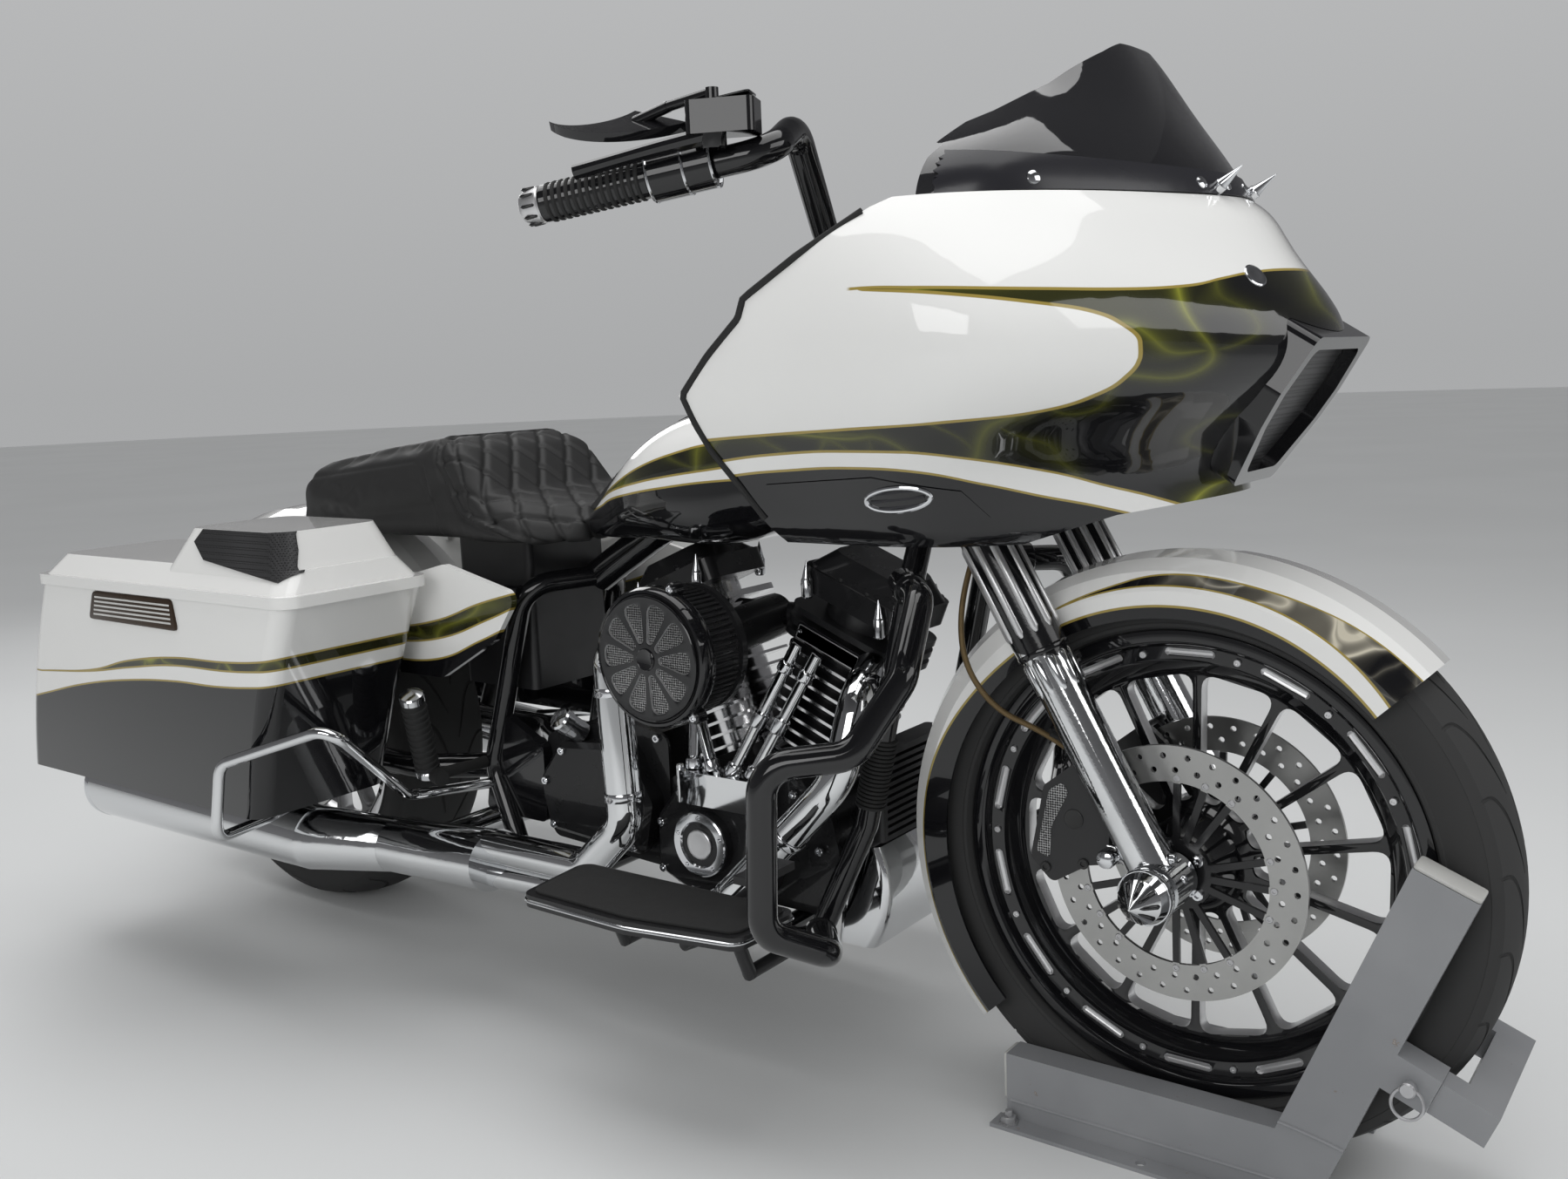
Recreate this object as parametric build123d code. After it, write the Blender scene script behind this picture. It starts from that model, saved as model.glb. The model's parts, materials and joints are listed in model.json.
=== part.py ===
"""Custom touring motorcycle with a frame-mounted fairing, hard saddlebags and a V-twin engine,
standing with its front wheel in a steel floor chock.

Millimetres. +X is forward, +Y is the rider's left, +Z is up and the floor is Z = 0.
Stations (X) are measured from the front axle while the pieces are made; each finished piece is
moved by STATION_SHIFT, so that the origin lies on the floor under the middle of the whole.
"""
import math
import os

from build123d import *

# ---------------------------------------------------------------- driving dimensions
STATION_SHIFT = 844.0          # front axle to the origin, along X
WHEELBASE = 1645.0
RAKE = 26.0                    # steering axis from the vertical, degrees
AXIS_FLOOR_X = 172.0           # where the steering axis meets the floor
FORK_ANGLE = 29.25             # fork legs from the vertical, degrees
FORK_HALF_SPACING = 117.0

FRONT_TYRE_R = 350.0
FRONT_TYRE_W = 120.0
FRONT_RIM_R = 277.0            # rim flange
FRONT_BEAD_R = 266.0
REAR_TYRE_R = 327.0
REAR_TYRE_W = 180.0
REAR_RIM_R = 239.0
REAR_BEAD_R = 228.0
RIM_LIP = 5.0                  # thickness of a rim flange
WHEEL_SPOKES = 14
WINDOW_CORNER = 15.0           # rounding of a wheel window beside the rim
AXLE_R = 12.5
BEARING_CLEARANCE = 0.05       # hub bore over axle, on the radius

ROTOR_R = 150.0
ROTOR_INNER_R = 108.0
ROTOR_T = 5.0
ROTOR_HALF_SPACING = 75.0
RUN = 5.5                      # clearance beside anything that turns
SEAT = 0.3                     # gap under a soft or painted piece where it is seated

FENDER_GAP = 11.0              # tyre to front fender
FENDER_T = 4.0
FENDER_HALF_W = 83.0

CRANK_X = -600.0
CRANK_Z = 265.0
V_HALF_ANGLE = 22.5
CYLINDER_R = 72.0
CYLINDER_BASE = 150.0          # crank centre to cylinder foot
CYLINDER_TOP = 318.0           # crank centre to head gasket
HEAD_TOP = 385.0               # crank centre to rocker box joint
ROCKER_TOP = 445.0
FIN_COUNT = 9
FIN_T = 4.0
VALLEY_GAP = 5.0               # between the two cylinders' fins at the middle of the V

BAG_OUTER_Y = 485.0
BAG_INNER_Y = 240.0
BAG_WALL = 5.0
BAG_RIM_Z = 645.0
LID_T = 6.0
LID_GAP = 0.8                  # joint line between bag and lid
HINGE_Y = 230.0                # lid hinge line
HINGE_Z = 650.0
HINGE_R = 5.0
HINGE_PIN_R = 2.5
HINGE_PLACES = (-1560.0, -1216.0)

FAIRING_WALL = 6.0
SCREEN_T = 5.0
GUARD_R = 17.5                 # engine guard tube
BAR_R = 16.0                   # handlebar tube

CHOCK_INNER_Y = 66.0
CHOCK_TUBE_W = 38.0
CHOCK_ARM_H = 60.0
CHOCK_POST_W = 70.0
CHOCK_LEAN = 22.5              # post from the vertical, degrees
CHOCK_STRIP_T = 5.0
CHOCK_RISER_H = 28.0

REAR_AXLE = (-WHEELBASE, 0.0, REAR_TYRE_R)
FRONT_AXLE = (0.0, 0.0, FRONT_TYRE_R)


# ---------------------------------------------------------------- helpers
PLACE = Location((STATION_SHIFT, 0, 0))


def put(name, *solids, place=PLACE):
    """Write the solids of one node, moved to the common origin."""
    flat = []
    for item in solids:
        flat += list(item.solids())
    export_step(Compound(children=[solid.moved(place) for solid in flat]), f"parts/{name}.step")


def mirrored(shape):
    """The same piece on the other side of the machine."""
    return mirror(shape, about=Plane.XZ)


def side_profile(points, y_from, y_to, corner=0.0):
    """A plate cut to a side-view outline of (x, z) points, between two Y planes."""
    face = make_face(Polyline(*points, close=True))
    if corner:
        face = fillet(face.vertices(), corner)
    return extrude(Plane.XZ.offset(-y_from) * face, amount=y_to - y_from, dir=(0, 1, 0))


def rod(start, end, radius, end_radius=None):
    """A round bar between two points, tapered where a second radius is given."""
    start, end = Vector(start), Vector(end)
    run = end - start
    plane = Plane(start, z_dir=run)
    if end_radius is None or end_radius == radius:
        return extrude(plane * Circle(radius), amount=run.length)
    return loft([plane * Circle(radius), plane.offset(run.length) * Circle(end_radius)])


def lathe(start, direction, profile):
    """A turned piece: profile is (distance along, radius) points from start along direction."""
    plane = Plane(start, x_dir=Vector(direction).cross(Vector(0.31, 0.2, 0.93)), z_dir=direction)
    outline = Polyline((0, profile[0][0]), *[(r, d) for d, r in profile], (0, profile[-1][0]), close=True)
    turned = revolve(Plane.XZ * make_face(outline), axis=Axis.Z)
    return plane.location * turned


def tube(points, bend, radius):
    """A round tube along straight runs; each corner's arc is the bend radius or what its runs allow."""
    points = [Vector(p) for p in points]
    if len(points) == 2:
        return rod(points[0], points[1], radius)
    arcs = []
    for before, corner, after in zip(points, points[1:], points[2:]):
        turn = (corner - before).get_angle(after - corner)
        room = 0.46 * min((corner - before).length, (after - corner).length)
        arcs.append(min(bend, room / math.tan(math.radians(turn) / 2)))
    path = FilletPolyline(*points, radius=arcs)
    return sweep(Plane(path @ 0, z_dir=path % 0) * Circle(radius), path=path)


def ring_y(centre, profile):
    """A ring about an axle: profile is a closed list of (y, radius) points."""
    outline = make_face(Polyline(*[(r, y) for y, r in profile], close=True))
    turned = revolve(Plane.XY * outline, axis=Axis.Y)
    return Location(centre) * turned


def disc_y(centre_x, centre_z, radius, y_from, y_to):
    """A plain round disc or hole across the machine."""
    plane = Plane((centre_x, y_from, centre_z), x_dir=(1, 0, 0), z_dir=(0, 1, 0))
    return extrude(plane * Circle(radius), amount=y_to - y_from)


# ---------------------------------------------------------------- wheels
def tyre(centre, outer_r, width, bead_r, flange_r):
    """A closed tyre ring seated between the rim's flanges."""
    half = width / 2
    rim_half = half * 0.74
    crown = [(half * 0.86, outer_r - 0.20 * half), (0, outer_r), (-half * 0.86, outer_r - 0.20 * half)]
    shoulder = flange_r + 2.0
    with BuildSketch(Plane.XY) as section:
        with BuildLine():
            tread = ThreePointArc(*[(r, y) for y, r in crown])
            wall_a = Spline((crown[2][1], crown[2][0]), (0.5 * (outer_r + shoulder) - 2, -half),
                            (shoulder, -rim_half - RIM_LIP))
            foot_a = Line(wall_a @ 1, (shoulder, -rim_half + 1))
            bead_a = Line(foot_a @ 1, (bead_r, -rim_half + 1))
            bed = Line(bead_a @ 1, (bead_r, rim_half - 1))
            bead_b = Line(bed @ 1, (shoulder, rim_half - 1))
            foot_b = Line(bead_b @ 1, (shoulder, rim_half + RIM_LIP))
            wall_b = Spline(foot_b @ 1, (0.5 * (outer_r + shoulder) - 2, half), (crown[0][1], crown[0][0]))
        make_face()
    return Location(centre) * revolve(section.sketch, axis=Axis.Y)


def wheel(centre, width, bead_r, flange_r, hub_r, hub_half, spokes, spoke_w, spoke_half):
    """A one-piece rim with rounded windows between its spokes and a bored hub."""
    rim_half = width / 2 * 0.74
    barrel = 14.0
    rim = ring_y(centre, [
        (-rim_half - RIM_LIP + 1, flange_r), (-rim_half + 0.8, flange_r), (-rim_half + 0.8, bead_r - 0.2),
        (rim_half - 0.8, bead_r - 0.2), (rim_half - 0.8, flange_r), (rim_half + RIM_LIP - 1, flange_r),
        (rim_half + RIM_LIP - 1, bead_r - 6), (rim_half - 12, bead_r - barrel),
        (-rim_half + 12, bead_r - barrel), (-rim_half - RIM_LIP + 1, bead_r - 6)])
    inner = bead_r - barrel
    web_outer = inner + 1
    plane = Plane((centre[0], -spoke_half, centre[2]), x_dir=(1, 0, 0), z_dir=(0, 1, 0))
    windows = Sketch()
    half_step = math.pi / spokes
    reach = inner - 12
    root = hub_r + 24
    for index in range(spokes):
        turn = 2 * half_step * index
        outer_half = reach * math.sin(half_step) - spoke_w / 2
        root_half = max(root * math.sin(half_step) - spoke_w / 2 * 0.9, 3.0)
        corners = [(root, -root_half), (reach - 3, -outer_half), (reach - 3, outer_half), (root, root_half)]
        pane = make_face(Polyline(*corners, close=True))
        pane = fillet(pane.vertices().filter_by(lambda point: point.X > root + 20), WINDOW_CORNER)
        pane = fillet(pane.vertices().filter_by(lambda point: point.X < root + 1), root_half * 0.8)
        windows += Rot(0, 0, math.degrees(turn)) * pane
    web = Circle(web_outer) - windows
    web = extrude(plane * web, amount=2 * spoke_half)
    hub = disc_y(centre[0], centre[2], hub_r, centre[1] - hub_half, centre[1] + hub_half)
    bore = disc_y(centre[0], centre[2], AXLE_R + BEARING_CLEARANCE, -hub_half - 5, hub_half + 5)
    return rim + web + hub - bore


def rotor(centre, y_mid, carrier_arms, hub_r):
    """A drilled brake disc on a forked carrier bolted to the hub's face."""
    half = ROTOR_T / 2
    plane = Plane((centre[0], y_mid - half, centre[2]), x_dir=(1, 0, 0), z_dir=(0, 1, 0))
    face = Circle(ROTOR_R) - Circle(ROTOR_INNER_R)
    holes = PolarLocations(ROTOR_R - 12, 30) * Circle(3.6)
    holes += PolarLocations(ROTOR_R - 28, 30, start_angle=6) * Circle(3.6)
    face -= holes
    arms = Circle(42)
    for index in range(carrier_arms):
        turn = 360 / carrier_arms * index
        for fork in (-17, 0, 17):
            arm = Pos(76, 0) * Rectangle(70, 8)
            arms += Rot(0, 0, turn + fork) * arm
    arms = arms - Circle(hub_r * 0.62)
    disc = extrude(plane * (face + arms), amount=ROTOR_T)
    return disc


def front_wheel_parts():
    centre = FRONT_AXLE
    put("front_tyre", tyre(centre, FRONT_TYRE_R, FRONT_TYRE_W, FRONT_BEAD_R, FRONT_RIM_R))
    hub_half = ROTOR_HALF_SPACING - ROTOR_T / 2
    put("front_wheel", wheel(centre, FRONT_TYRE_W, FRONT_BEAD_R, FRONT_RIM_R, 44, hub_half,
                             WHEEL_SPOKES, 11, 11))
    right = rotor(centre, -ROTOR_HALF_SPACING, 5, 44)
    put("front_rotors", right, mirrored(right))


def rear_wheel_parts():
    centre = REAR_AXLE
    put("rear_tyre", tyre(centre, REAR_TYRE_R, REAR_TYRE_W, REAR_BEAD_R, REAR_RIM_R))
    put("rear_wheel", wheel(centre, REAR_TYRE_W, REAR_BEAD_R, REAR_RIM_R, 52, 92, WHEEL_SPOKES, 13, 13))
    disc = rotor(centre, -92 - ROTOR_T / 2, 5, 52)
    put("rear_rotor", disc)
    pulley = ring_y(centre, [(92, 40), (92, 104), (94, 108), (118, 108), (120, 104), (120, 40)])
    pulley -= disc_y(centre[0], centre[2], AXLE_R + 20, 80, 130)
    for index in range(5):
        angle = 2 * math.pi / 5 * index
        pulley -= disc_y(centre[0] + 72 * math.cos(angle), centre[2] + 72 * math.sin(angle), 17, 85, 125)
    put("drive_pulley", pulley)

    corners = [(100, 20), (165, 20), (172, 44), (165, 68), (104, 68)]
    outline = [(centre[0] + reach * math.cos(math.radians(turn)),
                centre[2] + reach * math.sin(math.radians(turn))) for reach, turn in corners]
    disc_y_mid = 92 + ROTOR_T / 2
    body = side_profile(outline, -disc_y_mid - 24, -disc_y_mid + 22, 8)
    gap_half = ROTOR_T / 2 + RUN
    body -= disc_y(centre[0], centre[2], ROTOR_R + RUN, -disc_y_mid - gap_half, -disc_y_mid + gap_half)
    body += rod((-1530, -112, 392), (-1530, -SWING_ARM_Y, 352), 9)
    body -= rod((-1400, -SWING_ARM_Y, REAR_TYRE_R - 1), (-1640, -SWING_ARM_Y, REAR_TYRE_R),
                SWING_TUBE_R + SEAT)
    put("rear_calliper", max(body.solids(), key=lambda item: item.volume))


# ---------------------------------------------------------------- frame, swingarm, stand
RAIL_R = 16.0
RAIL_Z = 184.0
RAIL_Y = 132.0
HEAD_LOW_Z = 800.0
HEAD_HIGH_Z = 955.0
HEAD_TUBE_R = 34.0
NECK_Z = 865.0
STEM_R = 15.0
SWING_ARM_Y = 146.0
SWING_TUBE_R = 20.0
SWING_LUG_IN = 125.0
SWING_LUG_OUT = 167.0
SUBFRAME_Y = 126.0
LAMP_Z = 876.0
CARRIER_X = -92.0              # rear face of the headlamp carrier
REAR_FENDER_R = 400.0
REAR_FENDER_HALF_W = 110.0
SWING_PIVOT = (-1015.0, 325.0)
STAND_PIVOT = (-545.0, 182.0, 158.0)
STAND_FOLDED = (-0.994, 0.075, -0.04)
STAND_LEG = 250.0
STAND_HINGE = Vector(0.006879, -0.398073, -0.917328)
STAND_BOSS_HALF = 17.0
STAND_PIN_R = 6.0


def axis_point(z, ahead=0.0, y=0.0):
    """A point of the steering axis at height z, moved forward square to it."""
    tilt = math.radians(RAKE)
    return Vector(AXIS_FLOOR_X - z * math.tan(tilt) + ahead * math.cos(tilt), y, z + ahead * math.sin(tilt))


STEER_UP = Vector(-math.sin(math.radians(RAKE)), 0, math.cos(math.radians(RAKE)))


def main_rail(side, radius):
    """One side's frame tube, from the steering head down, along and up behind the engine."""
    neck = axis_point(NECK_Z)
    return tube([(neck.X - 14, side * 14, neck.Z - 14), (-342, side * 18, 790), (-331, side * 97, 664),
                 (-402, side * 104, 350), (-470, side * RAIL_Y, RAIL_Z), (-1010, side * RAIL_Y, RAIL_Z),
                 (-1090, side * 116, 340), (-1010, side * 104, 628), (-945, side * 12, 634)], 56.25, radius)


def stand_clevis():
    """Two ears and a pin that carry the side stand, square to its raked hinge line."""
    pivot = Vector(STAND_PIVOT)
    ears = rod(pivot - STAND_HINGE * (STAND_BOSS_HALF + 8), pivot + STAND_HINGE * (STAND_BOSS_HALF + 8),
               STAND_PIN_R)
    for side in (-1, 1):
        face = Plane(pivot + STAND_HINGE * side * (STAND_BOSS_HALF + SEAT), x_dir=(1, 0, 0),
                     z_dir=STAND_HINGE * side)
        ears += extrude(face * Pos(0, 15 * side) * RectangleRounded(34, 62, 12), amount=6)
    return ears


def frame_parts():
    low, high = axis_point(HEAD_LOW_Z), axis_point(HEAD_HIGH_Z)
    head = rod(low, high, HEAD_TUBE_R)
    neck = axis_point(NECK_Z)
    backbone = tube([(neck.X - 8, 0, neck.Z + 6), (-560, 0, 762), (-800, 0, 722), (-950, 0, 632)], 160, 26)
    rails = []
    for side in (-1, 1):
        rails.append(main_rail(side, RAIL_R))
        rails.append(tube([(-1010, side * 112, 618), (-1200, side * SUBFRAME_Y, 612),
                           (-1560, side * SUBFRAME_Y, 560)],
                          150, 11))
    cross = rod((-930, -RAIL_Y, RAIL_Z), (-930, RAIL_Y, RAIL_Z), 13)
    cross += rod((-540, -RAIL_Y, RAIL_Z), (-540, RAIL_Y, RAIL_Z), 13)
    cross += Pos(-540, 0, (RAIL_Z + 208 - SEAT) / 2) * Box(44, 90, 208 - SEAT - RAIL_Z)
    frame = head + backbone + cross
    for rail in rails:
        frame += rail
    lug_x, lug_y, lug_z = STAND_PIVOT
    frame += side_profile([(lug_x - 24, lug_z - 18), (lug_x + 24, lug_z - 18), (lug_x + 34, lug_z + 38),
                           (lug_x - 34, lug_z + 38)], RAIL_Y, lug_y - 30, 6)
    frame += stand_clevis()
    pivot_x, pivot_z = SWING_PIVOT
    for side in (-1, 1):
        plate = side_profile([(pivot_x - 95, pivot_z - 60), (pivot_x + 40, pivot_z - 60),
                              (pivot_x + 40, pivot_z + 60), (pivot_x - 60, pivot_z + 110)], 104, 120, 12)
        frame += plate if side > 0 else mirrored(plate)
    frame += rod((axis_point(LAMP_Z).X + 10, 0, LAMP_Z), (CARRIER_X - SEAT, 0, LAMP_Z), 17)
    for side in (-1, 1):
        frame += rod((-1450, side * (REAR_FENDER_HALF_W + SEAT), 577), (-1450, side * SUBFRAME_Y, 577), 12)
        for x, z in ((-1230, 607), (-1500, 569)):
            frame += rod((x, side * SUBFRAME_Y, z), (x, side * (BAG_INNER_Y - SEAT), z), 8)
    frame -= rod(low - STEER_UP * 5, high + STEER_UP * 5, STEM_R + BEARING_CLEARANCE)
    put("frame", frame)

    arms = []
    axle_x, _, axle_z = REAR_AXLE
    for side in (-1, 1):
        arm = tube([(pivot_x, side * 72, pivot_z), (pivot_x - 110, side * 72, pivot_z),
                    (pivot_x - 220, side * SWING_ARM_Y, pivot_z), (axle_x - 20, side * SWING_ARM_Y, axle_z)],
                   90, SWING_TUBE_R)
        arm += rod((axle_x, side * SWING_LUG_IN, axle_z), (axle_x, side * SWING_LUG_OUT, axle_z), 34)
        arms.append(arm)
    spindle = rod((pivot_x, -104 + SEAT, pivot_z), (pivot_x, 104 - SEAT, pivot_z), 26)
    swing = arms[0] + arms[1] + spindle
    swing -= rod((axle_x, -200, axle_z), (axle_x, 200, axle_z), AXLE_R + BEARING_CLEARANCE)
    put("swingarm", swing)

    axle = rod((axle_x, -172, axle_z), (axle_x, 172, axle_z), AXLE_R)
    for side in (-1, 1):
        nut_plane = Plane((axle_x, side * (SWING_LUG_OUT + SEAT), axle_z), x_dir=(1, 0, 0),
                          z_dir=(0, side, 0))
        nut = extrude(nut_plane * RegularPolygon(20, 6), amount=14)
        axle += nut
        spacer = rod((axle_x, side * (98 if side < 0 else 121), axle_z),
                     (axle_x, side * (SWING_LUG_IN - SEAT), axle_z), 19)
        axle += spacer
    put("rear_axle", axle)

    dampers = []
    for side in (-1, 1):
        top, bottom = Vector(-1330, side * 187, 593), Vector(-1440, side * 187, 330)
        run = (bottom - top).normalized()
        body = rod(top, top + run * 90, 24) + rod(top + run * 90, bottom, 17)
        body += rod((top.X, side * 137.5, top.Z), top + Vector(0, side * 16, 0), 10)
        body += rod((bottom.X, side * (SWING_LUG_OUT + SEAT), bottom.Z), bottom + Vector(0, side * 18, 0), 12)
        dampers.append(body)
    put("shocks", *dampers)

    pivot = Vector(STAND_PIVOT)
    reach = Vector(STAND_FOLDED).normalized()
    leg = rod(pivot, pivot + reach * STAND_LEG, 11, 9)
    leg += rod(pivot - STAND_HINGE * STAND_BOSS_HALF, pivot + STAND_HINGE * STAND_BOSS_HALF, 15)
    leg += Location(pivot + reach * STAND_LEG) * Sphere(15)
    leg -= rod(pivot - STAND_HINGE * 40, pivot + STAND_HINGE * 40, STAND_PIN_R + BEARING_CLEARANCE)
    put("side_stand", leg)


# ---------------------------------------------------------------- engine
def cylinder_frame(side):
    """Plane at the crank centre whose Z axis runs up one cylinder; side is +1 for the front one."""
    tilt = math.radians(V_HALF_ANGLE) * side
    return Plane((CRANK_X, 0, CRANK_Z), x_dir=(math.cos(tilt), 0, -math.sin(tilt)),
                 z_dir=(math.sin(tilt), 0, math.cos(tilt)))


def engine_parts():
    case = side_profile([(-745, 208), (-470, 208), (-452, 300), (-462, 345), (-520, 392), (-690, 392),
                         (-745, 360)],
                        -96, 104, 14)
    box = side_profile([(-985, 240), (-740, 228), (-740, 425), (-830, 440), (-985, 400)], -100, 96, 18)
    swing_space = rod((SWING_PIVOT[0], -130, SWING_PIVOT[1]), (SWING_PIVOT[0], 130, SWING_PIVOT[1]), 32)
    cut_front, cut_rear = [cylinder_frame(side) for side in (1, -1)]
    case = case + box - swing_space
    for plane in (cut_front, cut_rear):
        case += extrude(plane.offset(80) * RectangleRounded(128, 130, 26), amount=CYLINDER_BASE - 80)
    for plane in (cut_front, cut_rear):
        case -= extrude(plane.offset(CYLINDER_BASE) * Rectangle(190, 190), amount=60)
    put("engine_case", case)

    barrels, boxes = [], []
    for side in (1, -1):
        plane = cylinder_frame(side)
        barrel = extrude(plane.offset(CYLINDER_BASE + 0.2) * Circle(CYLINDER_R * 0.78), amount=HEAD_TOP
                         - CYLINDER_BASE - 0.2)
        pitch = (CYLINDER_TOP - CYLINDER_BASE - 8) / FIN_COUNT
        for index in range(FIN_COUNT):
            level = CYLINDER_BASE + 8 + index * pitch
            fin = RectangleRounded(CYLINDER_R * 2.06, CYLINDER_R * 2.0, 30)
            barrel += extrude(plane.offset(level) * fin, amount=FIN_T)
        for index in range(3):
            level = CYLINDER_TOP + index * 17
            barrel += extrude(plane.offset(level) * RectangleRounded(168, 142, 24), amount=9)
        beyond = Pos(CRANK_X - side * (300 - VALLEY_GAP / 2), 0, CRANK_Z + 200) * Box(600, 300, 700)
        barrels.append(barrel - beyond)
        cover = plane.offset(HEAD_TOP + 0.2) * RectangleRounded(166, 132, 18)
        cover = extrude(cover, amount=32)
        top = plane.offset(HEAD_TOP + 32.2)
        cover += loft([top * RectangleRounded(158, 124, 18), top.offset(ROCKER_TOP - HEAD_TOP - 32)
                       * RectangleRounded(116, 86, 20)])
        boxes.append(cover)
    put("cylinders", *barrels)
    put("rocker_covers", *boxes)

    rods = []
    for side in (1, -1):
        plane = cylinder_frame(side)
        for offset in (-17, 17):
            foot = Vector(CRANK_X - 20 + side * 34 + offset, -126, CRANK_Z + 130)
            head = plane.from_local_coords(Vector(offset * side - 22 * side, -88, CYLINDER_TOP + 2))
            rods.append(rod(foot, head, 8.5))
    tappets = extrude(Plane((CRANK_X - 20, -126, CRANK_Z + 84)) * RectangleRounded(150, 40, 14), amount=46)
    node = tappets
    for item in rods:
        node += item
    for barrel in barrels:
        node -= barrel
    node = node - case

    cam_x, cam_z = CRANK_X - 34, CRANK_Z + 32
    cam = side_profile([(cam_x - 104, cam_z - 58), (cam_x - 40, cam_z - 84), (cam_x + 78, cam_z - 72),
                        (cam_x + 104, cam_z - 10), (cam_x + 76, cam_z + 70), (cam_x - 60, cam_z + 75),
                        (cam_x - 104, cam_z + 20)], -138, -96.3, 22)
    cam = chamfer(cam.faces().sort_by(Axis.Y)[0].edges(), 8)
    cam += disc_y(cam_x - 10, cam_z, 46, -152, -138)
    put("cam_cover", cam)
    node -= cam
    put("pushrod_tubes", max(node.solids(), key=lambda item: item.volume))
    gear = side_profile([(-960, 262), (-770, 250), (-752, 330), (-800, 412), (-930, 400), (-975, 340)], -134,
                        -100.3, 20)
    gear = chamfer(gear.faces().sort_by(Axis.Y)[0].edges(), 8)
    put("gearbox_cover", gear)
    primary = side_profile([(-960, 250), (-900, 216), (-560, 212), (-482, 268), (-482, 340), (-560, 398),
                            (-720, 402), (-900, 384), (-960, 330)], 104.3, 168, 30)
    primary = chamfer(primary.faces().sort_by(Axis.Y)[-1].edges(), 12)
    primary += disc_y(-850, 305, 56, 168, 178)
    primary += disc_y(-570, 305, 46, 168, 176)
    put("primary_cover", primary)

    centre = (-604, 584)
    cleaner = disc_y(centre[0], centre[1], 80, -258, -196)
    cleaner += disc_y(centre[0], centre[1], 87, -268, -258)
    cleaner += disc_y(centre[0], centre[1], 84, -196, -186)
    cleaner += rod((centre[0], -186, centre[1]), (CRANK_X, -14, 598), 30)
    cleaner += rod((CRANK_X - 66, -14, 598), (CRANK_X + 66, -14, 598), 19)
    cover = disc_y(centre[0], centre[1], 82, -280, -268)
    for index in range(10):
        angle = 2 * math.pi / 10 * index
        pane = disc_y(centre[0] + 50 * math.cos(angle), centre[1] + 50 * math.sin(angle), 12, -285, -274)
        cover -= pane
    cleaner += cover
    for barrel in barrels:
        cleaner -= barrel
    put("air_cleaner", max(cleaner.solids(), key=lambda item: item.volume))

    front_port = cylinder_frame(1).from_local_coords(Vector(70, -74, CYLINDER_TOP + 20))
    front = tube([front_port, (front_port.X + 20, -140, front_port.Z - 20), (-392, -176, 430),
                  (-585, -196, 226), (-900, -196, 208), (-1010, -205, 208)], 94, 23)
    rear_port = cylinder_frame(-1).from_local_coords(Vector(-30, -74, CYLINDER_TOP + 20))
    rear = tube([rear_port, (rear_port.X + 10, -168, rear_port.Z + 4), (-742, -206, 560),
                 (-722, -214, 330), (-800, -214, 256), (-1010, -214, 252)], 45, 25)
    pipes = front + rear
    pipes += loft([Plane((-1000, -208, 228), x_dir=(0, 1, 0), z_dir=(-1, 0, 0)) * Ellipse(52, 46),
                   Plane((-1180, -244, 232), x_dir=(0, 1, 0), z_dir=(-1, 0, 0)) * Circle(42)])
    pipes += rod((-1146, -225, 232), (-1146, 225, 232), 21)
    pipes += loft([Plane((-1118, 234, 232), x_dir=(0, 1, 0), z_dir=(-1, 0, 0)) * Circle(28),
                   Plane((-1180, 244, 232), x_dir=(0, 1, 0), z_dir=(-1, 0, 0)) * Circle(42)])
    for barrel in barrels:
        pipes -= barrel
    for side in (-1, 1):
        pipes -= main_rail(side, RAIL_R + 1)
    put("headers", max(pipes.solids(), key=lambda item: item.volume))

    cans = []
    for side in (-1, 1):
        start = Vector(-1180.3, side * 244, 232)
        mid = Vector(-1300, side * 300, 240)
        end = Vector(-1848, side * 322, 262)
        along = (mid - start).normalized()
        can = loft([Plane(start, z_dir=(-1, 0, 0)) * Circle(42), Plane(mid, z_dir=end - mid) * Circle(50)])
        can += rod(mid, end, 50, 62)
        can -= rod(end - (end - mid).normalized() * 60, end + (end - mid).normalized(), 57)
        cans.append(can)
    put("mufflers", *cans)


# ---------------------------------------------------------------- front end
def leg_point(z, y=0.0):
    """A point of the fork leg line at height z."""
    return Vector(-(z - FRONT_TYRE_R) * math.tan(math.radians(FORK_ANGLE)), y, z)


COVER_R = 31.0
LEG_R = 24.0
SLIDER_R = 28.0
SLIDER_TOP_Z = 605.0
LUG_IN = 89.0                  # fork foot's faces, from the middle plane
LUG_OUT = 146.0
LOWER_YOKE_Z = 772.0
UPPER_YOKE_Z = 972.0
BAR_END = Vector(-576, -440, 1125)
BAR_BEND = Vector(-342, -336, 1164)
GRIP_R = 20.0
CONTROL_BLOCK_H = 34.0


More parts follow.
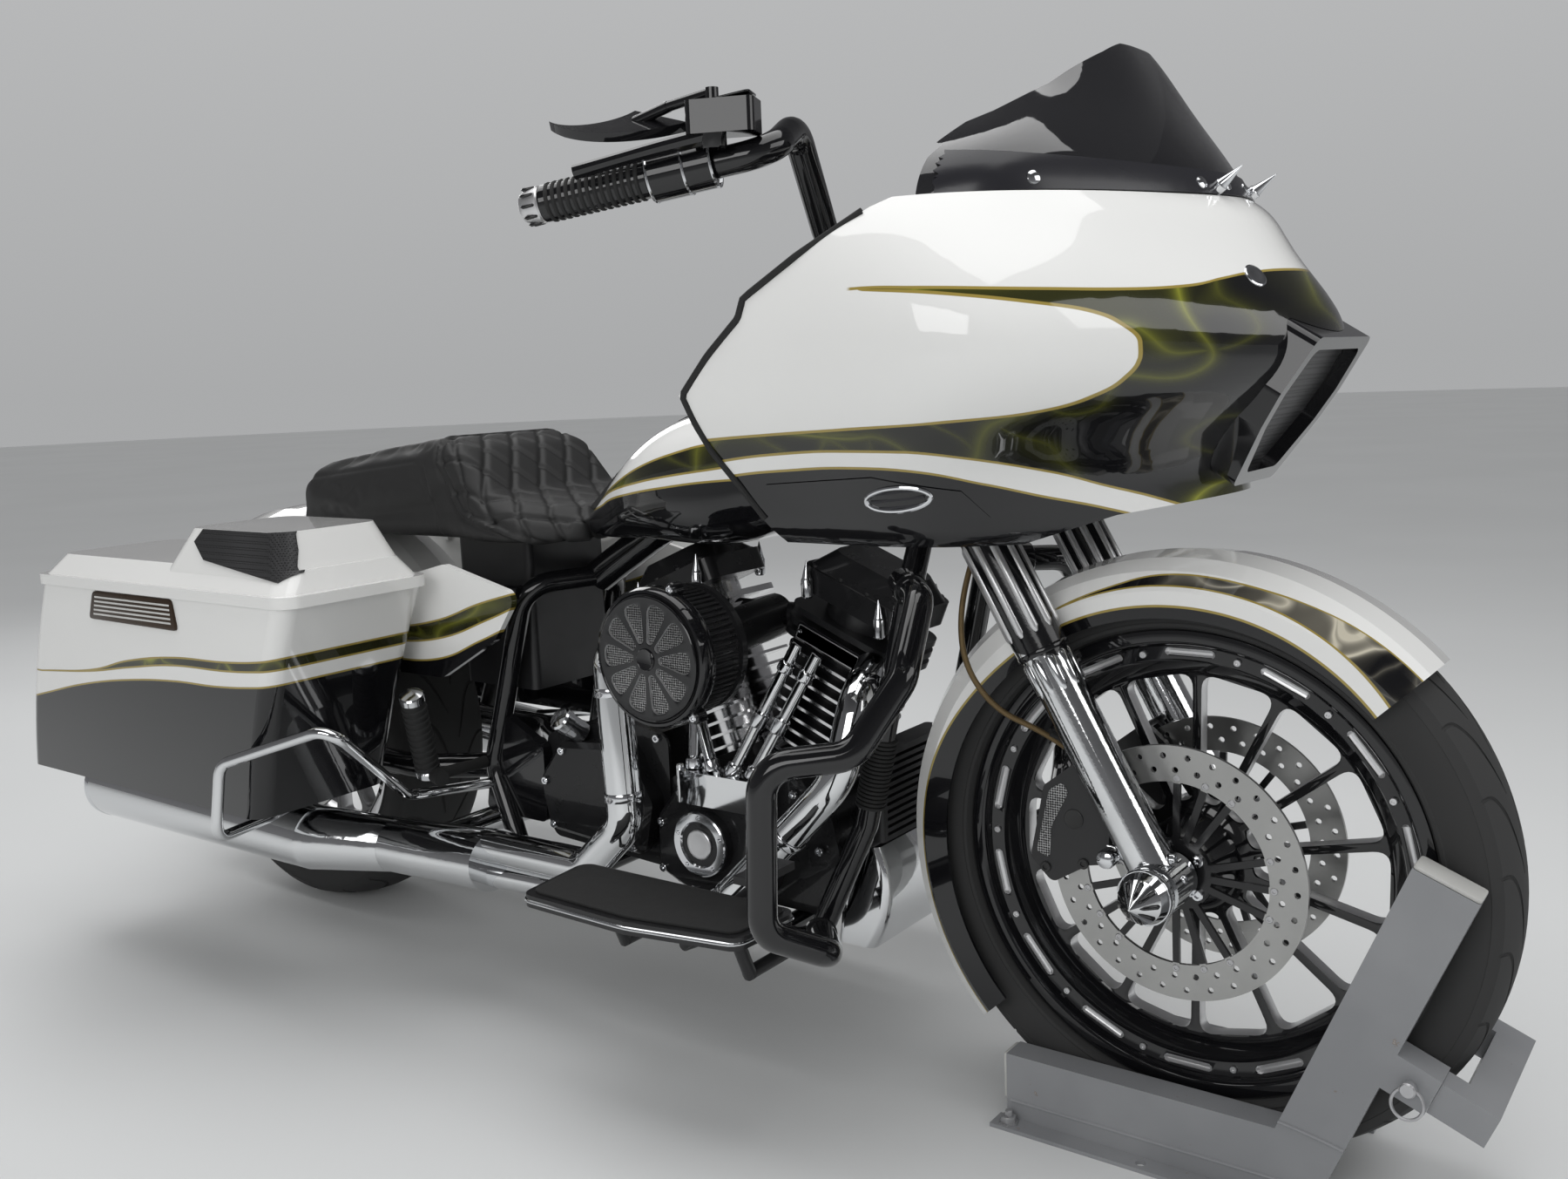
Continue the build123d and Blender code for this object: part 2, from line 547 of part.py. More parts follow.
def yoke(z_axis, thickness, leg_z):
    """A fork yoke: a bridge square to the steering axis round the stem and both legs."""
    middle = axis_point(z_axis)
    plane = Plane(middle, x_dir=(math.cos(math.radians(RAKE)), 0, math.sin(math.radians(RAKE))),
                  z_dir=STEER_UP)
    back = plane.to_local_coords(leg_point(leg_z)).X
    outline = Polyline((26, -52), (back + 34, -FORK_HALF_SPACING - 16), (back - 6, -FORK_HALF_SPACING - 38),
                       (back - 30, -FORK_HALF_SPACING), (-34, -44), (-34, 44), (back - 30, FORK_HALF_SPACING),
                       (back - 6, FORK_HALF_SPACING + 38), (back + 34, FORK_HALF_SPACING + 16), (26, 52),
                       close=True)
    face = make_face(outline)
    face = fillet(face.vertices(), 9)
    return extrude(plane * face, amount=thickness)


def fork_parts():
    legs = []
    for side in (-1, 1):
        y = side * FORK_HALF_SPACING
        foot = leg_point(FRONT_TYRE_R, y)
        leg = rod(leg_point(SLIDER_TOP_Z - 30, y), leg_point(1004, y), LEG_R)
        leg += rod(leg_point(SLIDER_TOP_Z, y), leg_point(LOWER_YOKE_Z - 26, y), COVER_R)
        leg += rod(foot, leg_point(SLIDER_TOP_Z + 1, y), SLIDER_R)
        leg += rod((0, side * LUG_IN, FRONT_TYRE_R), (0, side * LUG_OUT, FRONT_TYRE_R), 31)
        leg += rod((-151, side * (FENDER_HALF_W + SEAT), 622), (-151, y, 622), 9)
        leg += rod((-46, y - side * 8, 440), (-76, y - side * 19, 446), 10)
        leg += rod((-14, y - side * 8, 366), (-70, y - side * 19, 372), 10)
        leg -= rod((0, -200, FRONT_TYRE_R), (0, 200, FRONT_TYRE_R), AXLE_R + BEARING_CLEARANCE)
        legs.append(leg)

    lower = yoke(LOWER_YOKE_Z, 24, 775)
    upper = yoke(UPPER_YOKE_Z, 20, 985)
    bore_legs = [rod(leg_point(700, side * FORK_HALF_SPACING), leg_point(1050, side * FORK_HALF_SPACING),
                     LEG_R + BEARING_CLEARANCE) for side in (-1, 1)]
    stem = rod(axis_point(LOWER_YOKE_Z), axis_point(UPPER_YOKE_Z) + STEER_UP * 24, STEM_R)
    cap = extrude(Plane(axis_point(UPPER_YOKE_Z) + STEER_UP * 20, z_dir=STEER_UP) * RegularPolygon(22, 6),
                  amount=12)
    yokes = lower + upper + stem + cap
    risers = []
    for side in (-1, 1):
        base = Vector(-316, side * 40, 972)
        top = Vector(-386, side * 40, 1012)
        risers.append(rod(base, top, 14) + rod(top - Vector(0, 16, 0), top + Vector(0, 16, 0), 25))
    bar = handlebar_tube()
    for riser in risers:
        yokes += riser
    yokes -= bore_legs[0] + bore_legs[1]
    yokes -= rod((-386, -80, 1012), (-386, 80, 1012), BAR_R + BEARING_CLEARANCE)
    put("yokes", yokes)
    put("fork_legs", *legs)
    put("handlebar", bar)

    axle = rod((0, -LUG_OUT - 2, FRONT_TYRE_R), (0, LUG_OUT + 2, FRONT_TYRE_R), AXLE_R)
    for side in (-1, 1):
        axle += lathe((0, side * (LUG_OUT + SEAT), FRONT_TYRE_R), (0, side, 0),
                      [(0, 27), (10, 30), (22, 30), (34, 25), (62, 1.2)])
        axle += rod((0, side * 78.0, FRONT_TYRE_R), (0, side * (LUG_IN - SEAT), FRONT_TYRE_R), 20)
    put("front_axle", axle)

    callipers = []
    for side in (-1, 1):
        body = side_profile([(-62, 462), (-92, 486), (-150, 440), (-168, 350), (-140, 322), (-70, 366)], 56,
                            104, 10)
        body -= extrude(Plane((0, ROTOR_HALF_SPACING - ROTOR_T / 2 - RUN, FRONT_TYRE_R), x_dir=(1, 0, 0),
                              z_dir=(0, 1, 0))
                        * Circle(ROTOR_R + RUN), amount=ROTOR_T + 2 * RUN)
        if side < 0:
            body = mirrored(body)
        for leg in legs:
            body -= leg
        callipers.append(max(body.solids(), key=lambda item: item.volume))
    put("front_callipers", *callipers)

    inner = FRONT_TYRE_R + FENDER_GAP
    outer = inner + FENDER_T
    section = [(-FENDER_HALF_W, 296), (-FENDER_HALF_W, outer - 38), (-FENDER_HALF_W + 14, outer - 17),
               (-44, outer - 5),
               (0, outer), (44, outer - 5), (FENDER_HALF_W - 14, outer - 17), (FENDER_HALF_W, outer - 38),
               (FENDER_HALF_W, 296),
               (FENDER_HALF_W - FENDER_T, 296), (FENDER_HALF_W - FENDER_T, outer - 39),
               (FENDER_HALF_W - 17, outer - 21),
               (43, outer - 9), (0, inner), (-43, outer - 9), (-FENDER_HALF_W + 17, outer - 21),
               (-FENDER_HALF_W + FENDER_T, outer - 39), (-FENDER_HALF_W + FENDER_T, 296)]
    fender = ring_y(FRONT_AXLE, section)
    wedge = [(0, FRONT_TYRE_R)]
    for angle in (44, 0, -50, -100, -137):
        wedge.append((700 * math.cos(math.radians(angle)), FRONT_TYRE_R + 700
                      * math.sin(math.radians(angle))))
    fender -= side_profile(wedge, -200, 200)
    put("front_fender", fender)

    hose = tube([(-224, -98, 752), (-236, -118, 700), (-232, -152, 640), (-222, -158, 585), (-190, -146, 535),
                 (-140, -118, 508), (-120, -96, 484)], 40, 3.5)
    for item in callipers + legs:
        hose -= item
    hose -= yokes
    put("brake_hose", max(hose.solids(), key=lambda item: item.volume))

    along = (BAR_BEND - BAR_END).normalized()
    forward = Vector(0.88, -0.30, 0.36).normalized()
    controls, mirrors = [], []
    grip = rod(BAR_END - along * 24, BAR_END, 15, 19) + rod(BAR_END, BAR_END + along * 122, GRIP_R)
    housing = rod(BAR_END + along * 126, BAR_END + along * 166, 26)
    clamp = rod(BAR_END + along * 167, BAR_END + along * 196, 25)
    centre = BAR_END + along * 190 + forward * 34 + Vector(0, 0, 14)
    block = Plane(centre, x_dir=along, z_dir=(0, 0, 1)) * RectangleRounded(74, 46, 8)
    clamp += extrude(block, amount=CONTROL_BLOCK_H)
    lever_root = BAR_END + along * 172 + forward * 46 + Vector(0, 0, 12)
    lever = rod(lever_root, BAR_END + along * 6 + forward * 66, 8.5, 6.5)
    clamp += lever
    bar_space = rod(BAR_END - along * 0.5, BAR_END + along * 400, BAR_R + SEAT)
    grip -= bar_space
    housing -= bar_space
    clamp -= bar_space
    stalk_foot = centre + Vector(-10, -5, CONTROL_BLOCK_H + SEAT)
    stalk_top = Vector(-440, -384, 1216)
    stalk = rod(stalk_foot, stalk_foot + Vector(0, 0, 14), 7)
    stalk += rod(stalk_foot + Vector(0, 0, 9), stalk_top, 5.5)
    blade_plane = Plane((-500, -396, 1202), x_dir=(-0.93, -0.34, -0.05), z_dir=(0.20, -0.42, 0.88))
    blade_face = make_face([ThreePointArc((-80, 12), (0, 34), (86, -14)),
                            ThreePointArc((86, -14), (20, -2), (-8, -34)),
                            Line((-8, -34), (-80, 12))])
    blade = extrude(blade_plane * blade_face, amount=5, both=True)
    mirror_piece = stalk + blade + rod(stalk_top, (-486, -386, 1206), 6)
    controls = [grip, housing, clamp]
    put("hand_controls", *controls, *[mirrored(item) for item in controls])
    put("mirrors", mirror_piece, mirrored(mirror_piece))


def handlebar_tube():
    right = [BAR_END, BAR_BEND, Vector(-366, -258, 1200), Vector(-402, -152, 1092), Vector(-386, -92, 1012)]
    left = [Vector(p.X, -p.Y, p.Z) for p in reversed(right)]
    return tube(right + left, 40, BAR_R)


# ---------------------------------------------------------------- bodywork
def level_face(z, stations, inset=0.0, back=-480.0):
    """A horizontal section, open toward the rear: a nose X, then (x, half-width) stations going back."""
    nose, corner, cheek, middle, rear = stations
    flank = ((back + middle[0]) / 2, (rear[1] + middle[1]) / 2 - inset)
    pts = [(back, rear[1] - inset), flank, (middle[0], middle[1] - inset),
           (cheek[0] - inset * 0.7, cheek[1] - inset * 0.7),
           (corner[0] - inset * 0.9, corner[1] - inset * 0.5), (nose - inset, 0)]
    mirror_pts = [(x, -y) for x, y in reversed(pts[:-1])]
    curve = Spline(*pts, *mirror_pts, tangents=[(1, 0), (-1, 0)])
    face = make_face([curve, Line(curve @ 1, curve @ 0)])
    return Plane.XY.offset(z) * face


# height, then the nose, the nose's corner, the cheek, the middle and the rear of each level
FAIRING_LEVELS = [
    (742, (6, (-18, 90), (-98, 212), (-205, 284), (-374, 300))),
    (800, (46, (20, 98), (-66, 230), (-170, 322), (-374, 345))),
    (870, (98, (72, 108), (-14, 252), (-130, 368), (-400, 380))),
    (950, (148, (122, 108), (32, 262), (-90, 396), (-430, 402))),
    (1000, (124, (96, 112), (18, 262), (-105, 394), (-400, 398))),
    (1050, (88, (56, 120), (-10, 252), (-135, 378), (-300, 384))),
    (1100, (46, (16, 118), (-34, 228), (-150, 343), (-197, 356))),
]


def fairing_block(inset, back, z_low=0.0, z_high=0.0):
    """The fairing's solid form drawn in by an inset; z_low and z_high move its bottom and top levels."""
    faces = []
    for index, (z, stations) in enumerate(FAIRING_LEVELS):
        level = z + (z_low if index == 0 else 0) + (z_high if index == len(FAIRING_LEVELS) - 1 else 0)
        faces.append(level_face(level, stations, inset, back))
    return loft(faces)


FAIRING_REAR = [(-170, 1106), (-205, 1092), (-348, 1008), (-352, 990), (-436, 912), (-420, 850), (-372, 746),
                (-366, 700),
                (-900, 700), (-900, 1200), (-170, 1200)]


# what the fairing's underside is cut to, from the nose back to where it levels out
FAIRING_UNDERSIDE = [(90, 789), (-29, 770), (-114, 741), (-114, 690), (300, 690), (300, 789)]


def fairing_parts():
    outer = fairing_block(0, -480)
    inner = fairing_block(FAIRING_WALL, -520, -2, -FAIRING_WALL)
    cuts = [side_profile(FAIRING_REAR, -500, 500), side_profile(FAIRING_UNDERSIDE, -500, 500),
            nose_prism(0, -70, 90)]
    shell = outer.moved(PLACE)
    for cut in [*cuts, inner]:
        shell -= cut.moved(PLACE)
    put("fairing", max(shell.solids(), key=lambda item: item.volume), place=Location())

    put("nose_bezel", nose_prism(BEZEL_GAP, -BEZEL_BACK, BEZEL_FRONT) - nose_prism(BEZEL_RING, -80, 90))
    put("nose_grille", nose_prism(BEZEL_RING + SEAT, -6, -3))

    lamps = [rod((CARRIER_X + 10, side * LAMP_Y, LAMP_Z), (34, side * LAMP_Y, LAMP_Z), 30, 34)
             for side in (-1, 1)]
    zone = side_profile([(CARRIER_X, 858), (CARRIER_X + 16, 858), (CARRIER_X + 16, 894), (CARRIER_X, 894)],
                        -450, 450)
    carrier = fairing_block(FAIRING_WALL + SEAT, -520, 0, -FAIRING_WALL - SEAT) & zone
    put("headlamps", lamps[0] + lamps[1] + carrier)

    dash_zone = side_profile([(-150, 930), (-128, 930), (-96, 1093), (-118, 1093)], -400, 400)
    dash = fairing_block(FAIRING_WALL + 0.3, -520, 0, -FAIRING_WALL - 0.3).moved(PLACE)
    dash &= dash_zone.moved(PLACE)
    dash = max(dash.solids(), key=lambda item: item.volume)
    for y, z, radius in ((-62, 1040, 46), (62, 1040, 46), (-170, 1044, 26), (170, 1044, 26)):
        dash += rod((-132, y, z), (-156, y, z - 3), radius).moved(PLACE)
    put("dash", dash, place=Location())

    outer_faces, inner_faces = [], []
    for index, (z, stations) in enumerate(SCREEN_LEVELS):
        outer_faces.append(level_face(z, stations, 0, -330))
        low = -1 if index == 0 else (1 if index == len(SCREEN_LEVELS) - 1 else 0)
        inner_faces.append(level_face(z + low, stations, SCREEN_T, -360))
    screen = loft(outer_faces) - loft(inner_faces)
    screen -= side_profile(SCREEN_EDGE, -500, 500)
    put("windshield", max(screen.solids(), key=lambda item: item.volume))


SCREEN_LEVELS = [
    (1100.3, (44, (14, 118), (-38, 226), (-125, 318), (-197, 350))),
    (1150, (10, (-8, 108), (-48, 198), (-112, 280), (-170, 316))),
    (1190, (-20, (-32, 92), (-62, 155), (-102, 210), (-150, 246))),
    (1230, (-46, (-54, 72), (-74, 112), (-98, 145), (-125, 170))),
    (1274, (-74, (-78, 44), (-88, 68), (-100, 88), (-116, 104))),
]
# the screen's rear edge seen from the side, closed well behind it
SCREEN_EDGE = [(-172, 1095), (-170, 1140), (-163, 1153), (-172, 1157), (-160, 1180), (-140, 1191),
               (-106, 1221), (-91, 1246),
               (-82, 1261), (-70, 1300), (-700, 1300), (-700, 1095)]

NOSE_LEAN = 32.5               # lamp opening from the vertical, its foot drawn back
NOSE_MIDDLE = (99.0, 0, 880.0)
BEZEL_GAP = 0.5
BEZEL_RING = 17.0
BEZEL_BACK = 34.0
BEZEL_FRONT = 13.0
LAMP_Y = 49.0


def nose_prism(inset, start, end):
    """The lamp opening's outline drawn in by an inset, as a prism square to its leaning plane."""
    lean = math.radians(NOSE_LEAN)
    forward = Vector(math.cos(lean), 0, -math.sin(lean))
    plane = Plane(Vector(*NOSE_MIDDLE) + forward * start, x_dir=(0, 1, 0), z_dir=forward)
    flip = 1 if plane.y_dir.Z > 0 else -1
    rows = [(98 - inset, -88 + inset * 0.9), (108 - inset, -20), (100 - inset, 20), (66 - inset, 96 - inset)]
    right = [(half, -height * flip) for half, height in rows]
    face = make_face(Polyline(*right, *[(-x, y) for x, y in reversed(right)], close=True))
    face = fillet(face.vertices(), 14)
    return extrude(plane * face, amount=end - start)


def station_face(x, half, z_low, z_high, corner):
    """A rounded cross-section for the tank and the seat."""
    face = RectangleRounded(2 * half, z_high - z_low, corner)
    return Plane.YZ.offset(x) * (Pos(0, (z_low + z_high) / 2) * face)


TANK_REAR_X = -884.0


def tank_and_seat_parts():
    stations = [(TANK_REAR_X, 84, 706, 742, 16), (-800, 124, 706, 812, 46), (-700, 160, 706, 868, 68),
                (-600, 166, 708, 888, 70),
                (-520, 152, 730, 882, 60), (-468, 128, 760, 866, 44)]
    tank = loft([station_face(*row) for row in stations])
    tunnel = side_profile([(-300, 600), (-300, 905), (-560, 794), (-800, 752), (-960, 672), (-960, 600)],
                          -26.4, 26.4)
    tank -= tunnel
    for side in (1, -1):
        box_plane = cylinder_frame(side)
        tank -= extrude(box_plane.offset(HEAD_TOP - 10) * RectangleRounded(176, 142, 18), amount=ROCKER_TOP
                        - HEAD_TOP + 16)
    tank += disc_z(-560, -58, 882, 27, 14)
    tank += disc_z(-560, 58, 882, 27, 14)
    tank -= Pos(TANK_REAR_X - 50, 0, 740) * Box(100, 400, 200)
    put("fuel_tank", max(tank.solids(), key=lambda item: item.volume))

    stations = [(-1512, 136, 694, 782, 30), (-1470, 152, 694, 802, 34), (-1320, 156, 694, 826, 34),
                (-1188, 152, 694, 842, 34),
                (-1130, 150, 694, 846, 34), (-1090, 158, 694, 826, 30), (-1040, 170, 694, 762, 26),
                (-960, 164, 694, 744, 22),
                (-888, 92, 694, 738, 20)]
    seat = loft([station_face(*row) for row in stations], ruled=True)
    x, _, z = REAR_AXLE
    seat -= disc_y(x, z, REAR_FENDER_R + SEAT, -300, 300) + tunnel
    put("seat", max(seat.solids(), key=lambda item: item.volume))


def disc_z(x, y, z, radius, height):
    return extrude(Plane((x, y, z - 6)) * Circle(radius), amount=height)


def rear_body_parts():
    outer, inner, half = REAR_FENDER_R, REAR_FENDER_R - 4, REAR_FENDER_HALF_W
    section = [(-half, 318), (-half, outer - 46), (-half + 16, outer - 18), (-52, outer - 5), (0, outer),
               (52, outer - 5),
               (half - 16, outer - 18), (half, outer - 46), (half, 318), (half - 4, 318),
               (half - 4, outer - 47),
               (half - 19, outer - 22), (51, outer - 9), (0, inner), (-51, outer - 9),
               (-half + 19, outer - 22),
               (-half + 4, outer - 47), (-half + 4, 318)]
    fender = ring_y(REAR_AXLE, section)
    x, _, z = REAR_AXLE
    wedge = [(x, z)]
    for angle in (28, -10, -60, -120, -165):
        wedge.append((x + 800 * math.cos(math.radians(angle)), z + 800 * math.sin(math.radians(angle))))
    fender -= side_profile(wedge, -300, 300)
    put("rear_fender", fender)

    lamp = extrude(Plane.YZ.offset(x - 290) * (Pos(0, 560) * RectangleRounded(120, 60, 20)), amount=-76)
    lamp = lamp - rod((x, -200, z), (x, 200, z), outer + SEAT)
    put("tail_light", max(lamp.solids(), key=lambda item: item.volume))
    plate = extrude(Plane.YZ.offset(x - 399) * (Pos(0, 420) * RectangleRounded(184, 108, 8)), amount=-3)
    for bolt_y in (-60, 60):
        plate += rod((x - 370, bolt_y, 458), (x - 400, bolt_y, 458), 8)
    plate -= rod((x, -200, z), (x, 200, z), outer + SEAT)
    put("plate_holder", plate)

    box = extrude(Plane.XY.offset(460) * (Pos(-1098, 0) * RectangleRounded(160, 168, 12)), amount=233.5)
    put("battery_box", box)

    points = [(-908, 636), (-1060, 672), (-1190, 640), (-1190, 500), (-1080, 500), (-960, 566)]
    cover = side_profile(points, -214, -204, 16)
    cover += rod((-1068, -128.5, 617), (-1068, -205, 617), 7)
    cover += rod((-1168, -136.5, 613), (-1168, -205, 613), 7)
    put("side_covers", cover, mirrored(cover))


def bag_solid(inset, z_top, z_drop):
    """A saddlebag's outer form: a tapered box with a raked tail, from a loft of three levels."""
    y_mid = -(BAG_OUTER_Y + BAG_INNER_Y) / 2
    half = (BAG_OUTER_Y - BAG_INNER_Y) / 2 - inset
    rows = [(330 + z_drop, -1842, -1196, 16), (480, -1790, -1140, 6), (z_top, -1712, -1068, 0)]
    faces = []
    for z, rear, front, tuck in rows:
        length = front - rear - 2 * inset
        outline = RectangleRounded(length, 2 * half - tuck, 26 - min(inset, 8))
        face = Pos((front + rear) / 2, y_mid + tuck / 2) * outline
        faces.append(Plane.XY.offset(z) * face)
    return loft(faces)


def bag_parts():
    shell = bag_solid(0, BAG_RIM_Z, 0)
    cavity = bag_solid(BAG_WALL, BAG_RIM_Z + 0.001, BAG_WALL)
    cavity += extrude(cavity.faces().sort_by(Axis.Z)[-1], amount=5)
    bag = shell - cavity
    for x in HINGE_PLACES:
        for side in (-1, 1):
            bag += rod((x + side * 10, -HINGE_Y, HINGE_Z), (x + side * 30, -HINGE_Y, HINGE_Z), HINGE_R)
            leaf = Box(20, BAG_INNER_Y - HINGE_Y + 2, 10)
            bag += Pos(x + side * 20, -(HINGE_Y + BAG_INNER_Y) / 2 - 1, HINGE_Z - 9.5) * leaf
        bag += rod((x - 20, -HINGE_Y, HINGE_Z), (x + 20, -HINGE_Y, HINGE_Z), HINGE_PIN_R)
    put("saddlebag_right", bag)
    put("saddlebag_left", mirrored(bag))

    y_mid = -(BAG_OUTER_Y + BAG_INNER_Y) / 2
    width = BAG_OUTER_Y - BAG_INNER_Y
    base = BAG_RIM_Z + LID_GAP
    rim = Pos((-1716 - 1062) / 2, y_mid) * RectangleRounded(1716 - 1062 + 8, width + 8, 30)
    lid = extrude(Plane.XY.offset(base) * rim, amount=16)
    dome = loft([Plane.XY.offset(base + 16) * (Pos(-1388, y_mid) * RectangleRounded(636, width - 6, 28)),
                 Plane.XY.offset(base + 46) * (Pos(-1382, y_mid) * RectangleRounded(600, width - 50, 30))])
    step = loft([Plane.XY.offset(base + 15) * (Pos(-1236, y_mid) * RectangleRounded(320, width - 20, 30)),
                 Plane.XY.offset(base + 97) * (Pos(-1224, y_mid) * RectangleRounded(228, width - 76, 30))])
    lid = lid + dome + step
    hollow = extrude(Plane.XY.offset(base - 1) * (Pos(-1388, y_mid) * RectangleRounded(620, width - 14, 22)),
                     amount=15)
    hollow += loft([Plane.XY.offset(base + 14) * (Pos(-1388, y_mid) * RectangleRounded(612, width - 24, 22)),
                    Plane.XY.offset(base + 39) * (Pos(-1382, y_mid) * RectangleRounded(584, width - 66, 22))])
    hollow += loft([Plane.XY.offset(base + 13) * (Pos(-1236, y_mid) * RectangleRounded(296, width - 42, 22)),
                    Plane.XY.offset(base + 90) * (Pos(-1224, y_mid) * RectangleRounded(208, width - 96, 22))])
    lid -= hollow
    lid_edge = BAG_INNER_Y - 4
    for x in HINGE_PLACES:
        lid += Pos(x, -(HINGE_Y + lid_edge + 2) / 2, base + 8) * Box(19, lid_edge + 2 - HINGE_Y, 8)
        lid += rod((x - 9.5, -HINGE_Y, HINGE_Z), (x + 9.5, -HINGE_Y, HINGE_Z), HINGE_R)
        lid -= rod((x - 12, -HINGE_Y, HINGE_Z), (x + 12, -HINGE_Y, HINGE_Z), HINGE_PIN_R + BEARING_CLEARANCE)
    put("bag_lid_right", lid)
    put("bag_lid_left", mirrored(lid))

    rails = []
    for side in (-1, 1):
        rail = tube([(-1084, side * 120, 314), (-1134, side * 252, 320), (-1010, side * 452, 470),
                     (-1030, side * 470, 482),
                     (-1215, side * 506, 420), (-1240, side * 508, 308), (-1300, side * 380, 296),
                     (-1320, side * 200, 326)], 33.1429, 8)
        rails.append(max((rail - main_rail(side, RAIL_R + SEAT)).solids(), key=lambda item: item.volume))
    put("bag_guards", *rails)


# ---------------------------------------------------------------- chassis fittings
def fitting_parts():
    guards = []
    for side in (-1, 1):
        loop = tube([(-336, side * 108, 672), (-262, side * 190, 668), (-240, side * 268, 590),
                     (-268, side * 330, 515),
                     (-350, side * 388, 506), (-358, side * 388, 312), (-330, side * 300, 262),
                     (-420, side * 186, 226), (-446, side * 158, 212)], 38.75, GUARD_R)
        guards.append(max((loop - main_rail(side, RAIL_R + SEAT)).solids(), key=lambda item: item.volume))
    put("engine_guard", *guards)

    cooler = extrude(Plane((-406, 0, 322)) * RectangleRounded(36, 174, 6), amount=120)
    for index in range(11):
        cooler -= Pos(-391, 0, 331 + index * 10) * Box(20, 150, 4.5)
    put("oil_cooler", cooler)
    chin = loft([Plane.XY.offset(172) * (Pos(-439.5, 0) * RectangleRounded(60, 170, 12)),
                 Plane.XY.offset(250) * (Pos(-421, 0) * RectangleRounded(72, 170, 12)),
                 Plane.XY.offset(312) * (Pos(-422, 0) * RectangleRounded(44, 166, 10))])
    for side in (-1, 1):
        chin += rod((-430, side * 50, 262), (-457.9, side * 50, 262), 6)
    put("chin_spoiler", chin)

    boards = []
    for side in (-1, 1):
        outline = Polyline((-400, side * 262), (-408, side * 372), (-560, side * 400), (-740, side * 396),
                           (-752, side * 268),
                           close=True)
        face = make_face(outline)
        face = fillet(face.vertices(), 18)
        board = extrude(Plane.XY.offset(272) * face, amount=16)
        for x in (-488, -700):
            board += rod((x, side * (RAIL_Y + RAIL_R + SEAT), RAIL_Z), (x, side * 256, RAIL_Z), 9)
            board += rod((x, side * 250, RAIL_Z - 4), (x, side * 292, 276), 9)
        boards.append(board)
    put("footboards", *boards)

    pedals = []
    for side in (-1, 1):
        inboard, outboard = side * (RAIL_Y + RAIL_R + SEAT), side * 246
        pedal = rod((-600, inboard, RAIL_Z), (-600, outboard, 196), 9)
        pedal += rod((-600, outboard, 196), (-436, outboard, 332), 8)
        pedal += Location((-436, outboard, 332)) * Sphere(8)
        if side < 0:
            pedal += Pos(-434, side * 282, 336) * Box(34, 78, 10)
        else:
            pedal += rod((-436, outboard - 4, 332), (-436, side * 318, 332), 10)
        pedals.append(pedal)
    put("foot_controls", *pedals)

    pegs = []
    for side in (-1, 1):
        peg = rod((-1109, side * 230, 352), (-1078, side * 276, 486), 17)
        peg += rod((-1110, side * 228, 356), (-1072, side * 236, 350), 12)
        peg += rod((-1094, side * 120, 348), (-1094, side * 232, 352), 9)
        peg -= main_rail(side, RAIL_R + SEAT)
        pegs.append(max(peg.solids(), key=lambda item: item.volume))
    put("passenger_pegs", *pegs)


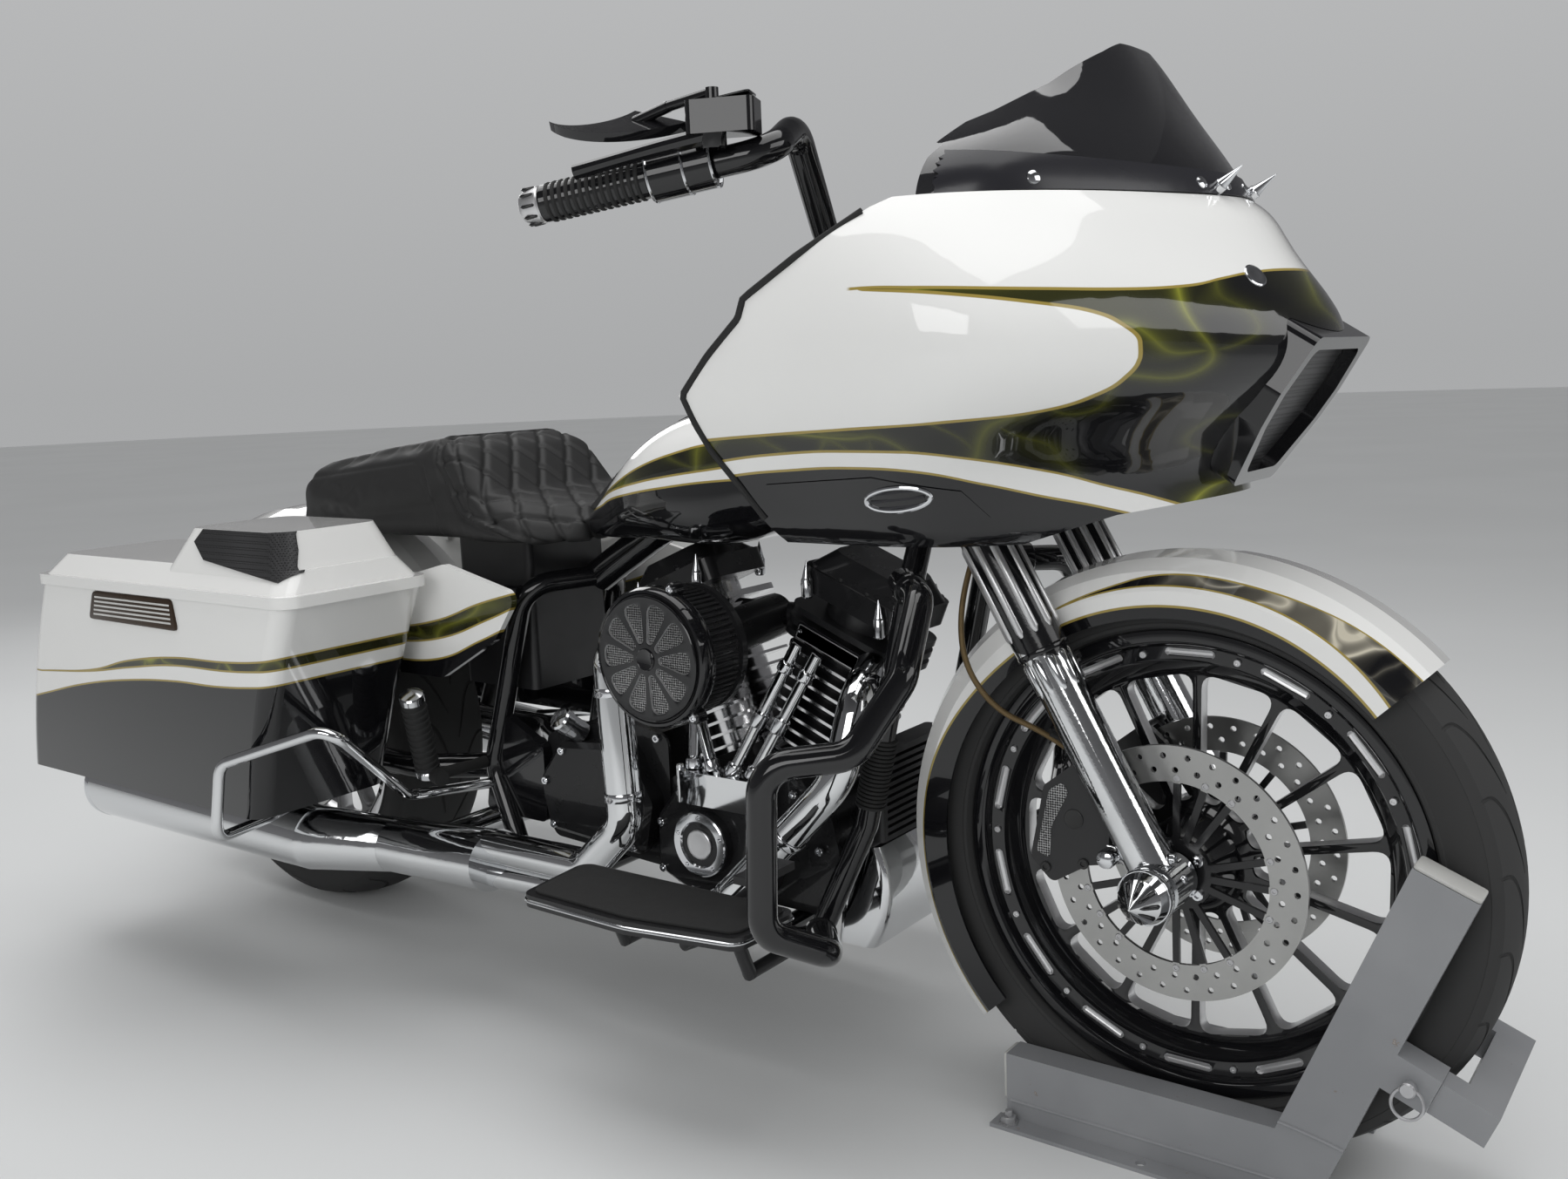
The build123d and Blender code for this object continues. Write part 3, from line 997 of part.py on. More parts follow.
# ---------------------------------------------------------------- floor chock
def chock_parts():
    frames = []
    outer_y = CHOCK_INNER_Y + CHOCK_TUBE_W
    for side in (-1, 1):
        low, high = (CHOCK_INNER_Y, outer_y) if side > 0 else (-outer_y, -CHOCK_INNER_Y)
        arm_top = CHOCK_RISER_H + CHOCK_ARM_H
        arm = side_profile([(-205, CHOCK_RISER_H), (176, CHOCK_RISER_H), (200, arm_top + 10),
                            (130, arm_top), (-205, arm_top)], low, high)
        reach = 386.0
        tilt = math.radians(CHOCK_LEAN)
        up = (math.sin(tilt), math.cos(tilt))
        across = (-math.cos(tilt), math.sin(tilt))
        base_point = (176, CHOCK_RISER_H)
        top_front = (base_point[0] + up[0] * reach, base_point[1] + up[1] * reach)
        top_back = (top_front[0] + across[0] * CHOCK_POST_W, top_front[1] + across[1] * CHOCK_POST_W)
        low_back = (base_point[0] + across[0] * CHOCK_POST_W, base_point[1] + across[1] * CHOCK_POST_W)
        post = side_profile([base_point, top_front, top_back, low_back], low, high)
        frame = arm + post
        riser = side_profile([(-205, 0), (150, 0), (150, CHOCK_RISER_H), (-205, CHOCK_RISER_H)], low, high)
        frame += riser
        strip_low, strip_high = (outer_y - 4, outer_y + 26) if side > 0 else (-outer_y - 26, -outer_y + 4)
        strip = side_profile([(-216, 0), (180, 0), (180, CHOCK_STRIP_T), (-216, CHOCK_STRIP_T)], strip_low,
                             strip_high)
        for hole_x in (-196, -25, 146):
            strip -= rod((hole_x, side * (outer_y + 13), -2), (hole_x, side * (outer_y + 13), 20), 6)
        frame += strip
        sleeve_foot = (base_point[0] + up[0] * 150, base_point[1] + up[1] * 150)
        forward = (-across[0], -across[1])
        sleeve = [sleeve_foot,
                  (sleeve_foot[0] + forward[0] * 48, sleeve_foot[1] + forward[1] * 48),
                  (sleeve_foot[0] + forward[0] * 48 + up[0] * 44, sleeve_foot[1] + forward[1] * 48 + up[1]
                   * 44),
                  (sleeve_foot[0] + up[0] * 44, sleeve_foot[1] + up[1] * 44)]
        frame += side_profile(sleeve, low, high)
        frames.append(frame)
    put("chock_frames", *frames)
    stop = []
    tilt = math.radians(CHOCK_LEAN)
    up = (math.sin(tilt), math.cos(tilt))
    forward = (math.cos(tilt), -math.sin(tilt))
    start = (176 + up[0] * 153 + forward[0] * 48.3, CHOCK_RISER_H + up[1] * 153 + forward[1] * 48.3)
    for side in (-1, 1):
        low, high = (CHOCK_INNER_Y + 3, outer_y - 3) if side > 0 else (-outer_y + 3, -CHOCK_INNER_Y - 3)
        arm = [start, (start[0] + forward[0] * 60, start[1] + forward[1] * 60),
               (start[0] + forward[0] * 60 + up[0] * 38, start[1] + forward[1] * 60 + up[1] * 38),
               (start[0] + up[0] * 38, start[1] + up[1] * 38)]
        stop.append(side_profile(arm, low, high))
    near = (start[0] + forward[0] * 22, start[1] + forward[1] * 22)
    bar = [near, (near[0] + forward[0] * 38, near[1] + forward[1] * 38),
           (near[0] + forward[0] * 38 + up[0] * 38, near[1] + forward[1] * 38 + up[1] * 38),
           (near[0] + up[0] * 38, near[1] + up[1] * 38)]
    whole = side_profile(bar, -outer_y + 3, outer_y - 3)
    for item in stop:
        whole += item
    put("chock_stop", whole)


if __name__ == "__main__":
    os.makedirs("parts", exist_ok=True)
    front_wheel_parts()
    rear_wheel_parts()
    frame_parts()
    engine_parts()
    fork_parts()
    fairing_parts()
    tank_and_seat_parts()
    rear_body_parts()
    bag_parts()
    fitting_parts()
    chock_parts()
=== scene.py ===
"""Looks of a custom touring motorcycle standing in a floor chock.

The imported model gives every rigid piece. This file finishes their surfaces, pads the seat, cuts
the tyres' tread and adds trim, a floor, lamps and a camera. Metres; +X forward, +Y left, +Z up.
"""
import json
import math

import bmesh
import bpy
from bpy.props import FloatProperty, FloatVectorProperty, IntProperty, PointerProperty
from mathutils import Matrix, Vector

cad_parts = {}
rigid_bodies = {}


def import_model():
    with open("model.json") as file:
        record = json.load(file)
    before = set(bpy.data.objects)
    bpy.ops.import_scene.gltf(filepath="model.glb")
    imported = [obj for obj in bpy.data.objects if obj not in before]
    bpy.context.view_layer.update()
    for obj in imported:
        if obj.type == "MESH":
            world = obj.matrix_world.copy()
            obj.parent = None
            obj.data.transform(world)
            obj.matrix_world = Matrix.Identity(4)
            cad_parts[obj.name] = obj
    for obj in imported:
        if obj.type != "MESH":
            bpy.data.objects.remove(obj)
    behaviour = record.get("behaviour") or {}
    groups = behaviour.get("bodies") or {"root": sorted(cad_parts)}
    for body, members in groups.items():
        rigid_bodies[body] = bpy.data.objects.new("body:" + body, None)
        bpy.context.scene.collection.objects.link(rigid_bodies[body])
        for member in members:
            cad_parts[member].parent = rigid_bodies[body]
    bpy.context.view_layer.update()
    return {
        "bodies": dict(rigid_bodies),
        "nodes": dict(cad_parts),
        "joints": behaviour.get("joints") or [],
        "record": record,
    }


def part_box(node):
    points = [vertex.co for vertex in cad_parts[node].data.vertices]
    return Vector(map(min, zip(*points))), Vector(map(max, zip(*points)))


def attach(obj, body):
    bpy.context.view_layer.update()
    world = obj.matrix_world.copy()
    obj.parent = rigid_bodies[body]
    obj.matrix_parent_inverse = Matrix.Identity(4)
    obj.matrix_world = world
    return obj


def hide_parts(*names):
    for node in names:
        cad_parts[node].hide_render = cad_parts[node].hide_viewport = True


bl_info = {
    "name": "Touring motorcycle looks",
    "version": (1, 0, 0),
    "blender": (4, 5, 0),
    "location": "View3D > Sidebar > Touring",
    "description": "Finishes, padded seat, tread and trim for a touring motorcycle in a floor chock",
    "category": "Object",
}

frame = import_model()
NODES = frame["nodes"]


def middle(node):
    """Centre of a node's box."""
    low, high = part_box(node)
    return (low + high) / 2


FRONT_HUB = middle("front_tyre")
REAR_HUB = middle("rear_tyre")
FRONT_RADIUS = (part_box("front_tyre")[1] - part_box("front_tyre")[0]).z / 2
REAR_RADIUS = (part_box("rear_tyre")[1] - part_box("rear_tyre")[0]).z / 2
MM = 0.001
CRANK = (-600, 265)            # station and height where the cylinders' axes meet
CYLINDER_LEAN = math.radians(22.5)
STATION_SHIFT = 844.0          # origin of stations: the front axle stands this far ahead of the frame's


# ---------------------------------------------------------------- settings
class PaintSettings(bpy.types.PropertyGroup):
    """Colours of the bodywork."""

    white: FloatVectorProperty(name="White", description="Main lacquer", subtype="COLOR",
                               default=(0.80, 0.80, 0.785), min=0, max=1)
    black: FloatVectorProperty(name="Black", description="Second lacquer", subtype="COLOR",
                               default=(0.006, 0.006, 0.007), min=0, max=1)
    gold: FloatVectorProperty(name="Gold", description="Pinstripe", subtype="COLOR",
                              default=(0.33, 0.25, 0.06), min=0, max=1)
    wisp: FloatVectorProperty(name="Wisp", description="Airbrushed wisps in the black", subtype="COLOR",
                              default=(0.46, 0.48, 0.05), min=0, max=1)
    line: FloatProperty(name="Pinstripe", description="Width of the pinstripe", subtype="DISTANCE",
                        default=0.0030, min=0.001, max=0.01)


class WheelSettings(bpy.types.PropertyGroup):
    """Tread of the tyres."""

    front_grooves: IntProperty(name="Front grooves", description="Slanted grooves on each side of the front tyre",
                               default=26, min=8, max=60)
    rear_grooves: IntProperty(name="Rear grooves", description="Slanted grooves on each side of the rear tyre",
                              default=22, min=8, max=60)


class SeatSettings(bpy.types.PropertyGroup):
    """Padding and quilting of the seat."""

    swell: FloatProperty(name="Swell", description="Furthest that the padding swells", subtype="DISTANCE",
                         default=0.010, min=0, max=0.03)
    pitch: FloatProperty(name="Quilting", description="Distance between sewn channels", subtype="DISTANCE",
                         default=0.058, min=0.02, max=0.12)


class StageSettings(bpy.types.PropertyGroup):
    """Floor, lamps and lens."""

    floor: FloatVectorProperty(name="Floor", description="Floor colour", subtype="COLOR",
                               default=(0.70, 0.71, 0.71), min=0, max=1)
    lens: FloatProperty(name="Lens", description="Focal length in millimetres", default=32.93, min=10, max=200)
    key: FloatProperty(name="Overhead lamp", description="Power of the overhead softbox", unit="POWER",
                       default=60, min=0)


# ---------------------------------------------------------------- node helpers
def add_node(tree, kind, **values):
    """Add a node; values are input numbers or links by socket name, or node settings."""
    node = tree.nodes.new(kind)
    for key, value in values.items():
        if hasattr(node, key) and key not in node.inputs:
            setattr(node, key, value)
            continue
        socket = node.inputs[key.replace("_", " ")] if key.replace("_",
                                                                   " ") in node.inputs else node.inputs[int(key[1:])]
        if isinstance(value, bpy.types.NodeSocket):
            tree.links.new(value, socket)
        else:
            socket.default_value = value
    return node


def maths(tree, operation, first, second=0.0, clamp=False):
    """One arithmetic node's output."""
    node = tree.nodes.new("ShaderNodeMath")
    node.operation = operation
    node.use_clamp = clamp
    for socket, value in zip(node.inputs, (first, second)):
        if isinstance(value, bpy.types.NodeSocket):
            tree.links.new(value, socket)
        else:
            socket.default_value = value
    return node.outputs[0]


def remap(tree, value, low, high, to_low=0.0, to_high=1.0):
    """A clamped change of range."""
    node = tree.nodes.new("ShaderNodeMapRange")
    node.clamp = True
    tree.links.new(value, node.inputs["Value"])
    for name, number in zip(("From Min", "From Max", "To Min", "To Max"), (low, high, to_low, to_high)):
        node.inputs[name].default_value = number
    return node.outputs["Result"]


def blend_colour(tree, factor, first, second):
    """Mix two colours, each a socket or three numbers."""
    node = tree.nodes.new("ShaderNodeMix")
    node.data_type = "RGBA"
    colour_inputs = [s for s in node.inputs if s.type == "RGBA"]
    if isinstance(factor, bpy.types.NodeSocket):
        tree.links.new(factor, node.inputs[0])
    else:
        node.inputs[0].default_value = factor
    for socket, value in zip(colour_inputs, (first, second)):
        if isinstance(value, bpy.types.NodeSocket):
            tree.links.new(value, socket)
        else:
            socket.default_value = (*value[:3], 1)
    return [s for s in node.outputs if s.type == "RGBA"][0]


def new_group(name, inputs, outputs):
    """A shader group with named sockets; returns the tree and its two end nodes."""
    tree = bpy.data.node_groups.new(name, "ShaderNodeTree")
    kinds = {"float": "NodeSocketFloat", "vector": "NodeSocketVector", "colour": "NodeSocketColor"}
    for socket, kind, value in inputs:
        made = tree.interface.new_socket(socket, in_out="INPUT", socket_type=kinds[kind])
        if value is not None:
            made.default_value = value
    for socket, kind in outputs:
        tree.interface.new_socket(socket, in_out="OUTPUT", socket_type=kinds[kind])
    return tree, tree.nodes.new("NodeGroupInput"), tree.nodes.new("NodeGroupOutput")


def use_group(tree, name, **values):
    """Place a shared group in a material."""
    node = tree.nodes.new("ShaderNodeGroup")
    node.node_tree = bpy.data.node_groups[name]
    for key, value in values.items():
        socket = node.inputs[key.replace("_", " ")]
        if isinstance(value, bpy.types.NodeSocket):
            tree.links.new(value, socket)
        else:
            socket.default_value = value
    return node


def build_groups():
    """The effects that several materials share."""
    tree, start, end = new_group("Surface Grain", [("Vector", "vector", None), ("Scale", "float", 300.0),
                                                   ("Detail", "float", 4.0)], [("Height", "float"),
                                                                               ("Patches", "float")])
    fine = add_node(tree, "ShaderNodeTexNoise", Vector=start.outputs["Vector"], Scale=start.outputs["Scale"],
                    Detail=start.outputs["Detail"])
    broad_scale = maths(tree, "MULTIPLY", start.outputs["Scale"], 0.045)
    broad = add_node(tree, "ShaderNodeTexNoise", Vector=start.outputs["Vector"], Scale=broad_scale, Detail=3.0)
    tree.links.new(fine.outputs["Fac"], end.inputs["Height"])
    tree.links.new(remap(tree, broad.outputs["Fac"], 0.35, 0.65), end.inputs["Patches"])

    tree, start, end = new_group("Paint Line", [("Distance", "float", 0.0), ("Width", "float", 0.003)],
                                 [("Above", "float"), ("Line", "float")])
    above = remap(tree, start.outputs["Distance"], -0.0003, 0.0003)
    size = maths(tree, "ABSOLUTE", start.outputs["Distance"])
    half = maths(tree, "MULTIPLY", start.outputs["Width"], 0.5)
    inside = maths(tree, "SUBTRACT", half, size)
    tree.links.new(above, end.inputs["Above"])
    tree.links.new(remap(tree, inside, -0.0002, 0.0003), end.inputs["Line"])

    tree, start, end = new_group("Airbrush Wisps", [("Vector", "vector", None), ("Scale", "float", 7.0)],
                                 [("Mask", "float")])
    stretch = add_node(tree, "ShaderNodeMapping", Vector=start.outputs["Vector"])
    stretch.inputs["Scale"].default_value = (0.55, 0.4, 1.0)
    warp = add_node(tree, "ShaderNodeTexNoise", Vector=stretch.outputs[0],
                    Scale=maths(tree, "MULTIPLY", start.outputs["Scale"], 0.7),
                    Detail=1.0)
    offset = add_node(tree, "ShaderNodeVectorMath", operation="SCALE")
    tree.links.new(warp.outputs["Color"], offset.inputs[0])
    offset.inputs["Scale"].default_value = 0.16
    moved = add_node(tree, "ShaderNodeVectorMath", operation="ADD")
    tree.links.new(stretch.outputs[0], moved.inputs[0])
    tree.links.new(offset.outputs[0], moved.inputs[1])
    total = None
    for factor, power, strength in ((1.0, 18.0, 0.9), (1.9, 12.0, 0.45)):
        noise = add_node(tree, "ShaderNodeTexNoise", Vector=moved.outputs[0],
                         Scale=maths(tree, "MULTIPLY", start.outputs["Scale"], factor), Detail=0.6)
        ridge = maths(tree, "ABSOLUTE", maths(tree, "SUBTRACT", noise.outputs["Fac"], 0.5))
        ridge = maths(tree, "SUBTRACT", 1.0, maths(tree, "MULTIPLY", ridge, 4.0), clamp=True)
        ridge = maths(tree, "MULTIPLY", maths(tree, "POWER", ridge, power), strength)
        total = ridge if total is None else maths(tree, "MAXIMUM", total, ridge)
    glow = add_node(tree, "ShaderNodeTexNoise", Vector=moved.outputs[0], Scale=maths(tree, "MULTIPLY",
                                                                                     start.outputs["Scale"], 0.5))
    veil = remap(tree, glow.outputs["Fac"], 0.42, 0.68)
    soft = maths(tree, "MULTIPLY", veil, 0.10)
    lit = maths(tree, "ADD", maths(tree, "MULTIPLY", total, maths(tree, "ADD", veil, 0.15)), soft)
    tree.links.new(maths(tree, "MINIMUM", lit, 1.0), end.inputs["Mask"])


def new_material(name):
    """A material with its tree, shader and object coordinates."""
    material = bpy.data.materials.new(name)
    material.use_nodes = True
    tree = material.node_tree
    shader = tree.nodes["Principled BSDF"]
    coords = tree.nodes.new("ShaderNodeTexCoord")
    return material, tree, shader, coords.outputs["Object"]


def bump(tree, shader, height, strength, distance):
    """Feed a height into a shader's normal."""
    node = add_node(tree, "ShaderNodeBump", Height=height)
    node.inputs["Strength"].default_value = strength
    node.inputs["Distance"].default_value = distance
    tree.links.new(node.outputs["Normal"], shader.inputs["Normal"])


def surface(name, colour, roughness, metallic=0.0, grain=300.0, height=0.0, spread=0.08, coat=0.0, tone=0.12):
    """A plain finish with grain: colour and roughness vary in patches, and the grain stands up by height."""
    material, tree, shader, where = new_material(name)
    noise = use_group(tree, "Surface Grain", Vector=where, Scale=grain)
    dark = tuple(c * (1 - tone) for c in colour)
    tree.links.new(blend_colour(tree, noise.outputs["Patches"], dark, colour), shader.inputs["Base Color"])
    tree.links.new(remap(tree, noise.outputs["Patches"], 0.0, 1.0, max(roughness - spread / 2, 0.02),
                         roughness + spread / 2),
                   shader.inputs["Roughness"])
    shader.inputs["Metallic"].default_value = metallic
    if coat:
        shader.inputs["Specular IOR Level"].default_value = 0.15
        shader.inputs["Coat Weight"].default_value = coat
        shader.inputs["Coat Roughness"].default_value = 0.03
    if height:
        bump(tree, shader, noise.outputs["Height"], 0.6, height)
    return material


# ---------------------------------------------------------------- bodywork paint
def axis_values(tree, where):
    """The X, Y and Z of a place on the surface."""
    split = add_node(tree, "ShaderNodeSeparateXYZ")
    tree.links.new(where, split.inputs[0])
    return split.outputs


def curve_value(tree, value, points, low, high):
    """An edge drawn through (along, across) points, read at value; low and high bound the across values."""
    start, stop = points[0][0], points[-1][0]
    node = tree.nodes.new("ShaderNodeFloatCurve")
    curve = node.mapping.curves[0]
    while len(curve.points) > 2:
        curve.points.remove(curve.points[-1])
    for index, (along, across) in enumerate(points):
        place = ((along - start) / (stop - start), (across - low) / (high - low))
        if index < 2:
            curve.points[index].location = place
        else:
            curve.points.new(*place)
    for point in curve.points:
        point.handle_type = "AUTO_CLAMPED"
    node.mapping.update()
    tree.links.new(remap(tree, value, start, stop), node.inputs["Value"])
    return remap(tree, node.outputs["Value"], 0.0, 1.0, low, high)


def edge_distance(tree, value, across, points, slope_step=0.0):
    """Signed distance of a place from an edge, positive on the far side of it in the across direction."""
    values = [p[1] for p in points]
    margin = 0.02
    low, high = min(values) - margin, max(values) + margin
    edge = curve_value(tree, value, points, low, high)
    gap = maths(tree, "SUBTRACT", across, edge)
    if not slope_step:
        return gap
    later = curve_value(tree, maths(tree, "ADD", value, slope_step), points, low, high)
    slope = maths(tree, "DIVIDE", maths(tree, "SUBTRACT", later, edge), slope_step)
    steep = maths(tree, "SQRT", maths(tree, "ADD", maths(tree, "MULTIPLY", slope, slope), 1.0))
    return maths(tree, "DIVIDE", gap, steep)


def paint_line(tree, distance):
    """The side of an edge a place is on, and the pinstripe along that edge."""
    return use_group(tree, "Paint Line", Distance=distance, Width=bpy.context.scene.touring_paint.line)


def lacquer(material, tree, shader, where, colour):
    """Gloss lacquer over a painted colour, with a faint orange peel."""
    tree.links.new(colour, shader.inputs["Base Color"])
    noise = use_group(tree, "Surface Grain", Vector=where, Scale=140.0, Detail=1.0)
    tree.links.new(remap(tree, noise.outputs["Patches"], 0.0, 1.0, 0.09, 0.14), shader.inputs["Roughness"])
    shader.inputs["Specular IOR Level"].default_value = 0.15
    shader.inputs["Coat Weight"].default_value = 1.0
    shader.inputs["Coat Roughness"].default_value = 0.02
    bump(tree, shader, noise.outputs["Height"], 0.08, 0.0004)
    return material


def painted_panel(name, bands):
    """White lacquer with black bands; each band is (lower edge, upper edge, wisps), an edge being
    a table of (x, z) pairs, or None for no limit that way."""
    paint = bpy.context.scene.touring_paint
    material, tree, shader, where = new_material(name)
    x, _, z = axis_values(tree, where)
    colour = tuple(paint.white)
    lines = None
    for lower, upper, wisps in bands:
        mask = None
        for edge, sign in ((lower, 1), (upper, -1)):
            if edge is None:
                continue
            gap = edge_distance(tree, x, z, edge)
            if sign < 0:
                gap = maths(tree, "MULTIPLY", gap, -1.0)
            line = paint_line(tree, gap)
            part = line.outputs["Above"]
            mask = part if mask is None else maths(tree, "MULTIPLY", mask, part)
            stripe = line.outputs["Line"]
            lines = stripe if lines is None else maths(tree, "MAXIMUM", lines, stripe)
        dark = tuple(paint.black)
        if wisps:
            smoke = use_group(tree, "Airbrush Wisps", Vector=where, Scale=wisps)
            dark = blend_colour(tree, smoke.outputs["Mask"], dark, tuple(paint.wisp))
        colour = blend_colour(tree, mask, colour, dark)
    colour = blend_colour(tree, lines, colour, tuple(paint.gold))
    return lacquer(material, tree, shader, where, colour)


def m(points):
    """Millimetres to metres for a list of points."""
    return [(a * MM, b * MM) for a, b in points]


FAIRING_BLACK_TOP = m([(300, 1010), (648, 1011), (712, 1008), (814, 1002), (868, 1000), (898, 1002), (917, 1009),
                       (934, 1016), (948, 1019), (1060, 1030)])
FAIRING_LENS = m([(860, 400), (864, 449), (869, 532), (875, 647), (880, 737), (887, 804), (901, 844), (918, 867),
                  (934, 877), (947, 878), (965, 868), (980, 845), (990, 805), (1001, 737), (1010, 648)])
FAIRING_STRIPE_TOP = m([(380, 828), (447, 840), (521, 847), (593, 850), (674, 849), (719, 842), (775, 823), (811, 803),
                        (840, 788), (900, 750)])
FAIRING_STRIPE_LOW = m([(380, 811), (453, 823), (512, 828), (595, 832), (673, 828), (727, 812), (767, 795), (802, 781),
                        (860, 752), (900, 730)])
TANK_SWOOSH_TOP = m([(0, 766), (34, 779), (138, 817), (207, 835), (240, 842), (300, 848), (380, 850)])
TANK_SWOOSH_LOW = m([(0, 762), (34, 774), (120, 792), (175, 801), (251, 811), (302, 817), (380, 822)])
TANK_WHITE_LOW = m([(-40, 742), (0, 752), (37, 764), (100, 776), (174, 787), (264, 797), (380, 802)])
BAG_SWOOSH_TOP = m([(-900, 500), (-743, 516), (-622, 542), (-500, 557), (-367, 562), (-283, 570), (-230, 580)])
BAG_SWOOSH_LOW = m([(-900, 500), (-743, 514), (-624, 531), (-502, 545), (-370, 549), (-283, 556), (-230, 562)])
BAG_WHITE_LOW = m([(-1000, 440), (-894, 464), (-762, 492), (-630, 511), (-509, 521), (-397, 524), (-292, 533),
                   (-230, 541)])
COVER_SWOOSH_TOP = m([(-430, 566), (-340, 570), (-243, 586), (-144, 618), (-60, 640)])
COVER_SWOOSH_LOW = m([(-430, 546), (-340, 548), (-246, 558), (-127, 596), (-60, 622)])
# round the fender from its top toward its rear, in radians: a radius, then two ways down its side
FENDER_BLACK_TOP = [(-0.9, 0.298), (-0.55, 0.3055), (-0.25, 0.3095), (0.1, 0.310), (0.6, 0.310), (1.5, 0.330),
                    (3.1, 0.336)]
FENDER_SWOOSH_TOP = [(-0.85, 0.068), (-0.62, 0.073), (-0.3, 0.089), (0.05, 0.093), (0.25, 0.107), (0.45, 0.116)]
FENDER_SWOOSH_LOW = [(-0.85, 0.132), (-0.62, 0.122), (-0.3, 0.113), (0.05, 0.112), (0.25, 0.114), (0.45, 0.117)]
COVER_WHITE_LOW = m([(-430, 522), (-340, 521), (-250, 527), (-150, 562), (-60, 600)])


def at(x, y, z):
    """A point from its station ahead of the front axle, its side and its height, in millimetres."""
    return Vector(((x + STATION_SHIFT) * MM, y * MM, z * MM))


def deselect():
    """Object mode with nothing selected."""
    if bpy.context.mode != "OBJECT":
        bpy.ops.object.mode_set(mode="OBJECT")
    bpy.ops.object.select_all(action="DESELECT")


def only(piece):
    """Select one piece alone."""
    deselect()
    piece.select_set(True)
    bpy.context.view_layer.objects.active = piece


def edit(piece):
    """Edit mode with everything on one piece selected."""
    only(piece)
    bpy.ops.object.mode_set(mode="EDIT")
    bpy.ops.mesh.select_all(action="SELECT")


def pick(piece, test, kind="FACE"):
    """In edit mode, select the faces or edges whose middle and normal pass a test."""
    bpy.ops.mesh.select_mode(type=kind)
    bpy.ops.mesh.select_all(action="DESELECT")
    shape = bmesh.from_edit_mesh(piece.data)
    if kind == "FACE":
        for face in shape.faces:
            if test(face.calc_center_median(), face.normal):
                face.select_set(True)
    else:
        for edge in shape.edges:
            middle_point = (edge.verts[0].co + edge.verts[1].co) / 2
            if test(middle_point, (edge.verts[1].co - edge.verts[0].co).normalized()):
                edge.select_set(True)
    shape.select_flush_mode()
    bmesh.update_edit_mesh(piece.data)


def spun(centre, axis, profile, steps=40, loop=False):
    """A turned shape: profile is (distance along the axis, radius) pairs from centre."""
    axis, centre = Vector(axis).normalized(), Vector(centre)
    out = axis.orthogonal().normalized()
    points = [centre + axis * along + out * radius for along, radius in profile]
    if loop:
        points.append(points[0])
    deselect()
    bpy.ops.mesh.primitive_plane_add(size=0.002, location=points[0])
    piece = bpy.context.object
    bpy.ops.object.transform_apply(location=True, rotation=True, scale=True)
    bpy.ops.object.mode_set(mode="EDIT")
    bpy.ops.mesh.select_mode(type="VERT")
    bpy.ops.mesh.select_all(action="SELECT")
    bpy.ops.mesh.merge(type="CENTER")
    for before, after in zip(points, points[1:]):
        bpy.ops.mesh.extrude_vertices_move(TRANSFORM_OT_translate={"value": after - before})
    bpy.ops.mesh.select_all(action="SELECT")
    bpy.ops.mesh.spin(steps=steps, angle=math.tau, center=centre, axis=axis)
    bpy.ops.mesh.select_all(action="SELECT")
    bpy.ops.mesh.remove_doubles(threshold=0.00001)
    bpy.ops.mesh.normals_make_consistent(inside=False)
    bpy.ops.object.mode_set(mode="OBJECT")
    return piece


def prism(outline, depth, bevel=0.0, segments=2):
    """A plate from a flat outline of points, pushed out by a depth vector, its rims bevelled."""
    outline = [Vector(point) for point in outline]
    deselect()
    bpy.ops.mesh.primitive_circle_add(vertices=len(outline), radius=0.01, fill_type="NGON", location=(0, 0, 0))
    piece = bpy.context.object
    for vertex, point in zip(piece.data.vertices, outline):
        vertex.co = point
    edit(piece)
    bpy.ops.mesh.extrude_region_move(TRANSFORM_OT_translate={"value": Vector(depth)})
    bpy.ops.mesh.select_all(action="SELECT")
    bpy.ops.mesh.normals_make_consistent(inside=False)
    if bevel:
        along = Vector(depth).normalized()
        pick(piece, lambda place, run: abs(run.dot(along)) < 0.3, "EDGE")
        bpy.ops.mesh.bevel(offset=bevel, segments=segments, affect="EDGES")
    bpy.ops.object.mode_set(mode="OBJECT")
    return piece


def rounded(corners, radius, steps=5):
    """The outline of a polygon with its corners rounded."""
    made = []
    count = len(corners)
    for index in range(count):
        before, corner, after = (Vector(corners[(index + k) % count]) for k in (-1, 0, 1))
        inward, onward = before - corner, after - corner
        reach = min(radius, inward.length * 0.48, onward.length * 0.48)
        first, last = corner + inward.normalized() * reach, corner + onward.normalized() * reach
        for step in range(steps + 1):
            share = step / steps
            made.append(first.lerp(corner, share).lerp(corner.lerp(last, share), share))
    return made


def nurbs(points, radius, resolution, sides, order=3, taper=None):
    """A round curve through a run of points, still a curve."""
    deselect()
    bpy.ops.curve.primitive_nurbs_path_add(location=(0, 0, 0))
    curve = bpy.context.object
    curve.data.splines.clear()
    spline = curve.data.splines.new("NURBS")
    spline.points.add(len(points) - 1)
    for index, point in enumerate(points):
        spline.points[index].co = (*point, 1)
        if taper:
            spline.points[index].radius = taper[index]
    spline.order_u = order
    spline.use_endpoint_u = True
    spline.resolution_u = resolution
    curve.data.dimensions = "3D"
    curve.data.bevel_depth = radius
    curve.data.bevel_resolution = sides
    curve.data.use_fill_caps = True
    return curve


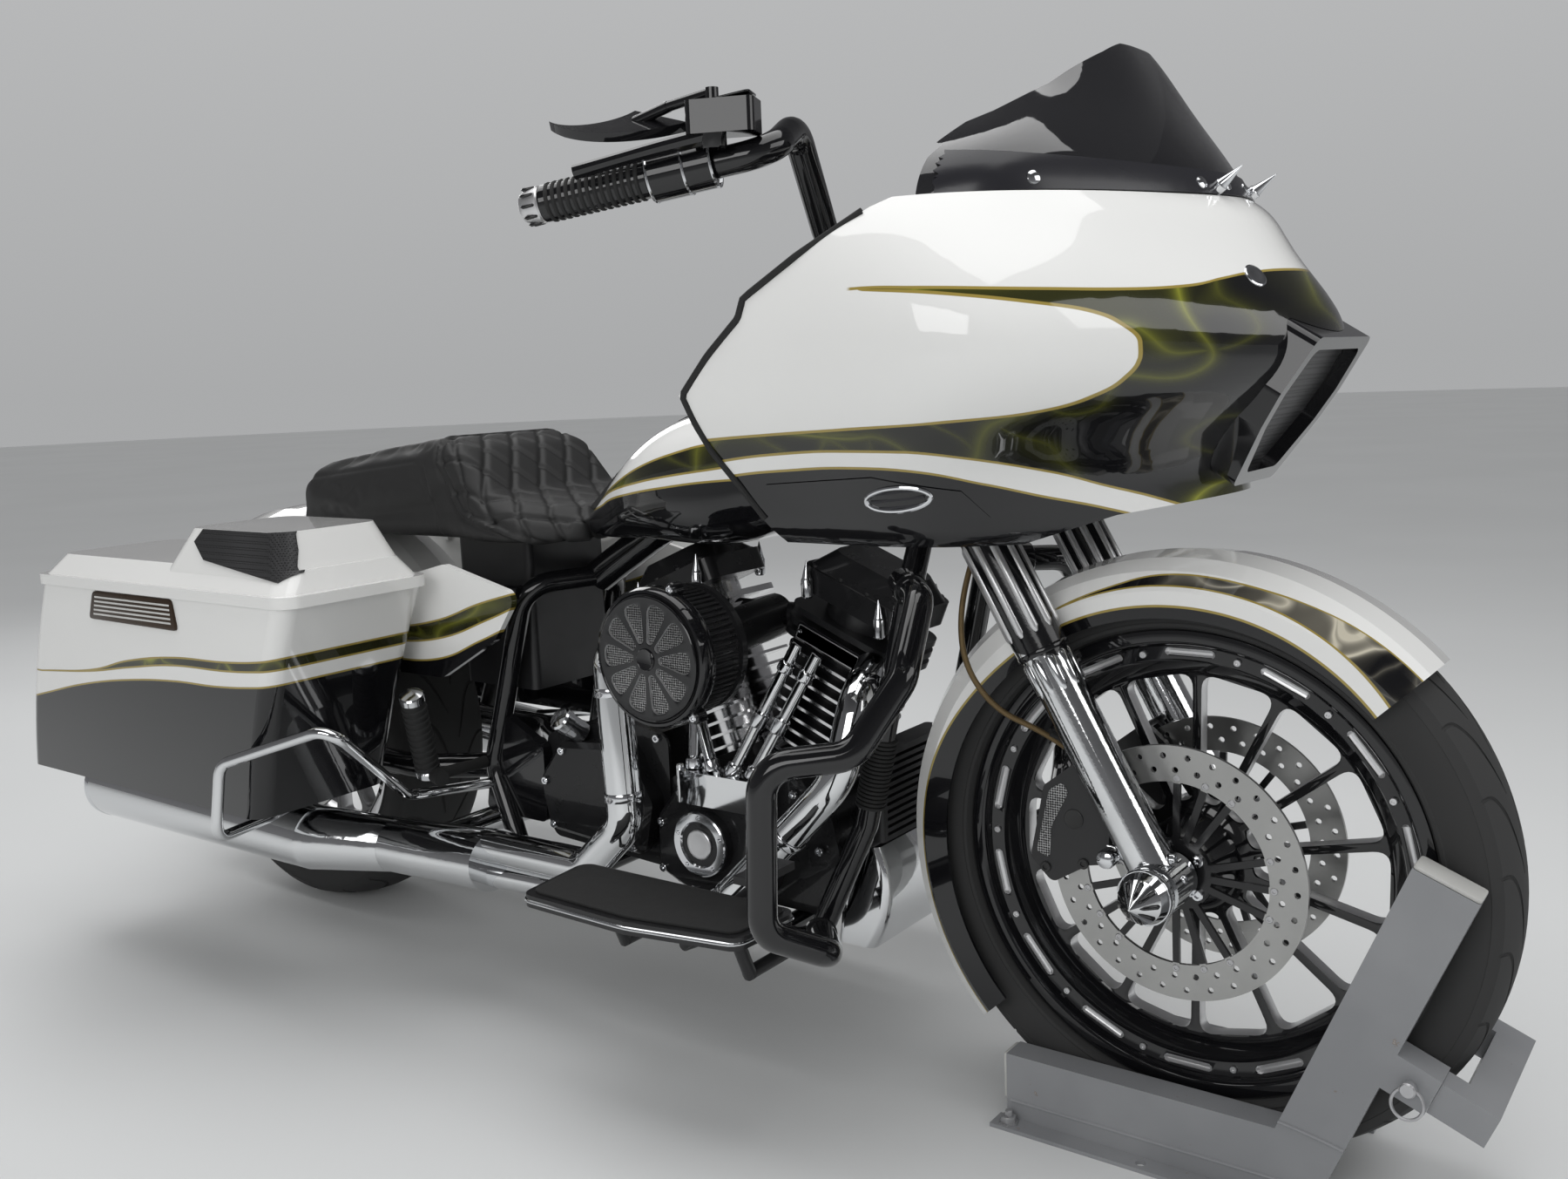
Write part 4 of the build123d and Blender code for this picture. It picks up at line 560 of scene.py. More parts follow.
def pipe(points, radius, sides=4, order=3, taper=None):
    """A bent bar or wire along a smooth run of points, made a mesh."""
    nurbs(points, radius, 6, sides, order, taper)
    bpy.ops.object.convert(target="MESH")
    piece = bpy.context.object
    edit(piece)
    bpy.ops.mesh.remove_doubles(threshold=0.00001)
    bpy.ops.mesh.normals_make_consistent(inside=False)
    bpy.ops.object.mode_set(mode="OBJECT")
    return piece


def cut_from(node, planes):
    """A copy of the part of a rigid piece's surface inside the planes, each a (point, outward normal)."""
    deselect()
    piece = NODES[node].copy()
    piece.data = NODES[node].data.copy()
    bpy.context.scene.collection.objects.link(piece)
    edit(piece)
    bpy.ops.mesh.remove_doubles(threshold=0.00002)
    for point, normal in planes:
        bpy.ops.mesh.select_all(action="SELECT")
        bpy.ops.mesh.bisect(plane_co=point, plane_no=normal, clear_outer=True)
    bpy.ops.object.mode_set(mode="OBJECT")
    return piece


def keep_faces(piece, test):
    """Throw away every face that fails a test."""
    edit(piece)
    pick(piece, lambda place, normal: not test(place, normal))
    bpy.ops.mesh.delete(type="FACE")
    bpy.ops.object.mode_set(mode="OBJECT")


def modify(piece, kind, **values):
    """Add a modifier and apply it."""
    only(piece)
    modifier = piece.modifiers.new(kind.title(), kind)
    for key, value in values.items():
        setattr(modifier, key, value)
    bpy.ops.object.modifier_apply(modifier=modifier.name)
    return piece


def carve(piece, tools):
    """Cut a list of shapes out of a piece."""
    cutter = join(tools)
    modify(piece, "BOOLEAN", operation="DIFFERENCE", object=cutter, solver="MANIFOLD")
    bpy.data.objects.remove(cutter)
    return piece


def soften(piece, width):
    """Round every sharp edge a little."""
    return modify(piece, "BEVEL", width=width, segments=2, limit_method="ANGLE", angle_limit=math.radians(50))


def thicken(piece, thick, lift=0.0):
    """Push a skin outward and give it a wall."""
    if lift:
        edit(piece)
        bpy.ops.transform.shrink_fatten(value=lift)
        bpy.ops.object.mode_set(mode="OBJECT")
    return modify(piece, "SOLIDIFY", thickness=thick, offset=1)


def copies(piece, matrices):
    """The piece at each of several places, every copy with its own mesh; the first one is moved."""
    made = []
    for matrix in matrices[1:]:
        twin = piece.copy()
        twin.data = piece.data.copy()
        twin.data.transform(matrix)
        if matrix.determinant() < 0:
            twin.data.flip_normals()
        bpy.context.scene.collection.objects.link(twin)
        made.append(twin)
    piece.data.transform(matrices[0])
    if matrices[0].determinant() < 0:
        piece.data.flip_normals()
    return [piece, *made]


def around(centre, axis, count, start=0.0):
    """Turns about an axis for a ring of copies."""
    centre = Vector(centre)
    there, back = Matrix.Translation(centre), Matrix.Translation(-centre)
    return [there @ Matrix.Rotation(start + math.tau * index / count, 4, Vector(axis)) @ back for index in range(count)]


def placed(places):
    """Moves that carry a shape made at the origin along +Z to (place, direction) pairs."""
    return [Matrix.Translation(Vector(place)) @ Vector(direction).to_track_quat("Z", "Y").to_matrix().to_4x4()
            for place, direction in places]


def join(pieces):
    """Make several shapes one piece."""
    deselect()
    for piece in pieces:
        piece.select_set(True)
    bpy.context.view_layer.objects.active = pieces[0]
    if len(pieces) > 1:
        bpy.ops.object.join()
    return bpy.context.view_layer.objects.active


def both_sides(piece):
    """A piece or list of shapes and its mirror image across the middle plane, as one."""
    if isinstance(piece, list):
        piece = join(piece)
    return join(copies(piece, [Matrix.Identity(4), Matrix.Scale(-1, 4, (0, 1, 0))]))


def done(piece, name, body, look="chrome", smooth=35):
    """Name a finished piece or list of shapes, smooth it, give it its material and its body."""
    if isinstance(piece, list):
        piece = join(piece)
    only(piece)
    bpy.ops.object.transform_apply(location=True, rotation=True, scale=True)
    bpy.ops.object.shade_smooth_by_angle(angle=math.radians(smooth))
    piece.name = piece.data.name = name
    piece.data.materials.clear()
    piece.data.materials.append(bpy.data.materials[look])
    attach(piece, body)
    return piece


def bolt(radius, height, steps=12):
    """A cap bolt standing on the origin, its socket toward +Z."""
    return spun((0, 0, 0), (0, 0, 1), [(0, radius), (height - 0.15 * radius, radius), (height, radius * 0.85),
                                       (height, radius * 0.5), (height * 0.45, radius * 0.45), (height * 0.45, 0)],
                steps)


def bolts(name, body, places, radius, height, look="chrome"):
    """A group of like bolts at (place, direction) pairs."""
    return done(copies(bolt(radius, height), placed(places)), name, body, look)


def hit(node, start, direction):
    """Where a straight line first meets a rigid piece, and the surface's normal there."""
    found, place, normal, _ = NODES[node].ray_cast(Vector(start), Vector(direction))
    if not found:
        raise ValueError(f"nothing of {node} from {tuple(start)} along {tuple(direction)}")
    return place, normal
def wear(material, names):
    """Put one material on each of the nodes named."""
    for node in names.split():
        mesh = NODES[node].data
        mesh.materials.clear()
        mesh.materials.append(material)


def painted_white():
    """White lacquer with nothing on it."""
    paint = bpy.context.scene.touring_paint
    material, tree, shader, where = new_material("white_paint")
    noise = use_group(tree, "Surface Grain", Vector=where, Scale=40.0)
    white = tuple(paint.white)
    colour = blend_colour(tree, noise.outputs["Patches"], tuple(c * 0.985 for c in white), white)
    return lacquer(material, tree, shader, where, colour)


def fairing_paint():
    """The fairing: a black field round a white lens, a white stripe under it and a black belly."""
    paint = bpy.context.scene.touring_paint
    material, tree, shader, where = new_material("fairing_paint")
    x, _, z = axis_values(tree, where)
    top = paint_line(tree, edge_distance(tree, x, z, FAIRING_BLACK_TOP))
    lens = paint_line(tree, edge_distance(tree, z, x, FAIRING_LENS, 0.002))
    stripe = paint_line(tree, edge_distance(tree, x, z, FAIRING_STRIPE_TOP))
    belly = paint_line(tree, edge_distance(tree, x, z, FAIRING_STRIPE_LOW))
    black = maths(tree, "MULTIPLY", maths(tree, "SUBTRACT", 1.0, top.outputs["Above"]), lens.outputs["Above"])
    black = maths(tree, "MULTIPLY", black, stripe.outputs["Above"])
    low_black = maths(tree, "SUBTRACT", 1.0, belly.outputs["Above"])
    smoke = use_group(tree, "Airbrush Wisps", Vector=where, Scale=7.0)
    fade = remap(tree, x, 0.45, 0.80, 0.45, 1.5)
    haze = maths(tree, "MULTIPLY", smoke.outputs["Mask"], fade, clamp=True)
    field = blend_colour(tree, haze, tuple(paint.black), tuple(paint.wisp))
    colour = blend_colour(tree, black, tuple(paint.white), field)
    colour = blend_colour(tree, low_black, colour, tuple(paint.black))
    below_top = maths(tree, "SUBTRACT", 1.0, top.outputs["Above"])
    lens_line = maths(tree, "MULTIPLY", lens.outputs["Line"], maths(tree, "MULTIPLY", below_top,
                                                                    stripe.outputs["Above"]))
    top_line = maths(tree, "MULTIPLY", top.outputs["Line"], remap(tree, x, 0.635, 0.64))
    lines = maths(tree, "MAXIMUM", lens_line, maths(tree, "MAXIMUM", top_line, stripe.outputs["Line"]))
    lines = maths(tree, "MAXIMUM", lines, belly.outputs["Line"])
    colour = blend_colour(tree, lines, colour, tuple(paint.gold))
    return lacquer(material, tree, shader, where, colour)


def fender_paint():
    """The front fender: bands that follow its curve, by the way round from its crown and down its side."""
    paint = bpy.context.scene.touring_paint
    material, tree, shader, where = new_material("fender_paint")
    x, y, z, radius = about_axle(tree, where, FRONT_HUB)
    turn = maths(tree, "ARCTAN2", maths(tree, "MULTIPLY", x, -1.0), z)
    down = maths(tree, "ADD", maths(tree, "ABSOLUTE", y), maths(tree, "SUBTRACT", 0.365, radius))
    low = curve_value(tree, turn, FENDER_BLACK_TOP, 0.26, 0.38)
    edge = paint_line(tree, maths(tree, "SUBTRACT", radius, low))
    upper = curve_value(tree, turn, FENDER_SWOOSH_TOP, 0.05, 0.15)
    lower = curve_value(tree, turn, FENDER_SWOOSH_LOW, 0.05, 0.15)
    top = paint_line(tree, maths(tree, "SUBTRACT", down, upper))
    bottom = paint_line(tree, maths(tree, "SUBTRACT", lower, down))
    ahead = remap(tree, turn, 0.46, 0.44)
    band = maths(tree, "MULTIPLY", maths(tree, "MULTIPLY", top.outputs["Above"], bottom.outputs["Above"]), ahead)
    smoke = use_group(tree, "Airbrush Wisps", Vector=where, Scale=13.0)
    pale = tuple(0.5 * (a + b) for a, b in zip(paint.gold, paint.white))
    flames = maths(tree, "MULTIPLY", smoke.outputs["Mask"], remap(tree, turn, 0.1, -0.5, 0.0, 2.4), clamp=True)
    field = blend_colour(tree, flames, tuple(paint.black), pale)
    colour = blend_colour(tree, band, tuple(paint.white), field)
    colour = blend_colour(tree, edge.outputs["Above"], tuple(paint.black), colour)
    lines = maths(tree, "MULTIPLY", maths(tree, "MAXIMUM", maths(tree, "MULTIPLY", top.outputs["Line"],
                                                                 bottom.outputs["Above"]),
                                          maths(tree, "MULTIPLY", bottom.outputs["Line"], top.outputs["Above"])), ahead)
    lines = maths(tree, "MAXIMUM", lines, edge.outputs["Line"])
    colour = blend_colour(tree, lines, colour, tuple(paint.gold))
    return lacquer(material, tree, shader, where, colour)


def smoked_screen():
    """Dark tinted acrylic."""
    material, tree, shader, where = new_material("smoked_screen")
    noise = use_group(tree, "Surface Grain", Vector=where, Scale=30.0)
    tree.links.new(blend_colour(tree, noise.outputs["Patches"], (0.010, 0.010, 0.012), (0.014, 0.014, 0.016)),
                   shader.inputs["Base Color"])
    shader.inputs["Roughness"].default_value = 0.04
    tree.links.new(remap(tree, noise.outputs["Patches"], 0, 1, 0.86, 0.90), shader.inputs["Alpha"])
    shader.inputs["Coat Weight"].default_value = 1.0
    shader.inputs["Coat Roughness"].default_value = 0.02
    return material


def lamp_glass():
    """Clear lamp lens over a bright reflector."""
    material, tree, shader, where = new_material("lamp_lens")
    noise = use_group(tree, "Surface Grain", Vector=where, Scale=80.0)
    tree.links.new(blend_colour(tree, noise.outputs["Patches"], (0.45, 0.46, 0.48), (0.62, 0.64, 0.66)),
                   shader.inputs["Base Color"])
    shader.inputs["Roughness"].default_value = 0.08
    shader.inputs["Metallic"].default_value = 0.8
    return material


# ---------------------------------------------------------------- two-tone finishes
def two_tone(name, mask_of, first, second, grain=300.0):
    """Two plain finishes on one piece, split by a mask; each finish is (colour, roughness, metallic)."""
    material, tree, shader, where = new_material(name)
    noise = use_group(tree, "Surface Grain", Vector=where, Scale=grain)
    mask = mask_of(tree, where)
    pair = [blend_colour(tree, noise.outputs["Patches"], tuple(c * 0.88 for c in tone),
                         tone) for tone in (first[0], second[0])]
    tree.links.new(blend_colour(tree, mask, *pair), shader.inputs["Base Color"])
    rough = remap(tree, mask, 0, 1, first[1], second[1])
    rough = maths(tree, "ADD", rough, remap(tree, noise.outputs["Patches"], 0, 1, -0.02, 0.03))
    tree.links.new(rough, shader.inputs["Roughness"])
    tree.links.new(remap(tree, mask, 0, 1, first[2], second[2]), shader.inputs["Metallic"])
    bump(tree, shader, noise.outputs["Height"], 0.4, 0.0002)
    return material


def about_axle(tree, where, hub):
    """X, Y and Z of a place from a wheel's hub, and its distance from the axle."""
    centre = add_node(tree, "ShaderNodeVectorMath", operation="SUBTRACT")
    tree.links.new(where, centre.inputs[0])
    centre.inputs[1].default_value = hub
    x, y, z = axis_values(tree, centre.outputs[0])
    squares = maths(tree, "ADD", maths(tree, "MULTIPLY", x, x), maths(tree, "MULTIPLY", z, z))
    return x, y, z, maths(tree, "SQRT", squares)


def disc_mask(hub, radius):
    """One outside a radius about a wheel's axle, nought inside it."""
    def mask(tree, where):
        reach = about_axle(tree, where, hub)[3]
        return remap(tree, reach, radius - 0.0004, radius + 0.0004)
    return mask


def fin_mask(tree, where):
    """One on the outer edges of the cylinder fins, by distance from each cylinder's own axis."""
    total = None
    for side in (1, -1):
        turn = add_node(tree, "ShaderNodeMapping", vector_type="TEXTURE", Vector=where)
        turn.inputs["Location"].default_value = at(CRANK[0], 0, CRANK[1])
        turn.inputs["Rotation"].default_value = (0, CYLINDER_LEAN * side, 0)
        x, y, z = axis_values(tree, turn.outputs[0])
        edge = maths(tree, "MAXIMUM", maths(tree, "ABSOLUTE", x), maths(tree, "ABSOLUTE", y))
        diagonal = maths(tree, "MULTIPLY", maths(tree, "ADD", maths(tree, "ABSOLUTE", x), maths(tree, "ABSOLUTE", y)),
                         0.585)
        edge = maths(tree, "MAXIMUM", edge, diagonal)
        part = maths(tree, "MULTIPLY", remap(tree, edge, 0.0706, 0.0714), remap(tree, x, 0.096, 0.090))
        part = maths(tree, "MULTIPLY", part, remap(tree, z, 0.3165, 0.3155))
        total = part if total is None else maths(tree, "MAXIMUM", total, part)
    return total


def height_mask(level):
    """One above a height."""
    def mask(tree, where):
        return remap(tree, axis_values(tree, where)[2], level - 0.0004, level + 0.0004)
    return mask


def bright_mesh():
    """Fine perforated metal: bright wire round dark holes."""
    material, tree, shader, where = new_material("bright_mesh")
    cells = add_node(tree, "ShaderNodeTexVoronoi", Vector=where, Scale=330.0, Randomness=0.12)
    hole = remap(tree, cells.outputs["Distance"], 0.40, 0.52)
    noise = use_group(tree, "Surface Grain", Vector=where, Scale=200.0)
    wire = blend_colour(tree, noise.outputs["Patches"], (0.42, 0.42, 0.42), (0.6, 0.6, 0.6))
    tree.links.new(blend_colour(tree, hole, (0.006, 0.006, 0.006), wire), shader.inputs["Base Color"])
    tree.links.new(hole, shader.inputs["Metallic"])
    shader.inputs["Roughness"].default_value = 0.28
    bump(tree, shader, hole, 0.9, 0.001)
    return material


def wire_cloth(name, scale, wire, gap, metallic=0.8):
    """Woven wire seen from the front: dark holes in rows between wires."""
    material, tree, shader, where = new_material(name)
    cells = add_node(tree, "ShaderNodeTexVoronoi", Vector=where, Scale=scale, Randomness=0.0)
    hole = remap(tree, cells.outputs["Distance"], 0.32, 0.42)
    noise = use_group(tree, "Surface Grain", Vector=where, Scale=160.0)
    pair = blend_colour(tree, noise.outputs["Patches"], tuple(c * 0.75 for c in wire), wire)
    tree.links.new(blend_colour(tree, hole, gap, pair), shader.inputs["Base Color"])
    tree.links.new(maths(tree, "MULTIPLY", hole, metallic), shader.inputs["Metallic"])
    shader.inputs["Roughness"].default_value = 0.36
    bump(tree, shader, hole, 0.8, 0.0008)
    return material


def worn_enamel():
    """Grey enamel rubbed to bare steel in spots, with a little rust round them."""
    material, tree, shader, where = new_material("chock_enamel")
    noise = use_group(tree, "Surface Grain", Vector=where, Scale=120.0)
    large = add_node(tree, "ShaderNodeTexNoise", Vector=where, Scale=26.0, Detail=7.0, Roughness=0.72)
    worn = remap(tree, large.outputs[0], 0.685, 0.705)
    rust = remap(tree, large.outputs[0], 0.660, 0.695)
    paint = blend_colour(tree, noise.outputs["Patches"], (0.22, 0.225, 0.235), (0.27, 0.275, 0.285))
    colour = blend_colour(tree, rust, paint, (0.16, 0.085, 0.045))
    tree.links.new(blend_colour(tree, worn, colour, (0.42, 0.41, 0.40)), shader.inputs["Base Color"])
    tree.links.new(maths(tree, "MULTIPLY", worn, 0.9), shader.inputs["Metallic"])
    tree.links.new(remap(tree, rust, 0, 1, 0.36, 0.55), shader.inputs["Roughness"])
    bump(tree, shader, noise.outputs["Height"], 0.5, 0.0003)
    return material
# plain finishes: the material, its colour, its roughness, what else it says, and the nodes that wear it
FINISHES = (
    ("gloss_black", (0.007, 0.007, 0.008), 0.12, {"grain": 200, "coat": 1.0, "spread": 0.05},
     "engine_guard frame swingarm handlebar hand_controls mirrors nose_bezel rear_calliper"),
    ("satin_black", (0.016, 0.016, 0.017), 0.34, {"grain": 700, "height": 0.0002},
     "foot_controls yokes shocks side_stand plate_holder battery_box footboards front_callipers"),
    ("engine_black", (0.014, 0.014, 0.015), 0.30, {"grain": 900, "height": 0.0004, "coat": 0.4},
     "engine_case cam_cover gearbox_cover primary_cover rocker_covers air_cleaner"),
    ("chrome", (0.78, 0.79, 0.80), 0.06, {"metallic": 1.0, "grain": 60, "spread": 0.05, "tone": 0.04},
     "headers mufflers pushrod_tubes front_axle rear_axle bag_guards chin_spoiler"),
    ("polished_aluminium", (0.72, 0.72, 0.73), 0.14, {"metallic": 1.0, "grain": 120, "spread": 0.08}, "drive_pulley"),
    ("disc_steel", (0.46, 0.46, 0.46), 0.30, {"metallic": 1.0, "grain": 260, "height": 0.0002}, ""),
    ("black_plastic", (0.018, 0.018, 0.019), 0.45, {"grain": 900, "height": 0.0003}, "dash"),
    ("black_rubber", (0.016, 0.016, 0.016), 0.72, {"grain": 600, "height": 0.0004}, "passenger_pegs"),
    ("tyre_rubber", (0.022, 0.022, 0.023), 0.62, {"grain": 420, "height": 0.0003}, ""),
    ("cooler_black", (0.02, 0.02, 0.021), 0.5, {"grain": 500, "height": 0.0004}, "oil_cooler"),
    ("braided_hose", (0.16, 0.11, 0.05), 0.38, {"metallic": 0.6, "grain": 2000, "height": 0.0006}, "brake_hose"),
    ("red_lens", (0.30, 0.008, 0.01), 0.08, {"grain": 200, "coat": 1.0}, "tail_light"),
    ("gloss_plastic", (0.010, 0.010, 0.011), 0.16, {"grain": 500, "spread": 0.04}, ""),
    ("bronze", (0.045, 0.026, 0.014), 0.30, {"metallic": 0.3, "grain": 600}, ""),
    ("pale_mark", (0.62, 0.62, 0.60), 0.5, {"grain": 900}, ""),
    ("plate_white", (0.66, 0.66, 0.64), 0.35, {"grain": 200, "coat": 0.3}, ""),
    ("pale_cap", (0.50, 0.50, 0.48), 0.45, {"grain": 260, "height": 0.0003}, ""),
    ("mirror_glass", (0.80, 0.81, 0.82), 0.03, {"metallic": 1.0, "grain": 30, "spread": 0.02, "tone": 0.03}, ""),
    ("board_rubber", (0.020, 0.020, 0.020), 0.85, {"grain": 1100, "height": 0.0008}, ""),
)
PANELS = (
    ("tank_paint", (TANK_SWOOSH_LOW, TANK_SWOOSH_TOP, 7.0), TANK_WHITE_LOW, "fuel_tank"),
    ("bag_paint", (BAG_SWOOSH_LOW, BAG_SWOOSH_TOP, 8.0), BAG_WHITE_LOW, "saddlebag_right saddlebag_left"),
    ("cover_paint", (COVER_SWOOSH_LOW, COVER_SWOOSH_TOP, 8.0), COVER_WHITE_LOW, "side_covers"),
)
DISC_CARRIER_RADIUS = 0.1068
LEG_SPLIT_HEIGHT = 0.604       # where the fork legs change from black covers to bright sliders
BRIGHT, GLOSS = ((0.78, 0.79, 0.80), 0.06, 1.0), ((0.007, 0.007, 0.008), 0.12, 0.0)


class TOURING_OT_finishes(bpy.types.Operator):
    """Give every rigid piece its finish"""

    bl_idname = "touring.finishes"
    bl_label = "Finish the rigid pieces"

    def execute(self, context):
        for name, colour, roughness, options, nodes in FINISHES:
            wear(surface(name, colour, roughness, **options), nodes)
        wear(worn_enamel(), "chock_frames chock_stop")
        wear(fairing_paint(), "fairing")
        for name, swoosh, white_low, nodes in PANELS:
            wear(painted_panel(name, [swoosh, (None, white_low, 0)]), nodes)
        wear(painted_white(), "bag_lid_right bag_lid_left rear_fender")
        wear(fender_paint(), "front_fender")
        wear(smoked_screen(), "windshield")
        wear(lamp_glass(), "headlamps")
        seat_leather()
        bright_mesh()
        wire_cloth("speaker_cloth", 330.0, (0.055, 0.055, 0.057), (0.004, 0.004, 0.004), 0.3)
        wear(wire_cloth("nose_cloth", 260.0, (0.05, 0.05, 0.052), (0.003, 0.003, 0.003), 0.4), "nose_grille")
        dark, bright = ((0.012, 0.012, 0.013), 0.22, 0.0), ((0.74, 0.74, 0.75), 0.12, 1.0)
        iron, fins = ((0.45, 0.45, 0.44), 0.30, 1.0), ((0.010, 0.010, 0.011), 0.34, 0.0)
        for end, hub, node in (("front", FRONT_HUB, "front_rotors"), ("rear", REAR_HUB, "rear_rotor")):
            wear(two_tone(end + "_disc", disc_mask(hub, DISC_CARRIER_RADIUS), dark, iron), node)
        wear(two_tone("finned_black", fin_mask, fins, bright, 700.0), "cylinders")
        wear(two_tone("fork_two_tone", height_mask(LEG_SPLIT_HEIGHT), BRIGHT, GLOSS), "fork_legs")
        return {"FINISHED"}


# ---------------------------------------------------------------- seat
BORDER = [(-1156, 860), (-1138, 815), (-1112, 762), (-1090, 738), (-1045, 728), (-1000, 718), (-960, 704), (-935, 688)]
SIDE_SEAM = [(-1530, 772), (-1470, 788), (-1300, 806), (-1205, 816), (-1182, 808), (-1172, 786), (-1158, 735),
             (-1150, 680)]
PAD_TOP = [(-1512, 782), (-1470, 802), (-1320, 826), (-1188, 842), (-1130, 846), (-1090, 826), (-1040, 762),
           (-960, 744), (-888, 738)]


QUILT_SLOPE = 0.72             # how far the sewn channels run along the seat for one unit across
CHANNEL_DEPTH, CHANNEL_WIDTH = 0.0042, 0.0055
PIPING_RISE, PIPING_GROOVE, SEAM_WIDTH = 0.0030, 0.0034, 0.0035
SIDE_SEAM_TOP = 0.84


def hump(gap, size, width):
    """A smooth rise of a given size that fades out over a width."""
    return size * math.exp(-(gap / width) ** 2)


def beside_line(x, z, line):
    """Signed distance in metres from a side-view line, positive ahead of it."""
    place, best, sign = Vector((x, z)), 9.0, 1.0
    for first, last in zip(line, line[1:]):
        a = Vector(((first[0] + STATION_SHIFT) * MM, first[1] * MM))
        b = Vector(((last[0] + STATION_SHIFT) * MM, last[1] * MM))
        run = b - a
        share = max(0.0, min(1.0, (place - a).dot(run) / run.length_squared))
        gap = (place - a - run * share).length
        if gap < best:
            best = gap
            sign = 1.0 if run.x * (place.y - a.y) - run.y * (place.x - a.x) > 0 else -1.0
    return best * sign


def top_height(x):
    """Height of the seat's top at a place along it."""
    station = x / MM - STATION_SHIFT
    for (low, z_low), (high, z_high) in zip(PAD_TOP, PAD_TOP[1:]):
        if station <= high:
            share = max(0.0, (station - low) / (high - low))
            return (z_low + (z_high - z_low) * share) * MM
    return PAD_TOP[-1][1] * MM


class TOURING_OT_seat(bpy.types.Operator):
    """Padded two-up seat with a quilted panel and sewn borders"""

    bl_idname = "touring.seat"
    bl_label = "Seat"

    def execute(self, context):
        settings = context.scene.touring_seat
        deselect()
        pad = NODES["seat"].copy()
        pad.data = NODES["seat"].data.copy()
        context.scene.collection.objects.link(pad)
        edit(pad)
        bpy.ops.mesh.remove_doubles(threshold=0.00005)
        bpy.ops.transform.shrink_fatten(value=-0.003)
        bpy.ops.object.mode_set(mode="OBJECT")
        modify(pad, "REMESH", mode="VOXEL", voxel_size=0.006)
        edit(pad)
        bpy.ops.mesh.vertices_smooth(factor=0.5, repeat=5)
        bpy.ops.object.mode_set(mode="OBJECT")
        self.inflate(context, pad, settings.swell)
        modify(pad, "SUBSURF", levels=1, render_levels=1)
        self.sew(pad, settings)
        done(pad, "seat_padded", "chassis", "seat_leather", smooth=60)
        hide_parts("seat")
        return {"FINISHED"}

    def inflate(self, context, pad, cap):
        """Blow the cover up gently, no point moving further than the cap."""
        rest = [vertex.co.copy() for vertex in pad.data.vertices]
        only(pad)
        modifier = pad.modifiers.new("Cloth", "CLOTH")
        modifier.settings.use_pressure = True
        modifier.settings.uniform_pressure_force = 4
        modifier.settings.effector_weights.gravity = 0
        modifier.point_cache.frame_end = 20
        for number in range(1, 21):
            context.scene.frame_set(number)
        bpy.ops.object.modifier_apply(modifier=modifier.name)
        context.scene.frame_set(1)
        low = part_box("seat")[0].z
        for vertex, home in zip(pad.data.vertices, rest):
            move = vertex.co - home
            if move.length > cap:
                move *= cap / move.length
            share = min(max((home.z - low - 0.01) / 0.03, 0.0), 1.0)
            vertex.co = home + move * share * (0.35 if home.x > -0.06 else 1.0)

    def sew(self, pad, settings):
        """Write the panel's pattern on the cover and draw its channels and seams in."""
        mesh = pad.data
        names = ("along", "across", "border", "side_seam")
        for name in names:
            mesh.attributes.new(name, "FLOAT", "POINT")
        layers = [mesh.attributes[name] for name in names]
        pitch = settings.pitch
        normals = [vertex.normal.copy() for vertex in mesh.vertices]
        tables = [layer.data for layer in layers]
        moved = []
        for index, vertex in enumerate(mesh.vertices):
            x, y, z = vertex.co
            along = -x + 0.39 * (z - 0.75)
            fall = max(0.0, top_height(x) - z - 0.004)
            across = y + math.copysign(0.8 * fall, y)
            border = beside_line(x, z, BORDER)
            seam = beside_line(x, z, SIDE_SEAM)
            for table, value in zip(tables, (along, across, border, seam)):
                table[index].value = value
            depth = 0.0
            if border > 0.004:
                for sign in (-1, 1):
                    line = (along * QUILT_SLOPE + sign * across) / pitch
                    gap = (0.5 - abs(line - math.floor(line) - 0.5)) * pitch
                    depth -= hump(gap, CHANNEL_DEPTH, CHANNEL_WIDTH)
                depth += 0.0015
            depth += hump(border - 0.001, PIPING_RISE, SEAM_WIDTH)
            depth -= hump(abs(border - 0.001) - 0.0075, PIPING_GROOVE, 0.004)
            if z < SIDE_SEAM_TOP:
                depth -= hump(seam, 0.0018, SEAM_WIDTH)
            moved.extend(vertex.co + normals[index] * depth)
        mesh.vertices.foreach_set("co", moved)
        mesh.update()


